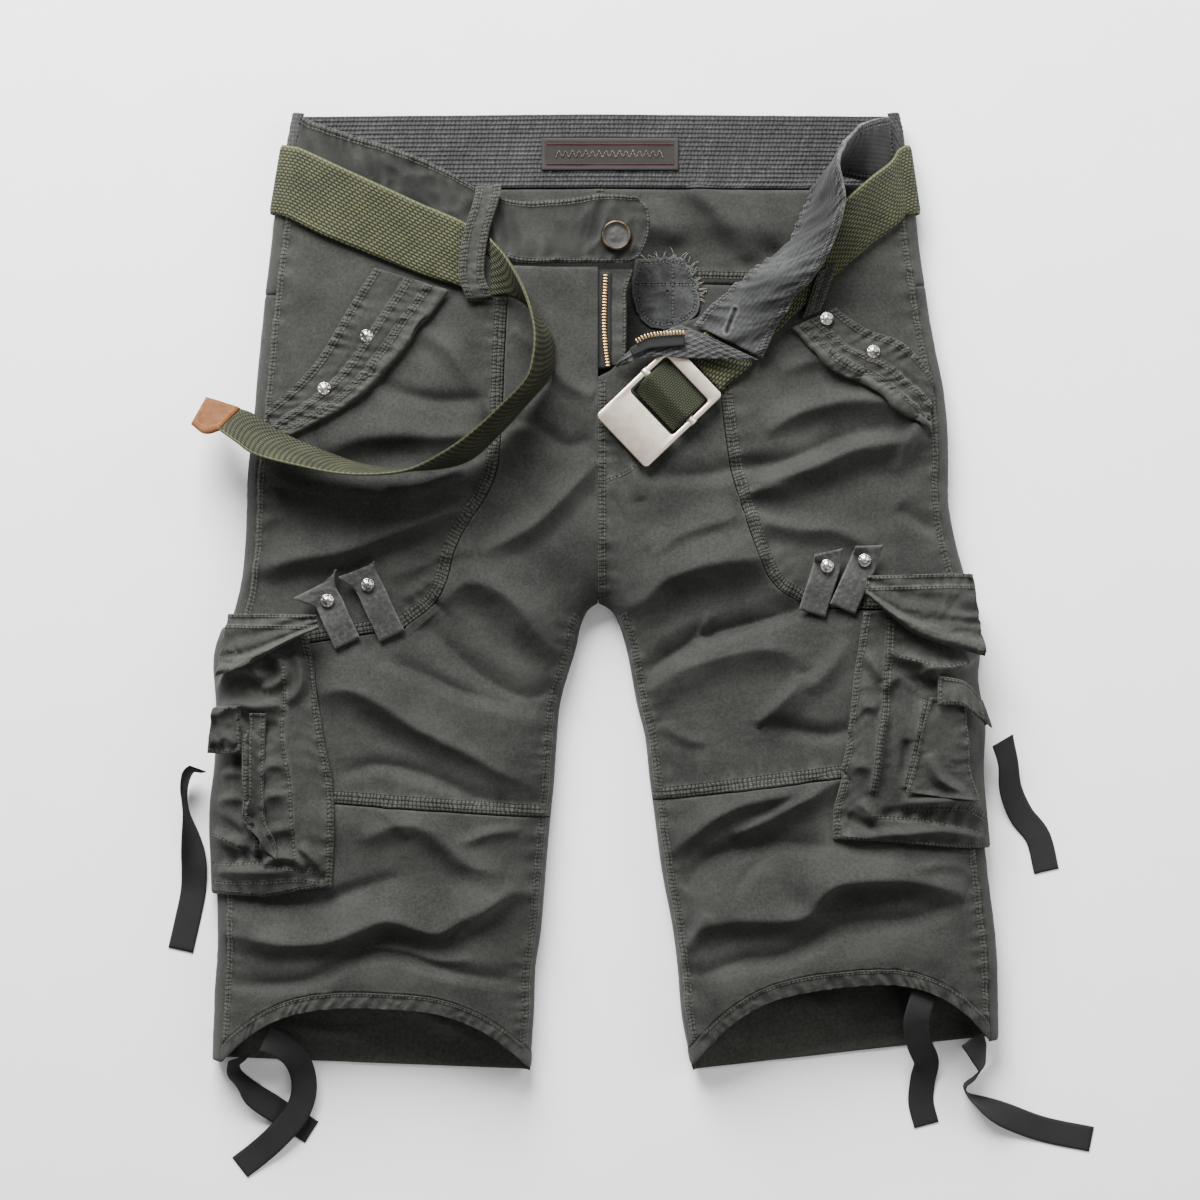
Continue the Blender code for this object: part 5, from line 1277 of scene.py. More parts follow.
def back_rows(side, stations, columns=BACK_COLUMNS):
    """Outer face of a back panel and its normals, from the centre or inner fold to the outseam."""
    turn = np.linspace(0, math.pi / 2, FOLD_STEPS_ROUND + 1)
    near = FOLD_RADIUS * (1 - np.cos(turn))
    angles = turn[1:]
    rows, normals = [], []
    for outer_y, inner_y in stations:
        start = inner_point(side, inner_y)
        flat_end = inward_of(side, outer_y, FOLD_RADIUS)
        width = np.linalg.norm(flat_end - start)
        shares = np.concatenate([near / width, np.linspace(FOLD_RADIUS / width, 1, columns + 1)[1:]])
        plan = blend(start[None], flat_end[None], shares[:, None])
        z, normal = base_z(plan)
        if inner_y < CROTCH_Y:
            z[0] = FOLD_RADIUS + lift(inner_y) - SEAM_GAP / 2
        raised = sample(BACK.height, plan[:, 0], plan[:, 1]) * flat_share(normal)
        flat = np.concatenate([plan, (z + raised)[:, None]], axis=1)
        ripple = WRAP_RIPPLE * lattice_noise(np.degrees(angles) * 0.16, outer_y, 9, 81)
        round_fold, out = fold_places(side, outer_y, angles)
        round_fold -= out * (0.3 + np.abs(ripple) * np.sin(angles))[:, None]
        rim, rim_normal = on_front(np.array([inward_of(side, outer_y, reach) for reach in RIM_REACHES]))
        rows.append(np.concatenate([flat, round_fold, rim]))
        normals.append(np.concatenate([normal, out, rim_normal]))
    return np.array(rows), np.array(normals)


def back_panel(name, side, stations):
    """A back panel from its rows; its relief is on the inner face only."""
    outside, normals = back_rows(side, stations)
    x, y = outside[..., 0], outside[..., 1]
    inner = outside - normals * CLOTH
    on_flat = flat_share(normals)
    on_rim = smoothstep(normals[..., 2] / RIM_FACING)
    inner += (sample(BACK.sewing.relief, x, y) * on_flat)[..., None] * -normals
    sewing = Sewing(x.shape)
    sewing.fade = sample(BACK.sewing.fade, x, y) * on_flat + sample(FRONT.sewing.fade, x, y) * on_rim
    sewing.marks = np.where((on_flat > 0.5)[..., None], BACK.marks_at(x, y), FRONT.marks_at(x, y))
    sewn_sheet(name, inner, normals, sewing)


def back_panels(side):
    """The yoke and the leg of the back; their rows meet the front's at the outseam."""
    hip, thigh, shin = hip_rows(side), thigh_rows(side), shin_rows(side)
    knee_y, (hem_outer, hem_inner) = KNEE_INNER_Y[side], HEM_BACK[side]
    yoke = zip(hip[:YOKE_ROWS + 1], np.linspace(WAIST_BOTTOM_Y - 1, YOKE_SEAM_Y, YOKE_ROWS + 1))
    back_panel("back_yoke_" + side, side, list(yoke))
    seat = hip[YOKE_ROWS:]
    stations = [(seat[0] - SEAM_GAP, YOKE_SEAM_Y - SEAM_GAP)]
    stations += list(zip(seat[1:], np.linspace(YOKE_SEAM_Y, CROTCH_Y, len(seat))[1:]))
    stations += list(zip(thigh[1:], np.linspace(CROTCH_Y, knee_y, THIGH_ROWS + 1)[1:]))
    stations += list(zip(shin[1:], np.linspace(knee_y, HEM[side][1], SHIN_ROWS + 1)[1:]))
    last_outer, last_inner = stations[-1]
    stations += [(last_outer + t * (hem_outer - last_outer), last_inner + t * (hem_inner - last_inner))
                 for t in np.linspace(0, 1, HEM_ROWS + 1)[1:]]
    back_panel("back_leg_" + side, side, stations)


# Spacing of the many rows of stitches on the waistband's inner face
BAND_ROW_SPACING = 3.1


def waistband_back():
    """The back waistband with its stitched inner face, round both side folds to the outseams."""
    heights = np.linspace(WAIST_TOP_Y, WAIST_BOTTOM_Y, 8 * ROWS_UP)
    halves = [back_rows(side, [(y, y) for y in heights], BAND_COLUMNS) for side in SIDES]
    skip = FOLD_STEPS_ROUND + 1
    outside, normals = (np.concatenate([right[:, ::-1][:, :-skip], left[:, skip:]], axis=1)
                        for right, left in zip(*halves))
    inner = outside - normals * BAND_CLOTH
    along, across = run_lengths(inner, 1), run_lengths(inner, 0)
    sewing = quilted(along, across, BAND_ROW_SPACING, 0.25, 9.0, 91)
    sewing.relief += 0.45 * crumple(along, across, 15, 96)
    sewing.fade += 0.3 * bell(across, 1.2) + 0.3 * bell(across[-1:] - across, 1.4)
    level = smoothstep(np.abs(normals[..., 2]) / 0.4)
    inner -= normals * (sewing.relief * level)[..., None]
    sewing.relief *= 0
    sewn_sheet("waistband_back", inner, normals, sewing, BAND_CLOTH, "inside")


BAND_R_TOP = (
    (-206, 332), (-176, 321), (-133, 307), (-105, 294), (-66, 275), (-30, 274), (1, 278), (26, 277),
)
BAND_R_SEWN = ((-212, 286), (-170, 267), (-115, 248), (-62, 230.5), (-30, 229.5), (0, 229.5), (22, 230))
BAND_R_END = ((26, 277), (35, 268), (36, 252), (31, 237), (22, 230))
BAND_R_COLUMNS = 190
BAND_R_ROWS = 30
BAND_R_CROWDING = 0.3
BAND_R_CLOTH = BAND_CLOTH + 0.4
BAND_R_START_Y = WAIST_TOP_Y - 2


def waistband_front_r():
    """Front waistband on the wearer's right, up to its rounded button end."""
    top_edge = through(BAND_R_TOP, CURVE_STEPS)
    sewn_edge = through(BAND_R_SEWN, CURVE_STEPS)
    outer = outseam_edge("r", np.linspace(BAND_R_START_Y, WAIST_BOTTOM_Y, BAND_R_ROWS + 1))
    end = resample(through(BAND_R_END, CURVE_STEPS), BAND_R_ROWS)
    top_edge[0], sewn_edge[0] = outer[0], outer[-1]
    end[0], end[-1] = top_edge[-1], sewn_edge[-1]
    shares = clustered(BAND_R_COLUMNS, BAND_R_CROWDING)
    plan = between(at_shares(top_edge, shares), at_shares(sewn_edge, shares), outer, end, shares)
    points, normals = on_front(plan, -CLOTH, 0.3)
    borders = (("first", THREE_ROWS), ("last", THREE_ROWS), ("right", TWO_ROWS))
    sewing = bordered(points, borders, 1.0, 10.0, 95)
    along, across = run_lengths(points, 1), run_lengths(points, 0)
    creases = crumple(1.1 * along, 0.7 * across, 17, 197)
    sewing.relief += 1.8 * creases - 1.0
    # The colour follows the creases, painted light on their crests and painted shade in their troughs, and
    # the whole band is painted darker, as painted shade.
    sewing.fade += 0.3 * creases - 0.3
    sewn_sheet("waistband_front_r", points, normals, sewing, BAND_R_CLOTH)


# Folded-out waistband of the wearer's left: x, y, height of its sewn edge over the front's form,
# then x, y and height of its top edge, and how far the cloth between them arches
FLAP_L = (
    (206, 285, 0.5, 204, 333, 4.0, 0.0), (186, 287, 1, 190, 328, 14, 2), (167, 290, 1, 177, 318, 30, 4),
    (151, 283, 1, 166, 296, 42, 4), (144, 266, 2, 170, 270, 40, 5), (134, 247, 3, 164, 245, 36, 8),
    (112, 227, 4, 151, 219, 28, 10), (98, 214, 5, 137, 204, 19, 9), (80, 200, 5, 124, 184, 11, 6),
    (66, 186, 5, 114, 162, 7.5, 3),
)
FLAP_ROWS = 210
FLAP_COLUMNS = 46
FLAP_STAND = 0.5
FLAP_ROUND = 0.12
# Share of its length after which the folded-out waistband is crumpled most
FLAP_TURN = 0.42
BUTTONHOLE = ((95.5, 195.5), (89.5, 180.5))
HOLE_EDGE = 2.2


def flap_grid():
    """Middle face of the folded-out waistband and its normals."""
    fine = resample(through(FLAP_L, CURVE_STEPS - 1), FLAP_ROWS)
    sewn, _ = on_front(fine[:, 0:2], 0.0, 0.0)
    free, _ = on_front(fine[:, 3:5], 0.0, 0.0)
    sewn[:, 2] += fine[:, 2] + FLAP_STAND
    free[:, 2] += fine[:, 5]
    shares = np.linspace(0, 1, FLAP_COLUMNS + 1)
    grid = strip_grid(sewn, free, FLAP_COLUMNS)
    grid[..., 2] += fine[:, 6, None] * 4 * shares * (1 - shares)
    normal = grid_normals(grid)
    return grid, normal * np.sign(normal[..., 2:].mean())


def folded_waistband_l():
    """Front waistband on the wearer's left, folded out so that its inner face is up."""
    grid, normals = flap_grid()
    along, across = run_lengths(grid, 0), run_lengths(grid, 1)
    sewing = bordered(grid, (("left", THREE_ROWS), ("right", THREE_ROWS)), 0.9, 9.0, 101)
    turned_out = smoothstep((along / along[-1:] - FLAP_TURN) / FLAP_ROUND)
    gathers = lattice_noise(along, 0.35 * across, 8, 107)
    rows = np.cos(2 * math.pi * across / BAND_ROW_SPACING)
    sewing.relief += 0.6 * gathers + 0.12 * rows
    sewing.relief += 1.2 * turned_out * lattice_noise(1.2 * along, 0.5 * across, 15, 103)
    sewing.relief += (0.6 + 1.0 * turned_out) * crumple(along, 0.7 * across, 16, 104)
    free = across[:, -1:] - across
    # Painted darker before the turn, as painted shade, with painted light on the crests of the gathers and
    # rows and painted shade in their troughs; the edges are paler with wear.
    sewing.fade += 0.28 * turned_out - 0.28 + 0.25 * gathers + 0.12 * rows
    sewing.fade += 0.45 * bell(across, 1.4) + 0.6 * bell(free, 1.4)
    hole = near_line(grid[..., 0], grid[..., 1], BUTTONHOLE)
    sewing.relief += 0.8 * bell(hole - HOLE_EDGE, 0.9) - 1.3 * bell(hole, 0.9)
    # A pale worn rim round the buttonhole and painted shade in its slit.
    sewing.fade += 0.6 * bell(hole - HOLE_EDGE, 0.9) - 1.4 * bell(hole, 1.0)
    inner = grid - normals * (BAND_CLOTH / 2)
    sewn_sheet("waistband_front_l", inner, normals, sewing, BAND_CLOTH, "inside")


def ruled(first, second, columns, rows):
    """Plan grid between two edges: columns along them, rows from the first to the second."""
    share = np.linspace(0, 1, rows + 1)[:, None, None]
    along = np.linspace(0, 1, columns + 1)
    return blend(at_shares(first, along)[None], at_shares(second, along)[None], share)


def strip_grid(upper, lower, columns):
    """Grid of points between two edge curves, which are its first and last columns."""
    return blend(upper[:, None], lower[:, None], np.linspace(0, 1, columns + 1)[None, :, None])


# The fly: crest and free edge of the folded-out facing, its height over the front from one to the
# other, then both edges of each zip tape and of the shield
FACING_CREST = ((64, 183), (54, 184), (28, 172), (12, 158))
FACING_FREE = ((111, 160.5), (66, 162), (36, 163), (13, 155.5))
FACING_RISE = (8.0, 12.0, 12.8, 12.8)
FACING_FOOT_RISE = 4.0
FACING_COLUMNS = 64
FACING_ROWS = 24
ZIP_TAPE_L = (((60, 178), (34, 176), (22, 168)), ((60, 170), (36, 168), (24, 163)))
ZIP_TAPE_L_CLOTH = 1.6
ZIP_TAPE_L_STAND = FACING_RISE[-1] + CLOTH + LAY_GAP
FLY_SHIELD = (((-2, 226), (2, 158)), ((25, 226), (20, 210), (20, 196), (19.5, 158)))
FLY_SHIELD_DEPTH = 4.6
ZIP_TAPE_R = (((-7, 224), (-3, 156)), ((9, 224), (9, 156)))
ZIP_TAPE_R_STAND = -CLOTH - 2.6
ZIP_TAPE_R_CLOTH = 1.4


def facing_stand():
    """Height of the facing's inner face over the front's form, over its rows and columns."""
    rows = np.interp(np.linspace(0, 3, FACING_ROWS + 1), np.arange(4), FACING_RISE)
    foot = smoothstep(np.linspace(0, 8, FACING_COLUMNS + 1) - 7)
    return blend(rows[:, None], FACING_FOOT_RISE, foot)


def fly_facing_l():
    """The folded-out facing below the waistband's end, with the left zip tape on it."""
    plan = ruled(through(FACING_CREST, CURVE_STEPS), through(FACING_FREE, CURVE_STEPS),
                 FACING_COLUMNS, FACING_ROWS)
    points, normals = on_front(plan, facing_stand(), 0.0)
    along, across = run_lengths(points, 1), run_lengths(points, 0)
    sewing = quilted(along, across, 4.4, 0.3, 9.0, 105)
    sewing.relief += 0.6 * crumple(along, across, 13, 106)
    sewing.fade += 0.5 * bell(across[-1:] - across, 1.3) + 0.3
    sewn_sheet("fly_facing_l", points, normals, sewing, finish="inside")
    zip_tape("zip_tape_l", ruled(*ZIP_TAPE_L, 48, 8), ZIP_TAPE_L_STAND, ZIP_TAPE_L_CLOTH)


def zip_tape(name, plan, stand, thickness):
    """One side of the zip's tape, that high over the front's form."""
    points, normals = on_front(plan, stand, 0.0)
    weave = np.stack([run_lengths(points, 1), run_lengths(points, 0)], axis=-1)
    piece = cloth(name + "_cloth", points, normals, thickness, "tape", None, weave)
    belongs(piece, (name,))


def fly_shield_r():
    """The shield behind the fly and the right zip tape along the fly's edge."""
    straight, curved = FLY_SHIELD
    plan = ruled(straight, through(curved, CURVE_STEPS), 50, 20)
    points, normals = on_front(plan, -CLOTH - FLY_SHIELD_DEPTH, 0.4)
    sewing = bordered(points, (("last", TWO_ROWS),), 0.4, 14.0, 108)
    sewn_sheet("fly_shield_r", points, normals, sewing)
    zip_tape("zip_tape_r", ruled(*ZIP_TAPE_R, 48, 12), ZIP_TAPE_R_STAND, ZIP_TAPE_R_CLOTH)


# ---------------------------------------------------------------- pieces that lie on the panels

# Outer edge of each slant pocket's band and its edge along the pocket's mouth
POCKET_BAND = {
    "r": (((-156, 226), (-173, 199), (-195, 162), (-212, 143), (-231, 127)),
          ((-103, 210), (-118, 190), (-143, 158), (-171, 130), (-222, 104))),
    "l": (((166, 198), (176, 190), (189, 182), (209, 175), (225, 162), (233, 148)),
          ((134, 184), (142, 176), (153, 163), (176, 148), (198, 134), (230, 112))),
}
# Across the band, from its outer edge to the pocket's mouth: share of the way and height
BAND_PROFILE = ((0, 0.3), (0.36, 0.8), (0.44, 0.2), (0.54, 2.4), (0.66, 2.7), (0.72, 1.6),
                (0.82, 3.8), (0.93, 4.4), (0.98, 3.2), (1, 1.0))
BAND_STEPS = 110
BAND_ACROSS = 48
BAND_TAPER = 0.08


def pocket_band(side):
    """Wide band of the slant pocket, in ridges that end in a roll along the pocket's mouth."""
    first, second = (resample(through(edge, CURVE_STEPS), BAND_STEPS) for edge in POCKET_BAND[side])
    place = np.linspace(0, 1, BAND_ACROSS + 1)
    plan = strip_grid(first, second, BAND_ACROSS)
    taper = np.sin(math.pi * np.linspace(BAND_TAPER, 1 - BAND_TAPER, BAND_STEPS + 1)) ** 0.6
    ridges = np.interp(place, *np.array(BAND_PROFILE).T)
    ridges = np.convolve(np.pad(ridges, 1, "edge"), (0.25, 0.5, 0.25), "valid")
    points, normals = on_front(plan, LAY_GAP + ridges[None, :] * taper[:, None], 0.4)
    along, across = run_lengths(points, 0), run_lengths(points, 1)
    sewing = bordered(points, (("left", THREE_ROWS),), 0.9, 10.0, 111)
    wide = across[:, -1:]
    sewing.band(along, across - 0.42 * wide, THREE_ROWS, 1.1, 9.0, 114)
    sewing.band(along, across - 0.68 * wide, THREE_ROWS, 1.2, 8.0, 117)
    sewing.relief += 0.8 * lattice_noise(along, across, 14, 115) + 0.5 * crumple(along, across, 12, 116)
    # A painted highlight along the crest of the roll by the pocket's mouth.
    sewing.fade += 0.25 * bell(place[None, :] - 0.9, 0.08)
    sewn_sheet("pocket_band_" + side, points, normals, sewing)


# Cargo pockets: inner edge in the plan, then y of the outer edge's top and bottom end
CARGO = {
    "r": (((-202, -30), (-196, -60), (-191, -100), (-185, -130), (-183, -160), (-185, -205)), -26, -212),
    "l": (((185, -14), (178, -60), (174, -100), (168, -128), (164, -150), (163, -172)), -6, -180),
}
# How far the pocket's face stands off the leg
BELLOWS = 7.0
CARGO_ROWS = 110
CARGO_COLUMNS = 60
CARGO_SHARES = np.linspace(0, 0.985, CARGO_COLUMNS + 1)
CARGO_ANGLES = (90, 84, 77, 70, 63, 56, 50)
CARGO_FOLD_STAND = FOLD_RADIUS + LAY_GAP + 0.6
# Seams on the pockets' faces: the side that the band lies on, its width, and points in pixels
CARGO_SEAMS = (
    (-1, 3.0, ((290, 664), (291, 702), (288, 730), (291, 757), (295, 785), (297, 813), (299, 841),
               (301, 856))),
    (1, 3.0, ((254, 728), (255, 767), (254, 785), (254, 804), (252, 818), (263, 835), (264, 843),
              (258, 853))),
    (1, 3.0, ((259, 744), (260, 767), (261, 794), (264, 820), (273, 841), (276, 856))),
    (1, 3.0, ((205, 867), (240, 865), (266, 863), (286, 868), (326, 872))),
    (-1, 3.0, ((205, 881), (240, 880), (269, 878), (300, 876), (328, 880))),
    (1, 3.0, ((208, 838), (228, 838), (248, 847))),
    (1, 6.0, ((885, 606), (883, 649), (880, 680), (879, 708), (874, 736), (870, 769), (867, 793))),
    (1, 6.0, ((917, 697), (911, 732), (906, 760), (900, 786))),
    (-1, 6.0, ((900, 803), (941, 803), (963, 804), (992, 820))),
    (1, 3.0, ((867, 817), (904, 819), (941, 825), (990, 839))),
    (1, 3.0, ((882, 655), (910, 662), (937, 668), (980, 656))),
)
# Creases on the pockets, the same columns as the front's
CARGO_CREASES = (
    (4, 9, 8, ((212, 698), (228, 682), (243, 669), (258, 667), (270, 679))),
    (3, 8, 8, ((262, 656), (276, 655), (288, 667), (284, 682), (262, 690))),
    (-3, 9, 7, ((256, 682), (264, 688), (272, 694))),
    (3, 8, 9, ((212, 716), (240, 704), (266, 706), (288, 702))),
    (-2.5, 8, 7, ((244, 716), (262, 728), (284, 724))),
    (3, 9, 8, ((296, 652), (303, 664), (304, 680), (300, 692), (290, 702))),
    (3.5, 9, 5, ((239, 706), (247, 722), (255, 740), (255, 768), (254, 804), (252, 818), (262, 833),
                 (264, 843), (258, 853))),
    (-3, 6, 6, ((246, 752), (248, 790), (247, 812), (256, 832), (258, 842))),
    (2, 7, 7, ((266, 776), (276, 764), (292, 766))),
    (2, 7, 7, ((266, 808), (276, 796), (293, 797))),
    (2, 7, 7, ((272, 834), (284, 826), (298, 826))),
    (2, 7, 7, ((226, 776), (240, 772), (252, 776))),
    (2, 7, 7, ((222, 804), (236, 798), (252, 800))),
    (-3, 8, 9, ((203, 812), (222, 821), (250, 836))),
    (3.5, 8, 8, ((205, 838), (225, 836), (240, 840), (250, 848))),
    (-3, 9, 9, ((205, 854), (240, 852), (270, 858))),
    (3.5, 7, 7, ((270, 862), (284, 854), (298, 856), (308, 866))),
    (3, 8, 8, ((302, 842), (314, 852), (326, 872))),
    (2.5, 8, 8, ((204, 872), (250, 870), (300, 868))),
    (2, 9, 8, ((214, 742), (228, 736), (240, 744))),
    (3, 10, 8, ((850, 652), (866, 660), (880, 680))),
    (4, 9, 8, ((884, 652), (908, 660), (937, 668), (980, 656))),
    (-3, 8, 8, ((892, 672), (912, 682), (930, 688))),
    (3, 7, 7, ((916, 676), (922, 670), (930, 677))),
    (3, 8, 8, ((880, 690), (896, 676), (914, 688))),
    (3.5, 8, 7, ((869, 792), (874, 768), (878, 738), (882, 712))),
    (-3.5, 8, 7, ((902, 784), (905, 760), (906, 738))),
    (3.5, 6, 7, ((900, 786), (907, 760), (912, 732), (918, 700))),
    (3, 9, 8, ((925, 752), (932, 773), (946, 784), (962, 792))),
    (-2.5, 8, 8, ((986, 762), (974, 772), (960, 784))),
    (4, 10, 7, ((898, 800), (920, 800), (941, 800), (963, 802), (990, 816))),
    (-3.5, 8, 8, ((880, 812), (910, 813), (941, 816), (990, 830))),
    (3, 6, 6, ((857, 800), (864, 808), (868, 818))),
    (-2.5, 6, 6, ((846, 812), (856, 820), (870, 826))),
    (3, 8, 8, ((834, 832), (856, 836), (900, 832), (940, 830), (988, 842))),
    (2.5, 8, 8, ((842, 770), (856, 764), (868, 768))),
    (2.5, 8, 8, ((850, 716), (862, 706), (876, 708))),
)
CARGO_CREASE_SHARE = 1.35
CARGO_PUCKER = 1.0
CARGO_PUCKER_PITCH = 11.0


def make_cargo():
    """The layer of creases and seams on both cargo pockets."""
    layer = Layer(121)
    for rise, up, down, pixels in CARGO_CREASES:
        add_crease(layer, CARGO_CREASE_SHARE * rise, up, down, pixels)
    for side, width, pixels in CARGO_SEAMS:
        add_band(layer, through(on_plan(pixels), CURVE_STEPS), side, width, CARGO_PUCKER,
                 CARGO_PUCKER_PITCH)
    x, y = PLAN_X, PLAN_Y
    layer.sewing.relief += 0.7 * lattice_noise(x * 1.3, y * 0.7, 22, 122) + 0.8 * crumple(x, y, 17, 123)
    layer.sewing.fade += 0.08 * lattice_noise(x, y, 14, 124)
    return layer


CARGO_LAYER = make_cargo()


def bellows(u, v):
    """Rise of the cargo pocket over the leg: pleated sides, fuller face."""
    side_pleat = np.minimum(1, 4.5 * u) ** 0.6
    end_pleats = np.sin(math.pi * np.clip(v, 0.02, 0.98)) ** 0.35
    fade_to_fold = 1 - 0.8 * smoothstep((u - 0.6) / 0.4)
    return BELLOWS * side_pleat * end_pleats * fade_to_fold


def cargo_plan(side):
    """Plan grid of the part of a cargo pocket that lies on the front."""
    edge, top_y, bottom_y = CARGO[side]
    inner = resample(through(edge, CURVE_STEPS), CARGO_ROWS)
    outer = np.array([inward_of(side, y, 0.0) for y in np.linspace(top_y, bottom_y, CARGO_ROWS + 1)])
    return blend(inner[:, None], outer[:, None], CARGO_SHARES[None, :, None])


def cargo_wrap(side, stand):
    """The part of a cargo pocket that goes round the outer fold, that far from the fold's middle."""
    _, top_y, bottom_y = CARGO[side]
    rings, rays_out = [], []
    for y in np.linspace(top_y, bottom_y, CARGO_ROWS + 1):
        out = inward_of(side, y, 0.0) - inward_of(side, y, 1.0)
        centre = np.array([*inward_of(side, y, FOLD_RADIUS), FOLD_RADIUS])
        angles = np.radians(CARGO_ANGLES)[:, None]
        rays = np.concatenate([np.sin(angles) * out, -np.cos(angles)], axis=1)
        rings.append(centre + rays * stand)
        rays_out.append(rays)
    return np.array(rings), np.array(rays_out)


def cargo_pocket(side):
    """The bellows pocket on the side of the thigh, round the outer fold to its underside."""
    plan = cargo_plan(side)
    x, y = plan[..., 0], plan[..., 1]
    u, v = np.meshgrid(CARGO_SHARES, np.linspace(0, 1, CARGO_ROWS + 1))
    damp = 1 - smoothstep((u - 0.75) / 0.25)
    creases = np.maximum(sample(CARGO_LAYER.height, x, y), -BELLOWS / 2) * damp * smoothstep(u / 0.12)
    points, normals = on_front(plan, LAY_GAP + bellows(u, v) + creases, 0.3)
    wrap, wrap_out = cargo_wrap(side, CARGO_FOLD_STAND)
    border = bordered(points, (("left", THREE_ROWS), ("last", TWO_ROWS)), 0.6, 12.0, 131)
    points = np.concatenate([points, wrap], axis=1)
    normals = np.concatenate([normals, wrap_out], axis=1)
    sewing = Sewing(points.shape[:2])
    flat = (slice(None), slice(0, CARGO_COLUMNS + 1))
    sewing.relief[flat] = (border.relief + sample(CARGO_LAYER.sewing.relief, x, y)) * damp
    sewing.fade[flat] = border.fade + sample(CARGO_LAYER.sewing.fade, x, y)
    sewing.marks[flat] = border.marks
    sewing.mark(*CARGO_LAYER.marks_at(x, y).transpose(2, 0, 1), flat)
    sewn_sheet("cargo_pocket_" + side, points, normals, sewing)


# Edges of the pieces on the cargo pockets, first and last, as points in pixels
CARGO_FLAP = {
    "r": (((319, 615), (286, 614), (256, 614), (230, 614)),
          ((323, 628), (296, 640), (252, 664), (217, 676))),
    "l": (((864, 576), (900, 575), (940, 574), (972, 574)),
          ((862, 594), (885, 614), (916, 636), (982, 656))),
}
CARGO_TAB = {
    "r": (((245, 704), (216, 706)), ((245, 750), (230, 753), (210, 752))),
    "l": (((934, 675), (962, 681), (980, 700)), ((933, 704), (960, 706), (990, 728))),
}
CARGO_WELT = {
    "r": (((254, 712), (254, 768), (254, 804), (252, 818), (264, 836), (264, 846)),
          ((270, 712), (268, 768), (268, 798), (270, 820), (278, 836), (282, 856))),
    "l": (((926, 696), (917, 730), (911, 760), (902, 790)),
          ((962, 700), (966, 740), (968, 770), (978, 800))),
}
# How each of them rises from its first edge to its last: share of the way and height
FLAP_ROLL = ((0, 0), (0.12, 0.6), (0.3, 1.0), (0.58, 1.6), (0.74, 2.6), (0.86, 7.6), (0.93, 8.0),
             (1.0, 4.0))
TAB_ROLL = ((0, 0.6), (0.3, 1.4), (0.8, 2.2), (1.0, 1.4))
WELT_ROLL = ((0, 2.2), (0.15, 1.6), (0.5, 0.4), (1.0, 0.1))
# Flap, tab and welt: edges, how far over the pocket's face they start, rise, columns and rows
CARGO_TRIM = {
    "cargo_flap_": (CARGO_FLAP, LAY_GAP + 1.0, FLAP_ROLL, 80, 48),
    "cargo_tab_": (CARGO_TAB, LAY_GAP + 2 * CLOTH, TAB_ROLL, 40, 40),
    "cargo_welt_": (CARGO_WELT, LAY_GAP / 2, WELT_ROLL, 90, 30),
}
# The flap's row of stitches across it, its number of folds and where its rolled edge is painted pale,
# partly as rubbed wear and partly as a painted highlight
FLAP_SEAM = 8.0
FLAP_FOLDS = 2.6
FLAP_WORN_AND_LIT = 0.84


def cargo_trim(side):
    """Flap, closing tab and welt of a cargo pocket, one over the other."""
    face = LAY_GAP + BELLOWS + CLOTH
    for key, (edges, stand, roll, columns, rows) in CARGO_TRIM.items():
        over_cargo(key + side, edges[side], face + stand, roll, columns, rows)


def flap_sewing(points, along, across):
    """The cargo flap's stitched borders, the stitches across it and its folds."""
    sewing = bordered(points, (("first", TWO_ROWS), ("left", TWO_ROWS)), 0.6, 10.0, 141)
    sewing.band(along, across - FLAP_SEAM, TWO_ROWS, 0.4, 10.0, 147)
    share = np.linspace(0, 1, len(points))[:, None]
    uneven = 0.8 * lattice_noise(0.5 * along, across, 22, 148)
    folds = np.sin(2 * math.pi * (share * FLAP_FOLDS + uneven))
    sewing.relief += 0.9 * folds + 0.7 * crumple(along, across, 13, 149)
    # The rolled edge painted pale: partly rubbed wear and partly a painted highlight on the roll.
    sewing.fade += 0.3 * bell(share - FLAP_WORN_AND_LIT, 0.09)
    return sewing


def over_cargo(name, edges, stand, roll, columns, rows):
    """A stitched piece on the cargo pocket between two edges, moved out past the bellows."""
    first, last = (through(on_plan(edge), CURVE_STEPS) for edge in edges)
    plan = ruled(first, last, columns, rows)
    rise = np.interp(np.linspace(0, 1, rows + 1), *np.array(roll).T)[:, None]
    creases = np.maximum(sample(CARGO_LAYER.height, plan[..., 0], plan[..., 1]), 0)
    points, normals = seen_at(plan, stand + rise + creases, 0.3)
    along, across = run_lengths(points, 1), run_lengths(points, 0)
    if "flap" in name:
        sewing = flap_sewing(points, along, across)
    else:
        borders = (("first", TWO_ROWS), ("last", TWO_ROWS), ("left", TWO_ROWS))
        sewing = bordered(points, borders, 0.5, 10.0, 151)
    sewing.relief += 0.8 * lattice_noise(along, across, 15, 161) + 0.5 * crumple(along, across, 11, 162)
    sewn_sheet(name, points, normals, sewing)


# Felt tabs over the front seam: foot x, y, rivet x, y, free end x, y, how high the free end curls,
# how many times the foot's width it has, and how far it leans over
KNEE_TABS = {
    "knee_tab_r1": (-174, -36, -188, -6, -197, 3, 8, 1.5, 5),
    "knee_tab_r2": (-143, -31, -160, 5, -168, 15, 7, 1.25, 4),
    "knee_tab_l1": (149, -15, 159, 18, 160, 28, 7, 1.0, -3),
    "knee_tab_l2": (170, -12, 185, 22, 188, 32, 7, 0.95, -3),
}
TAB_CUP = 4.0
TAB_WIDTH = 19.0
TAB_CLOTH = 2.0
TAB_STAND = 4.2
TAB_SHARES = (0, 0.33, 0.66, 1)
RIVET_SHARE = TAB_SHARES[2]
RIVET_SEAT = 1.5
TAB_COLUMNS = 24
TAB_STEPS = 12
# A tab's height is evened out over this many points to either side
TAB_SMOOTH = 3
SMOOTHING = np.ones(2 * TAB_SMOOTH + 1) / (2 * TAB_SMOOTH + 1)


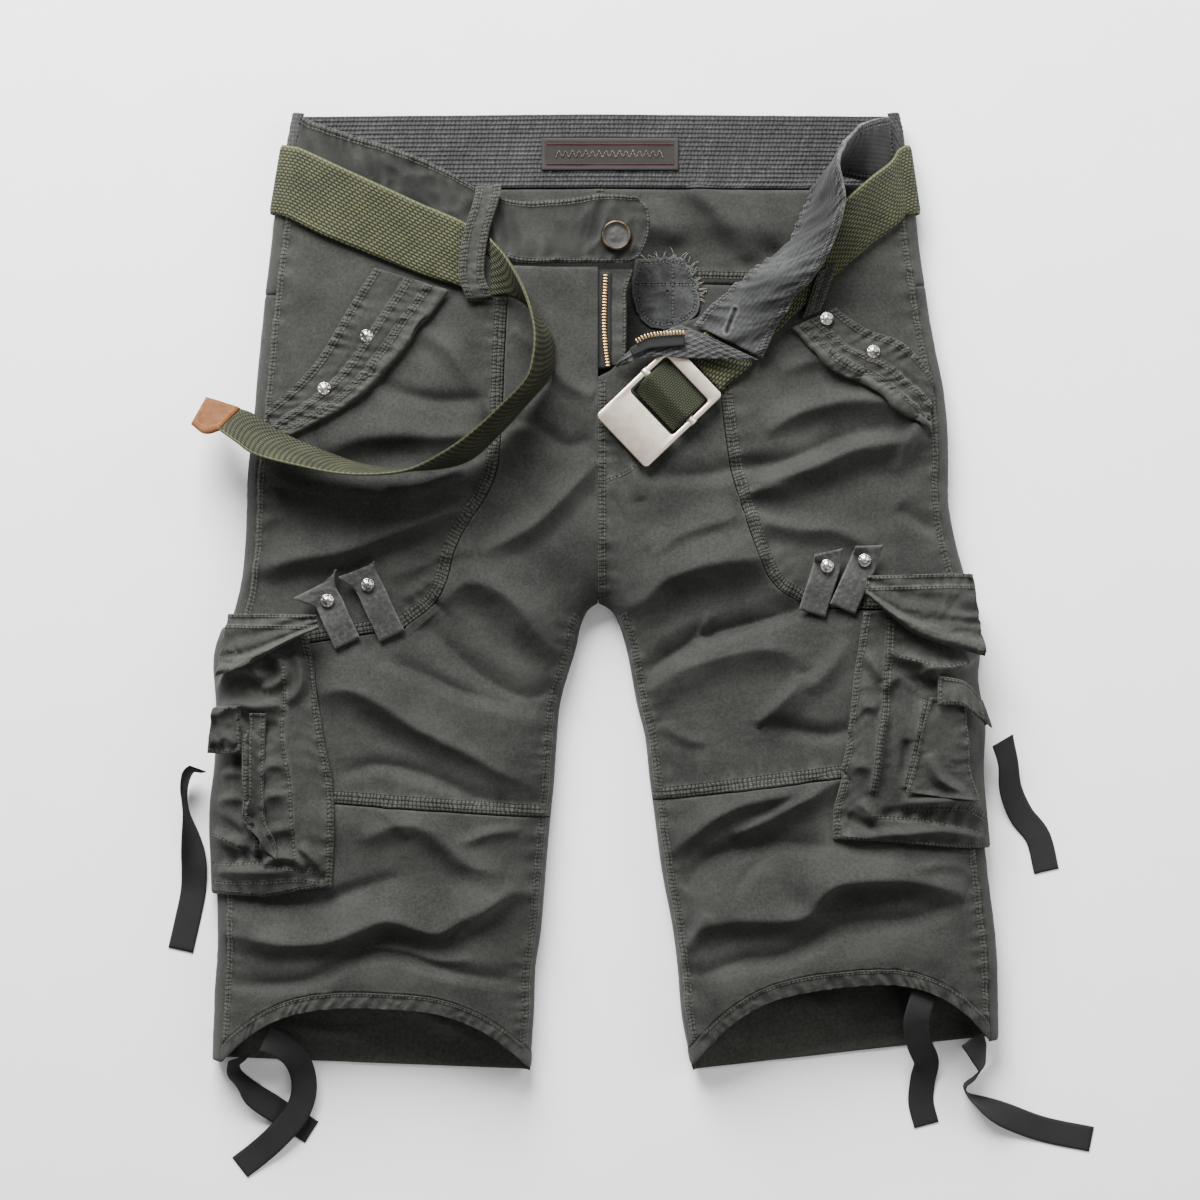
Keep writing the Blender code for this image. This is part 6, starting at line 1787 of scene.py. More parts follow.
def band_between(node, kind, edges, thickness, look, columns, relief=None, fade=None, cup=0.0):
    """A strip that stands for a solid, about the middle between two edge curves.

    look is its finish and a slot, which is not used, and cup raises its edges.
    """
    grid = strip_grid(*edges, columns)
    grid[..., 2] += np.outer(cup * np.ones(len(grid)), np.linspace(-1, 1, columns + 1) ** 2)
    normals = grid_normals(grid)
    along, across = run_lengths(grid, 0), run_lengths(grid, 1)
    sewing = Sewing(grid.shape[:2])
    if relief:
        sewing.relief += relief(along, across)
    if fade:
        sewing.fade += fade(along, across)
    weave = np.stack([along, across], axis=-1)
    finish, slot = look
    inner = grid - normals * thickness / 2
    piece = cloth(node + "_" + kind, inner, normals, thickness, finish, sewing, weave)
    return belongs(piece, (node,))


def level_edges(path, across):
    """Both edges of a strip on the front, across to either side of its path, at one level."""
    upper, _ = on_front(path + across, 0.0, 0.0)
    lower, _ = on_front(path - across, 0.0, 0.0)
    upper[:, 2] = lower[:, 2] = np.maximum(upper[:, 2], lower[:, 2])
    return upper, lower


def felt_relief(along, across):
    """Felt's lumps, lower towards its edges."""
    from_middle = np.abs(across / TAB_WIDTH - 0.5) * 2
    return 0.3 * lattice_noise(along, across, 2.4, 161) - 0.4 * from_middle ** 4


def felt_fade(along, across):
    """Pale worn edges and mottling of felt."""
    near = np.minimum(across, np.abs(TAB_WIDTH - across))
    return 0.45 * bell(near, 1.2) + 0.25 * lattice_noise(along, across, 1.6, 163)


def knee_tabs():
    """Felt tabs that stand over the front seam, each with a rivet and a curled free end."""
    for name, (fx, fy, rx, ry, ex, ey, curl, flare, lean) in KNEE_TABS.items():
        middle = ((fx + rx) / 2, (fy + ry) / 2)
        path = through(((fx, fy), middle, (rx, ry), (ex, ey)), TAB_STEPS)
        share = np.linspace(0, 1, len(path))
        height = np.interp(share, TAB_SHARES, (TAB_STAND / 2, TAB_STAND + 0.6, TAB_STAND, curl))
        height = np.convolve(np.pad(height, TAB_SMOOTH, "edge"), SMOOTHING, "valid")
        run = directions(path)
        free = smoothstep((share - RIVET_SHARE) / (1 - RIVET_SHARE))[:, None]
        across = np.stack([-run[:, 1], run[:, 0]], axis=1) * TAB_WIDTH / 2 * (1 + (flare - 1) * free)
        across += run * lean * free
        upper, lower = level_edges(path, across)
        level = upper[:, 2] + height + TAB_CLOTH / 2
        upper[:, 2] = lower[:, 2] = level
        band_between(name, "felt", (upper, lower), TAB_CLOTH, ("felt", "felt"), TAB_COLUMNS,
                             felt_relief, felt_fade, TAB_CUP * free[:, 0])
        seat_z = np.interp(RIVET_SHARE, share, level) + TAB_CLOTH / 2 + RIVET_SEAT
        rivet(name.replace("knee_tab", "tab_rivet"), (rx, ry, seat_z), (0, 0, 1))


# ---------------------------------------------------------------- hardware

# Sections of the round pieces: radius, height
RIVET_PROFILE = (
    (0, -0.2), (3.6, -0.2), (4.6, -0.1), (4.72, 0.3), (4.5, 0.85), (4.0, 1.1), (3.5, 0.95), (3.1, 1.05),
    (2.6, 1.5), (2.0, 1.85), (1.2, 2.15), (0, 2.25),
)
BUTTON_PROFILE = (
    (0, 0), (9.6, 0.0), (10.4, 0.5), (10.55, 1.3), (10.0, 2.2), (9.2, 2.6), (8.5, 2.45), (8.0, 1.9),
    (7.0, 1.5), (6.0, 1.35), (5.0, 1.4), (4.0, 1.55), (3.0, 1.7), (2.0, 1.75), (1.0, 1.8), (0, 1.8),
)
BUTTON_RIM_SECTION = (
    (10.66, 0.9), (10.72, 1.3), (10.3, 2.15), (9.5, 2.72), (9.0, 2.7), (9.0, 2.6), (9.5, 2.5), (10.2, 1.9),
    (10.4, 1.1),
)
BUTTON_PLACE = (12.6, 248.5)
BUTTON_SEAT = 1.9
POCKET_RIVETS = {"r1": (-161, 178), "r2": (-190, 141), "l1": (159, 190), "l2": (191, 167)}
POCKET_RIVET_SEAT = LAY_GAP + CLOTH + 2.6


def rays_round(axis, turn):
    """The unit axis of a round piece and its unit rays at those turns."""
    axis = np.array(axis, float) / np.linalg.norm(axis)
    side = np.cross(axis, [0.0, 1.0, 0.0])
    side /= np.linalg.norm(side)
    return axis, np.cos(turn)[:, None] * side + np.sin(turn)[:, None] * np.cross(axis, side)


def turned(name, centre, axis, profile, sides, finish, flutes=0.0, dented=0.0):
    """A round piece: profile rows are radius, height along the axis from centre.

    flutes raises small petals round its middle, and dented lowers it unevenly.
    """
    turn = np.linspace(0, 2 * math.pi, sides, endpoint=False)
    axis, rays = rays_round(axis, turn)
    rows = np.array(profile[1:-1], float)
    radius = rows[:, :1] * np.ones(sides)
    height = rows[:, 1:] * np.ones(sides)
    height += flutes * np.cos(8 * turn)[None] * bell(radius - 3.4, 1.2) * (rows[:, 1:] > 0.5)
    dents = 0.5 + 0.5 * lattice_noise(radius * np.cos(turn), radius * np.sin(turn), 2.3, 171)
    height -= dented * dents * (rows[:, 1:] > 0.9)
    ring = np.array(centre) + axis * height[..., None] + radius[..., None] * rays
    ends = [np.array(centre) + axis * profile[0][1], np.array(centre) + axis * profile[-1][1]]
    points = np.concatenate([ring.reshape(-1, 3), ends])
    index = np.arange(ring.shape[0] * sides).reshape(-1, sides)
    after = np.roll(index, -1, axis=1)
    a, b, c, d = (part.ravel() for part in (index[:-1], after[:-1], after[1:], index[1:]))
    first, last = len(points) - 2, len(points) - 1
    faces = np.concatenate([np.stack([a, b, c], 1), np.stack([a, c, d], 1),
                            np.stack([np.full(sides, first), after[0], index[0]], 1),
                            np.stack([np.full(sides, last), index[-1], after[-1]], 1)])
    return mesh_object(name, points, outward(points, faces), finish)


def rivet(node, centre, axis):
    """A rivet's head with petals pressed into it."""
    piece = turned(node + "_head", centre, axis, RIVET_PROFILE, 40, "silver", 0.16, 0.12)
    belongs(piece, (node,))


def pocket_rivets():
    """Two rivets on the band of each slant pocket."""
    for key, place in POCKET_RIVETS.items():
        points, normal = on_front(np.array([place], float), POCKET_RIVET_SEAT, 0.0)
        rivet("pocket_rivet_" + key, points[0], normal[0])


def button():
    """The button on the waistband's end: a dented dark plate with a worn brass rim."""
    centre, normal = on_front(np.array([BUTTON_PLACE]), BUTTON_SEAT, 0.0)
    plate = turned("button_plate", centre[0], normal[0], BUTTON_PROFILE, 48, "dark_metal", dented=0.35)
    belongs(plate, ("button",))
    axis, rays = rays_round(normal[0], np.linspace(0, 2 * math.pi, 48, endpoint=False))
    section = np.array(BUTTON_RIM_SECTION)
    points = centre[0] + rays[:, None] * section[None, :, :1] + axis * section[None, :, 1:]
    belongs(looped_piece("button_rim", points, "old_brass"))


# The belt's buckle: a plate with a window, a bar across the window and the bar's lugs outside it
BUCKLE_CENTRE = (42.5, 129.5, 46.8)
BUCKLE_TURN = math.radians(43.6)
BUCKLE_LENGTH = 74.0
BUCKLE_WIDTH = 51.0
BUCKLE_PLATE = 3.0
WINDOW_START = 29.0
WINDOW_END = 64.0
PLATE_CORNER = 3.5
WINDOW_CORNER = 2.5
RAIL = 4.0
BAR_RADIUS = 2.4
BAR_ALONG = 46.0
BAR_Z = BUCKLE_PLATE / 2 - 1.0
PLATE_BEVEL = 0.9
BAR_CHAMFER = 0.4
LUG_RADIUS = 3.3
LUG_CHAMFER = 0.5
LUG_INSIDE = 2.2
LUG_OUTSIDE = 0.5
# The plate's rounded edge from its underside up: how far in, and how high
PLATE_EDGE = (
    (0.25 * PLATE_BEVEL, 0), (0, 0.5 * PLATE_BEVEL), (0, BUCKLE_PLATE - PLATE_BEVEL),
    (0.3 * PLATE_BEVEL, BUCKLE_PLATE - 0.3 * PLATE_BEVEL), (PLATE_BEVEL, BUCKLE_PLATE),
)


def buckle_frame_axes():
    """The middle of the buckle's hook edge, and the plan directions along and across the plate."""
    along = np.array([math.cos(BUCKLE_TURN), math.sin(BUCKLE_TURN), 0.0])
    across = np.array([-math.sin(BUCKLE_TURN), math.cos(BUCKLE_TURN), 0.0])
    corner = np.array(BUCKLE_CENTRE) - along * BUCKLE_LENGTH / 2
    return corner, along, across


def rounded_rectangle(x0, y0, x1, y1, radius, steps=8):
    """Plan points round a rectangle with round corners."""
    ring = []
    for cx, cy, start in ((x1 - radius, y1 - radius, 0), (x0 + radius, y1 - radius, 90),
                          (x0 + radius, y0 + radius, 180), (x1 - radius, y0 + radius, 270)):
        for k in range(steps + 1):
            a = math.radians(start + 90 * k / steps)
            ring.append((cx + radius * math.cos(a), cy + radius * math.sin(a)))
    return np.array(ring)


def buckle_plate(corner, along, across):
    """The plate with its window and bevelled edges."""
    half = BUCKLE_WIDTH / 2
    rings = [(rounded_rectangle(reach, -half + reach, BUCKLE_LENGTH - reach, half - reach,
                                PLATE_CORNER - reach), z) for reach, z in PLATE_EDGE]
    rings += [(rounded_rectangle(WINDOW_START - reach, -half + RAIL - reach, WINDOW_END + reach,
                                 half - RAIL + reach, WINDOW_CORNER + reach), z)
              for reach, z in PLATE_EDGE[::-1]]
    points = [[corner + along * p + across * q + [0, 0, z] for p, q in plan] for plan, z in rings]
    belongs(looped_piece("buckle_plate", np.array(points), "nickel"), ("buckle_frame",))


def rod_profile(radius, start, end, chamfer):
    """A rod's section with chamfered ends, from start to end along its axis."""
    step = math.copysign(chamfer, end - start)
    return ((0, start), (radius - chamfer, start), (radius, start + step), (radius, end - step),
            (radius - chamfer, end), (0, end))


def buckle():
    """The buckle's plate, the bar across its window and the bar's lugs at either end."""
    corner, along, across = buckle_frame_axes()
    buckle_plate(corner, along, across)
    half = BUCKLE_WIDTH / 2
    bar_centre = corner + along * BAR_ALONG + np.array([0, 0, BAR_Z])
    reach = half - RAIL - SEAM_GAP
    bar = turned("buckle_rod", bar_centre, across, rod_profile(BAR_RADIUS, -reach, reach, BAR_CHAMFER), 28,
                 "nickel")
    belongs(bar, ("buckle_bar",))
    for key, sign in (("a", 1.0), ("b", -1.0)):
        start, end = sign * (half - RAIL - LUG_INSIDE), sign * (half + LUG_OUTSIDE)
        lug = turned("buckle_lug_" + key, bar_centre, across,
                     rod_profile(LUG_RADIUS, start, end, LUG_CHAMFER), 24, "nickel")
        belongs(lug)


# ---------------------------------------------------------------- belt

BELT_CLOTH = 2.2
BELT_CENTRE_Z = 3.3
# Pairs of points on the belt's upper and lower edge: x, y and height over the front for the front
# stretches, and x, y, z for the free end and its tip
BELT_FRONT_R = (
    (-208, 311, 0, -216, 262, 0), (-180, 297, 0, -190, 248, 0), (-152, 284, 0, -158, 235, 0),
    (-124, 271, 0, -128, 223, 0), (-98, 260, 0, -100, 214, 0), (-80, 250, 0, -79, 206, 0),
)
BELT_FRONT_L = (
    (209, 310, 1, 214, 264, 0), (203, 300, 7, 208, 256, 1), (187, 286, 19, 190, 242, 1.5),
    (168, 268, 21, 172, 226, 1.5), (152, 251, 13, 156, 211, 1.5), (136, 234, 2.5, 142, 198, 1.5),
    (110, 212, 1.2, 124, 180, 1.2), (92, 200, 1.2, 110, 163, 1.2), (80, 186, 1.6, 104, 154, 1.6),
    (66, 174, 2.0, 92, 146, 2.0), (59, 167, 2.2, 86, 139, 2.2),
)
BELT_TAIL = (
    (-75, 246, 48, -74, 205, 46), (-62, 230, 58, -60, 205, 45), (-50, 205, 75, -46, 196, 45),
    (-44, 180, 85, -32, 178, 42), (-45, 160, 88, -30, 160, 42), (-50, 145, 88, -34, 148, 42),
    (-66, 128, 87, -48, 132, 43), (-88, 108, 88, -68, 110, 44), (-108, 94, 90, -92, 90, 45),
    (-133, 82, 93, -128, 85, 46), (-170, 80, 91, -160, 88, 47), (-205, 86, 84, -190, 98, 49),
    (-235, 94, 76, -222, 112, 44), (-249, 103, 68, -240, 124, 38), (-262, 112, 58, -250, 128, 30),
)
BELT_TIP = ((-262.4, 112.4, 57.4, -250.4, 128.4, 29.4), (-273, 110, 50, -266, 134, 22),
            (-283.18, 117, 42, -276, 137, 16))
BELT_R_STAND = 3.8
BELT_L_STAND = 2.6
WRAP_STAND = 3.0
WRAP_ANGLES = (0, 15, 30, 45, 60, 75, 90)
WRAP_REACHES = (1.2, 4.0)
BELT_UPPER_Y = 314.0
BELT_LOWER_Y = 266.0
BELT_BACK_HALF = 190.0
BELT_BACK_STEPS = 24
BELT_R_STEPS = 40
BELT_L_STEPS = 80
TAIL_STEPS = 120
TIP_CLOTH = BELT_CLOTH + 1.4
BELT_COLUMNS = 16
BELT_STEPS = 420
WEB_WIDTH = 48
WEB_LOOK = ("webbing", "webbing")
# Fading of the free end's middle, which lies in the shade of its upper edge
TAIL_MIDDLE = -0.16
TIP_GRID = 24
TIP_STITCH_PITCH = 2.7
# Rows and columns of the tip's grid that its stitches follow
TIP_STITCH_LINES = (
    (slice(2, 23), 3), (slice(2, 23), 21), (2, slice(3, 22)), (22, slice(3, 22)),
)


def belt_wrap(side):
    """Edge pairs of the belt from the back stretch up round the side fold."""
    pairs = []
    stand = WAIST_LIFT - BELT_CENTRE_Z
    for angle in WRAP_ANGLES:
        a = math.radians(angle)
        pair = []
        for y in (BELT_UPPER_Y, BELT_LOWER_Y):
            radius = FOLD_RADIUS + stand + math.sin(a)
            reach = FOLD_RADIUS - radius * math.sin(a)
            z = WAIST_LIFT + FOLD_RADIUS - radius * math.cos(a)
            pair.append(np.array([*inward_of(side, y, reach), z]))
        pairs.append(pair)
    for reach in WRAP_REACHES:
        plan = np.array([inward_of(side, y, reach) for y in (BELT_UPPER_Y, BELT_LOWER_Y)])
        pairs.append(list(on_front(plan, WRAP_STAND, 0.0)[0]))
    return pairs


def belt_back():
    """Edge pairs of the belt's back stretch with its wraps round both side folds."""
    pairs = belt_wrap("r")[::-1]
    for x in np.linspace(-BELT_BACK_HALF, BELT_BACK_HALF, BELT_BACK_STEPS):
        pairs.append([np.array([x, y, BELT_CENTRE_Z]) for y in (BELT_UPPER_Y, BELT_LOWER_Y)])
    return pairs + belt_wrap("l")


def belt_front(table, stand, steps):
    """Edge pairs of a front stretch of the belt, from the side fold."""
    pairs = []
    for ux, uy, uh, lx, ly, lh in resample(through(table, CURVE_STEPS), steps):
        pair, _ = on_front(np.array([(ux, uy), (lx, ly)]), stand, 0.0)
        pair[:, 2] += (uh, lh)
        pairs.append(pair)
    return pairs


def selvedge(width, middle):
    """Fading function that makes both edges of a webbing brighter than its middle."""
    def fade(along, across):
        near = np.minimum(across, width - across)
        return middle + 0.55 * bell(near, 1.3)
    return fade


def belt():
    """The webbing round the waist, its free end on edge and the leather tip."""
    right = belt_front(BELT_FRONT_R, BELT_R_STAND, BELT_R_STEPS)
    left = belt_front(BELT_FRONT_L, BELT_L_STAND, BELT_L_STEPS)
    edges = np.array(right[::-1] + belt_back() + left)
    edges = at_shares(edges.reshape(len(edges), 6), np.linspace(0, 1, BELT_STEPS))
    loose = resample(through(BELT_TAIL, CURVE_STEPS), TAIL_STEPS)
    for node, line, middle in (("belt_web", edges, 0.0), ("belt_tail", loose, TAIL_MIDDLE)):
        band_between(node, "weave", (line[:, :3], line[:, 3:]), BELT_CLOTH, WEB_LOOK, BELT_COLUMNS,
                             fade=selvedge(WEB_WIDTH, middle))
    tip = resample(through(BELT_TIP, CURVE_STEPS), TIP_GRID)
    sides = (tip[:, :3], tip[:, 3:])
    band_between("belt_tip", "leather", sides, TIP_CLOTH, ("leather", "leather"), TIP_GRID)
    tip_stitches(strip_grid(*sides, TIP_GRID))


def tip_stitches(grid):
    """Orange stitches on both faces of the leather end, a little inside its edges."""
    normals = grid_normals(grid)
    for face in (1.0, -1.0):
        raised = grid + normals * face * (TIP_CLOTH / 2 + 0.1)
        for rows, columns in TIP_STITCH_LINES:
            sew("tip", raised[rows, columns], normals[rows, columns] * face, "orange_thread",
                TIP_STITCH_PITCH)


BIGHT_BEFORE = ((74.2, -2.0), (69.0, -1.9), (63.0, -1.7), (57.0, 0.2))
BIGHT_ANGLES = (62, 90, 112)
BIGHT_AFTER = ((41.0, 2.4), (38.0, 0.2), (35.0, -1.6), (31.6, -3.0))
BIGHT_SIDE_GAP = 1.2
BIGHT_COLUMNS = 24
BIGHT_STAND = 0.6


def buckle_webbing():
    """The belt's fixed end: under the frame's rail, over the bar and back down."""
    corner, along, across = buckle_frame_axes()
    half = BUCKLE_WIDTH / 2 - RAIL - BIGHT_SIDE_GAP
    reach = BAR_RADIUS + BELT_CLOTH / 2 + BIGHT_STAND
    path = list(BIGHT_BEFORE)
    for angle in BIGHT_ANGLES:
        a = math.radians(angle)
        path.append((BAR_ALONG + reach * math.cos(a), BAR_Z + reach * math.sin(a)))
    path += BIGHT_AFTER
    base = np.array([corner + along * a + np.array([0, 0, z]) for a, z in through(path, 6)])
    band_between("belt_bight", "weave", (base + across * half, base - across * half), BELT_CLOTH,
                         ("dark_webbing", "webbing"), BIGHT_COLUMNS)


# Loops at the back: x of each, and y, z down their middle line; loops in front: x, y and height over
# the front down their middle line, the direction across it, and width
BACK_LOOPS = {"belt_loop_b1": -122.0, "belt_loop_b2": 122.0}
BACK_LOOP_PATH = ((334, 3.0), (322, 1.0), (316, 0.8), (264, 0.8), (258, 1.0), (251, 1.4))
FRONT_LOOPS = {
    "belt_loop_r": (((-76, 284, 3), (-78, 272, 8.5), (-85, 248, 9.2), (-88, 222, 9), (-84, 208, 7.5),
                     (-82, 202, 3.2)), (1.0, 0.08), 18.0),
    "belt_loop_l": (((160, 226, 12.0), (156, 216, 9.0), (152, 203, 7.4), (149, 193, 3.6)),
                    (0.92, 0.38), 14.0),
}
LOOP_WIDTH = 13.0
LOOP_COLUMNS = 18


def belt_loops():
    """Two loops under the belt at the back and two over it in front."""
    for name, x in BACK_LOOPS.items():
        path = at_shares([(x, y, z) for y, z in BACK_LOOP_PATH], np.linspace(0, 1, 50))
        half = np.array([LOOP_WIDTH / 2, 0, 0])
        loop(name, path - half, path + half)
    for name, (path, across, width) in FRONT_LOOPS.items():
        fine = through(path, 14)
        across = np.array(across) / np.linalg.norm(across) * width / 2
        upper, lower = level_edges(fine[:, :2], across)
        upper[:, 2] = lower[:, 2] = upper[:, 2] + fine[:, 2]
        loop(name, upper, lower)


def loop(name, upper, lower):
    """One belt loop between its two edges, doubled and stitched along both of them."""
    grid = strip_grid(upper, lower, LOOP_COLUMNS)
    normals = grid_normals(grid)
    sewing = bordered(grid, (("left", THREE_ROWS), ("right", THREE_ROWS)), 0.35, 7.0, 181)
    sewing.relief -= sewing.relief.max()
    sewing.fade += 0.15
    sewn_sheet(name, grid - normals * CLOTH / 2, normals, sewing)


# ---------------------------------------------------------------- free tapes

TAPE_WIDTH = 18.0
TAPE_CLOTH = 1.2
# Each tape: x, y, z of its middle line and the lean of its width from flat, in degrees
TAPES = {
    "hem_tape_r1": ((-233, -312, 36, 10), (-225, -316, 32, 15), (-215, -324, 23, 15), (-209, -338, 11, 8),
                    (-208, -354, 8, 0), (-214, -370, 7.5, 0), (-227, -385, 6, 0), (-240, -397, 2.6, 0),
                    (-254, -408, 0.8, 0)),
    "hem_tape_r2": ((-252, -327, 22, 50), (-256, -338, 13, 70), (-250, -348, 9, 60), (-242, -357, 6, 30),
                    (-228, -367, 2.6, 8), (-214, -376, 0.8, 0), (-203, -383, 0.8, 0)),
    "hem_tape_l1": ((228, -279, 38, 6), (224, -290, 40, 6), (222, -302, 36, 5), (226, -318, 22, 5),
                    (232, -332, 9, 5), (230, -346, 3, 2), (229, -362, 0.9, 0), (233, -378, 0.8, 0)),
    "hem_tape_l2": ((262, -313, 26, 10), (268, -324, 19, 35), (271, -335, 12, 70), (266, -343, 9.6, 86),
                    (259, -349, 9.5, 88), (262, -356, 9.5, 84), (275, -364, 7.4, 50), (292, -372, 4.4, 14),
                    (316, -381, 0.9, 0), (350, -388, 0.8, 0)),
    "cargo_tape_r": ((-281, -124, 22, 60), (-288, -128, 18, 75), (-292, -140, 11, 82),
                     (-291, -156, 9.6, 82), (-288, -174, 8.2, 50), (-286, -192, 5.0, 14),
                     (-287, -212, 0.9, 0), (-291, -232, 0.8, 0), (-296, -254, 0.8, 0)),
    "cargo_tape_l1": ((284, -104, 24, 20), (289, -120, 14, 30), (292, -140, 6, 20), (300, -158, 1.5, 4),
                      (312, -174, 0.9, 0), (318, -198, 0.8, 0)),
}
TAPE_STEPS = 90
TAPE_COLUMNS = 12
TAPE_REST = 0.2
# Tapes whose free end is too short to be a cord; the script makes no cords for any tape
SHORT_TAPES = ("hem_tape_r2", "hem_tape_l1", "cargo_tape_l1")


def side_axes(line):
    """At each point of a line in space, its level unit vector across and the one square to both."""
    run = directions(line)
    level = unit(np.cross(run, [0.0, 0.0, 1.0]))
    return level, np.cross(level, run)


def tapes():
    """The free ends of the drawstrings, from their exits down onto the surface."""
    for name, table in TAPES.items():
        fine = resample(through(table, CURVE_STEPS), TAPE_STEPS)
        level, stand = side_axes(fine[:, :3])
        lean = np.radians(fine[:, 3])[:, None]
        across = (level * np.cos(lean) + stand * np.sin(lean)) * TAPE_WIDTH / 2
        upper, lower = fine[:, :3] + across, fine[:, :3] - across
        for edge in (upper, lower):
            edge[:, 2] = np.maximum(edge[:, 2], TAPE_CLOTH / 2 + TAPE_REST)
        piece = band_between(name, "ribbon", (upper, lower), TAPE_CLOTH, ("tape", "tape"), TAPE_COLUMNS)
        if name in SHORT_TAPES:
            continue


# ---------------------------------------------------------------- inside of the back

LABEL_LOW, LABEL_HIGH = (-40.0, 298.0), (57.0, 321.0)
LABEL_GAP = 0.7
LABEL_CLOTH = 0.8
LABEL_BASE_Z = WAIST_LIFT + BAND_CLOTH + LABEL_GAP
LABEL_POINTS = (98, 26)
LABEL_LINES_X = (-36.5, 53.5)
LABEL_LINES_Y = (302.5, 316.5)
# The label's zigzag: both ends, its lower corners' y, its height and its number of corners
ZIGZAG_X = (-30, 46)
ZIGZAG_Y = 306.6
ZIGZAG_HEIGHT = 6.0
ZIGZAG_CORNERS = 33
PATCH_RING = (
    (27, 236), (40, 236), (55, 238), (66, 231), (68, 222), (72, 210), (70, 197), (60, 189), (47, 186),
    (35, 189), (26, 202), (24, 220),
)
# Stitched lines over the patch: the axis that they cross, and where
PATCH_LINES = ((1, 216.5), (0, 51.5))
# The patch's edge is torn on the side that this direction points to, from this far off its middle
TORN_SIDE = (0.6, 0.8)
TORN_START = 6
TORN_WHOLE = 10
THREADS_START = 8
PATCH_GAP = 0.9
PATCH_CLOTH = 0.9
PATCH_SECTORS = 170
PATCH_RINGS = 38
LOOSE_THREADS = 34
THREAD_RADIUS = 0.22
THREAD_SIDES = 5


def label():
    """The bare woven label on the waistband's inner face, with two stitched lines and a zigzag."""
    x, y = (np.linspace(*ends) for ends in zip(LABEL_LOW, LABEL_HIGH, LABEL_POINTS))
    plan = np.stack(np.meshgrid(x, y), axis=-1)
    z = LABEL_BASE_Z + 0.35 + 0.35 * lattice_noise(plan[..., 0], plan[..., 1], 14, 191)
    points = np.concatenate([plan, z[..., None]], axis=-1)
    normals = grid_normals(points)
    normals *= np.sign(normals[..., 2:].mean())
    edge = np.minimum(np.minimum(plan[..., 0] - x[0], x[-1] - plan[..., 0]),
                      np.minimum(plan[..., 1] - y[0], y[-1] - plan[..., 1]))
    sewing = Sewing(edge.shape)
    sewing.relief += 0.3 * bell(edge - 1.6, 1.2)
    sewing.fade += 0.8 * bell(edge - 1.4, 0.9)
    weave = np.stack([plan[..., 0] - x[0], plan[..., 1] - y[0]], axis=-1)
    piece = cloth("label_weave", points, normals, LABEL_CLOTH, "label", sewing, weave)
    belongs(piece, ("label",))
    for height in LABEL_LINES_Y:
        line = np.stack([np.linspace(*LABEL_LINES_X, 70), np.full(70, height)], axis=1)
        sew_flat(line, LABEL_BASE_Z + LABEL_CLOTH + 0.75, "red_thread", 2.0)
    corners = np.linspace(*ZIGZAG_X, ZIGZAG_CORNERS)
    zigzag = [(corner, ZIGZAG_Y + ZIGZAG_HEIGHT * (k % 2)) for k, corner in enumerate(corners)]
    sew_flat(resample(zigzag, 160), LABEL_BASE_Z + LABEL_CLOTH + 0.7, "gold_thread", 2.3)


def torn_reach(ray):
    """How far rays from the patch's middle go towards its torn side."""
    return TORN_SIDE[0] * ray[:, 0] + TORN_SIDE[1] * ray[:, 1]


def patch():
    """The frayed round patch on the inside of the seat."""
    centre = np.mean(PATCH_RING, axis=0)
    ring = resample(through(PATCH_RING + PATCH_RING[:1], 12), PATCH_SECTORS)
    ray = ring - centre
    turn = np.arctan2(ray[:, 1], ray[:, 0])
    ragged = smoothstep((torn_reach(ray) - TORN_START) / TORN_WHOLE)
    torn = 1.0 + 0.02 * lattice_noise(turn * 9, 0 * turn, 1.0, 201)
    torn += 0.07 * lattice_noise(turn * 14, 0 * turn, 1.0, 202) * ragged
    torn[-1] = torn[0]
    share = np.linspace(0.03, 1, PATCH_RINGS)[:, None]
    plan = centre + ray[None] * share[..., None] * torn[None, :, None]
    x, y = plan[..., 0], plan[..., 1]
    bulge = 0.5 * lattice_noise(1.4 * x, 0.7 * y, 11, 203) + 0.6 * crumple(x, y, 11, 204)
    z = CLOTH + PATCH_GAP + 1.0 + np.maximum(bulge, -0.8)
    points = np.concatenate([plan, z[..., None]], axis=-1)
    sewing = Sewing(x.shape)
    sewing.fade += 0.35 * smoothstep((share - 0.9) / 0.1)
    sewing.fade += 0.1 + 0.2 * lattice_noise(x, y, 6, 205)
    border = (1 - share) * 25 - 2.0
    sewing.mark(turn[None] * 25, border, np.minimum(border, TWO_ROWS - border))
    for axis, start in PATCH_LINES:
        away = plan[..., axis] - start
        inside = np.minimum(away, TWO_ROWS - away)
        sewing.mark(plan[..., 1 - axis], away, np.where(share < 0.8, inside, FAR))
    sewn_sheet("inner_patch", points, upright(points), sewing, PATCH_CLOTH, "inside")
    loose_threads(centre, ring)


def upright(points):
    """A vector straight up for each point."""
    return np.zeros_like(points) + (0.0, 0.0, 1.0)


def loose_threads(centre, ring):
    """Short threads that hang from the patch's torn edge."""
    rng = np.random.RandomState(206)
    rows = []
    torn = ring[torn_reach(ring - centre) > THREADS_START]
    for _ in range(LOOSE_THREADS):
        start = torn[rng.randint(len(torn))]
        out = (start - centre) / np.linalg.norm(start - centre)
        side = np.array([-out[1], out[0]])
        length = rng.uniform(2.0, 6.0)
        bend = rng.uniform(-0.6, 0.6)
        t = np.linspace(0, 1, 5)[:, None]
        plan = start + out * length * t + side * (bend * length * t ** 2)
        z = CLOTH + PATCH_GAP + 1.4 + 0.9 * np.sin(math.pi * t)
        rows.append(np.concatenate([plan, z], axis=1))
    thread_object("patch_threads", rows, "pale_thread")


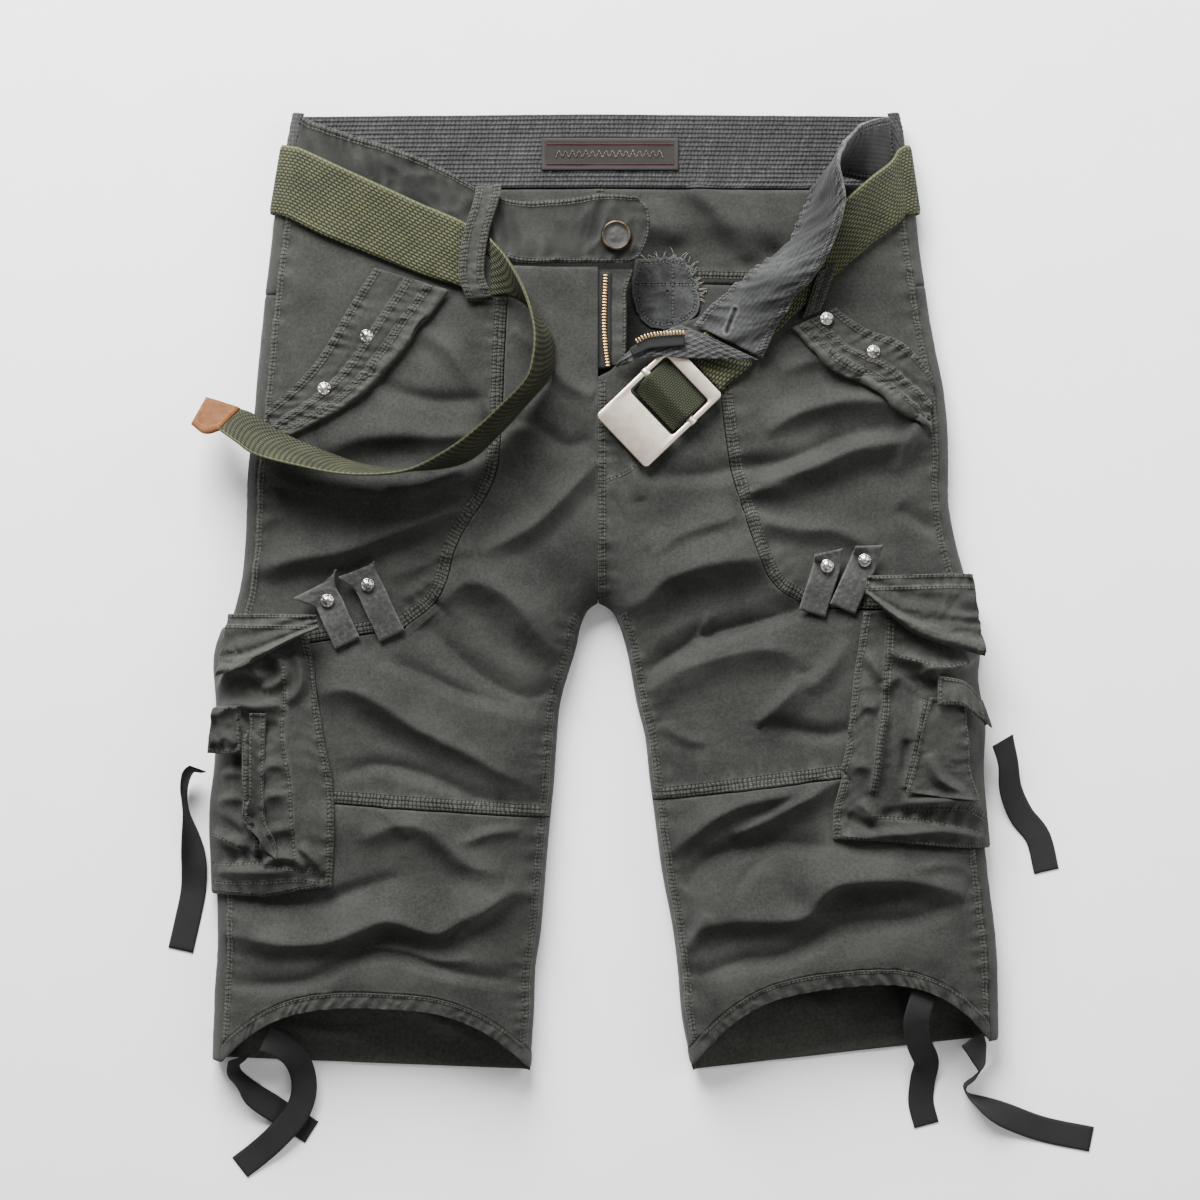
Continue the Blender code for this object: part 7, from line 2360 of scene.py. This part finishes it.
def thread_object(name, rows, finish):
    """Threads along polylines of equal length, as thin tubes in one mesh."""
    turn = np.linspace(0, 2 * math.pi, THREAD_SIDES, endpoint=False)[None, :, None]
    tubes = []
    for row in rows:
        level, stand = side_axes(row)
        ring = np.cos(turn) * level[:, None] + np.sin(turn) * stand[:, None]
        tubes.append((row[:, None] + THREAD_RADIUS * ring).reshape(-1, 3))
    index = np.arange(len(tubes[0])).reshape(-1, THREAD_SIDES)
    after = np.roll(index, -1, axis=1)
    a, b, c, d = (part.ravel() for part in (index[1:], after[1:], after[:-1], index[:-1]))
    faces = [np.stack([a, b, c], axis=1), np.stack([a, c, d], axis=1)]
    for end in (index[0][::-1], index[-1]):
        faces.append(np.array([(end[0], end[k], end[k + 1]) for k in range(1, THREAD_SIDES - 1)]))
    return belongs(repeated(name, np.array(tubes), np.concatenate(faces), finish))


# ---------------------------------------------------------------- stitches and zip teeth

STITCH_LENGTH = 2.4
STITCH_RADIUS = 0.3
STITCH_SIDES = 5
STITCH_SUNK = 0.15
# Rows of stitches by key and finish, kept until all of them are made at once
SEWN = {}


def sew(key, points, normals, finish, pitch):
    """Keeps a row of stitches along a line in space for make_stitches()."""
    length = run_of(points)[-1]
    count = max(1, int(length / pitch))
    middle = (np.arange(count) + 0.5) / count
    half = 0.5 * STITCH_LENGTH / length
    first = at_shares(points, np.clip(middle - half, 0, 1))
    last = at_shares(points, np.clip(middle + half, 0, 1))
    up = at_shares(normals, middle)
    SEWN.setdefault((key, finish), []).append((first, last, up))


def sew_flat(line, z, finish, pitch):
    """A row of stitches on a level face."""
    points = np.concatenate([line, np.full((len(line), 1), z)], axis=1)
    sew("label", points, upright(points), finish, pitch)


def make_stitches():
    """All kept rows of stitches, one object for each key and finish."""
    turn = np.linspace(0, 2 * math.pi, STITCH_SIDES, endpoint=False)[None, :, None]
    faces = []
    for k in range(STITCH_SIDES):
        a, b = 1 + k, 1 + (k + 1) % STITCH_SIDES
        c, d = a + STITCH_SIDES, b + STITCH_SIDES
        faces += [(0, a, b), (a, c, d), (a, d, b), (2 * STITCH_SIDES + 1, d, c)]
    for (key, finish), rows in SEWN.items():
        first, last, up = (np.concatenate([row[k] for row in rows]) for k in range(3))
        body = last - first
        run = unit(body)
        side = unit(np.cross(run, up))
        stand = np.cross(side, run)
        ray = STITCH_RADIUS * (np.cos(turn) * side[:, None] + np.sin(turn) * stand[:, None])
        blocks = np.concatenate([first[:, None] - STITCH_SUNK * stand[:, None],
                                 (first + 0.22 * body)[:, None] + ray, (last - 0.22 * body)[:, None] + ray,
                                 last[:, None] - STITCH_SUNK * stand[:, None]], axis=1)
        piece = repeated("stitches_" + key + "_" + finish, blocks, faces, finish)
        belongs(piece)


TOOTH_PITCH = 2.1
TOOTH_SIZE = (0.7, 1.8, 0.95)
# Rings of a tooth from its foot up: level and share of its size
TOOTH_RINGS = ((-1.0, 0.9), (0.35, 1.0), (0.8, 0.85), (1.0, 0.6))
TOOTH_CORNER = 0.45
TOOTH_STAND = 0.9
TEETH_R = ((5.2, 221), (4.4, 200), (4.3, 183), (5.4, 169), (6.9, 158))
TEETH_L = ((59, 178.6), (46, 178.2), (34, 176.6), (27, 173))


def teeth(name, line, stand):
    """Rounded metal teeth across a zip tape's edge, on a tape whose upper face is at stand."""
    line = through(line, CURVE_STEPS)
    centre = resample(line, int(run_of(line)[-1] / TOOTH_PITCH))
    run = directions(centre)
    points, up = on_front(centre, stand + TOOTH_STAND, 0.0)
    along = np.concatenate([run, np.zeros((len(run), 1))], axis=1)
    across = np.cross(up, along)
    shape = np.array([(a, b, level) for level, share in TOOTH_RINGS
                      for a, b in rounded_rectangle(-share, -share, share, share, TOOTH_CORNER, 2)])
    shape *= TOOTH_SIZE
    ring, top = len(shape) // len(TOOTH_RINGS), len(TOOTH_RINGS) - 1
    block = (points[:, None] + shape[None, :, :1] * along[:, None] + shape[None, :, 1:2] * across[:, None]
             + shape[None, :, 2:] * up[:, None])
    faces = []
    for level in range(top):
        for k in range(ring):
            a, b = level * ring + k, level * ring + (k + 1) % ring
            faces += [(a, b, b + ring), (a, b + ring, a + ring)]
    for k in range(1, ring - 1):
        faces += [(0, k + 1, k), (top * ring, top * ring + k, top * ring + k + 1)]
    belongs(repeated(name, block, faces, "brass"))


# ---------------------------------------------------------------- floor, light and camera

CAMERA_PLACE = (1.4, -5.6, 2230.0)
CAMERA_LENS = 94.3
CAMERA_SENSOR = 36.0
CAMERA_RANGE = 20.0
FLOOR_REACH = 4.0
# Soft lights: place and size in metres, and energy; all of them point at the garment's middle
LIGHTS = {
    "key": ((-0.6, 2.0, 1.45), 1.5, 280.0),
    "side": ((1.9, 0.9, 1.4), 1.2, 34.0),
    "fill": ((0.9, -1.6, 2.2), 1.6, 14.0),
}
SURROUND_STRENGTH = 0.33


def floor():
    """A plain pale floor."""
    mesh = bpy.data.meshes.new("floor")
    r = FLOOR_REACH
    mesh.from_pydata([(-r, -r, 0), (r, -r, 0), (r, r, 0), (-r, r, 0)], [], [(0, 1, 2, 3)])
    plane = bpy.data.objects.new("floor", mesh)
    bpy.context.collection.objects.link(plane)
    shader = Shader("pale_floor", 0.9)
    shader.surface.inputs["Specular IOR Level"].default_value = 0.1
    cloud = shader.ramp(shader.noise(60.0), 0.3, 0.7)
    shader.colour(shader.mix(cloud, (0.94, 0.94, 0.94), (0.96, 0.96, 0.96)))
    mesh.materials.append(shader.material)


def area_light(name, place, size, energy):
    """A square soft light that points at the garment's middle."""
    data = bpy.data.lights.new(name, "AREA")
    data.size = size
    data.energy = energy
    lamp = bpy.data.objects.new(name, data)
    lamp.location = place
    lamp.rotation_euler = (-Vector(place)).to_track_quat("-Z", "Y").to_euler()
    bpy.context.collection.objects.link(lamp)


def studio():
    """A strong soft light from the upper left, two weak ones from the right, and a grey surround."""
    for name, (place, size, energy) in LIGHTS.items():
        area_light(name, place, size, energy)
    world = bpy.data.worlds.new("surround")
    world.use_nodes = True
    background = world.node_tree.nodes["Background"]
    background.inputs["Color"].default_value = (1.0, 1.0, 1.0, 1.0)
    background.inputs["Strength"].default_value = SURROUND_STRENGTH
    bpy.context.scene.world = world


def camera():
    """The photograph's camera: straight above, from far away."""
    data = bpy.data.cameras.new("camera")
    data.sensor_width = CAMERA_SENSOR
    data.lens = CAMERA_LENS
    data.clip_end = CAMERA_RANGE
    view = bpy.data.objects.new("camera", data)
    view.location = tuple(c * MM for c in CAMERA_PLACE)
    bpy.context.collection.objects.link(view)
    bpy.context.scene.camera = view


def garment():
    """Every piece of the trousers."""
    for side in SIDES:
        front_hip(side)
        front_thigh(side)
        front_shin(side)
        hem_casing(side)
        back_panels(side)
        pocket_band(side)
        cargo_pocket(side)
        cargo_trim(side)
    waistband_back()
    waistband_front_r()
    folded_waistband_l()
    fly_facing_l()
    fly_shield_r()
    knee_tabs()
    pocket_rivets()
    button()
    buckle()
    belt()
    buckle_webbing()
    belt_loops()
    tapes()
    label()
    patch()
    teeth("zip_teeth_r", TEETH_R, ZIP_TAPE_R_STAND + ZIP_TAPE_R_CLOTH)
    teeth("zip_teeth_l", TEETH_L, ZIP_TAPE_L_STAND + ZIP_TAPE_L_CLOTH)
    make_stitches()


camera()
garment()
floor()
studio()
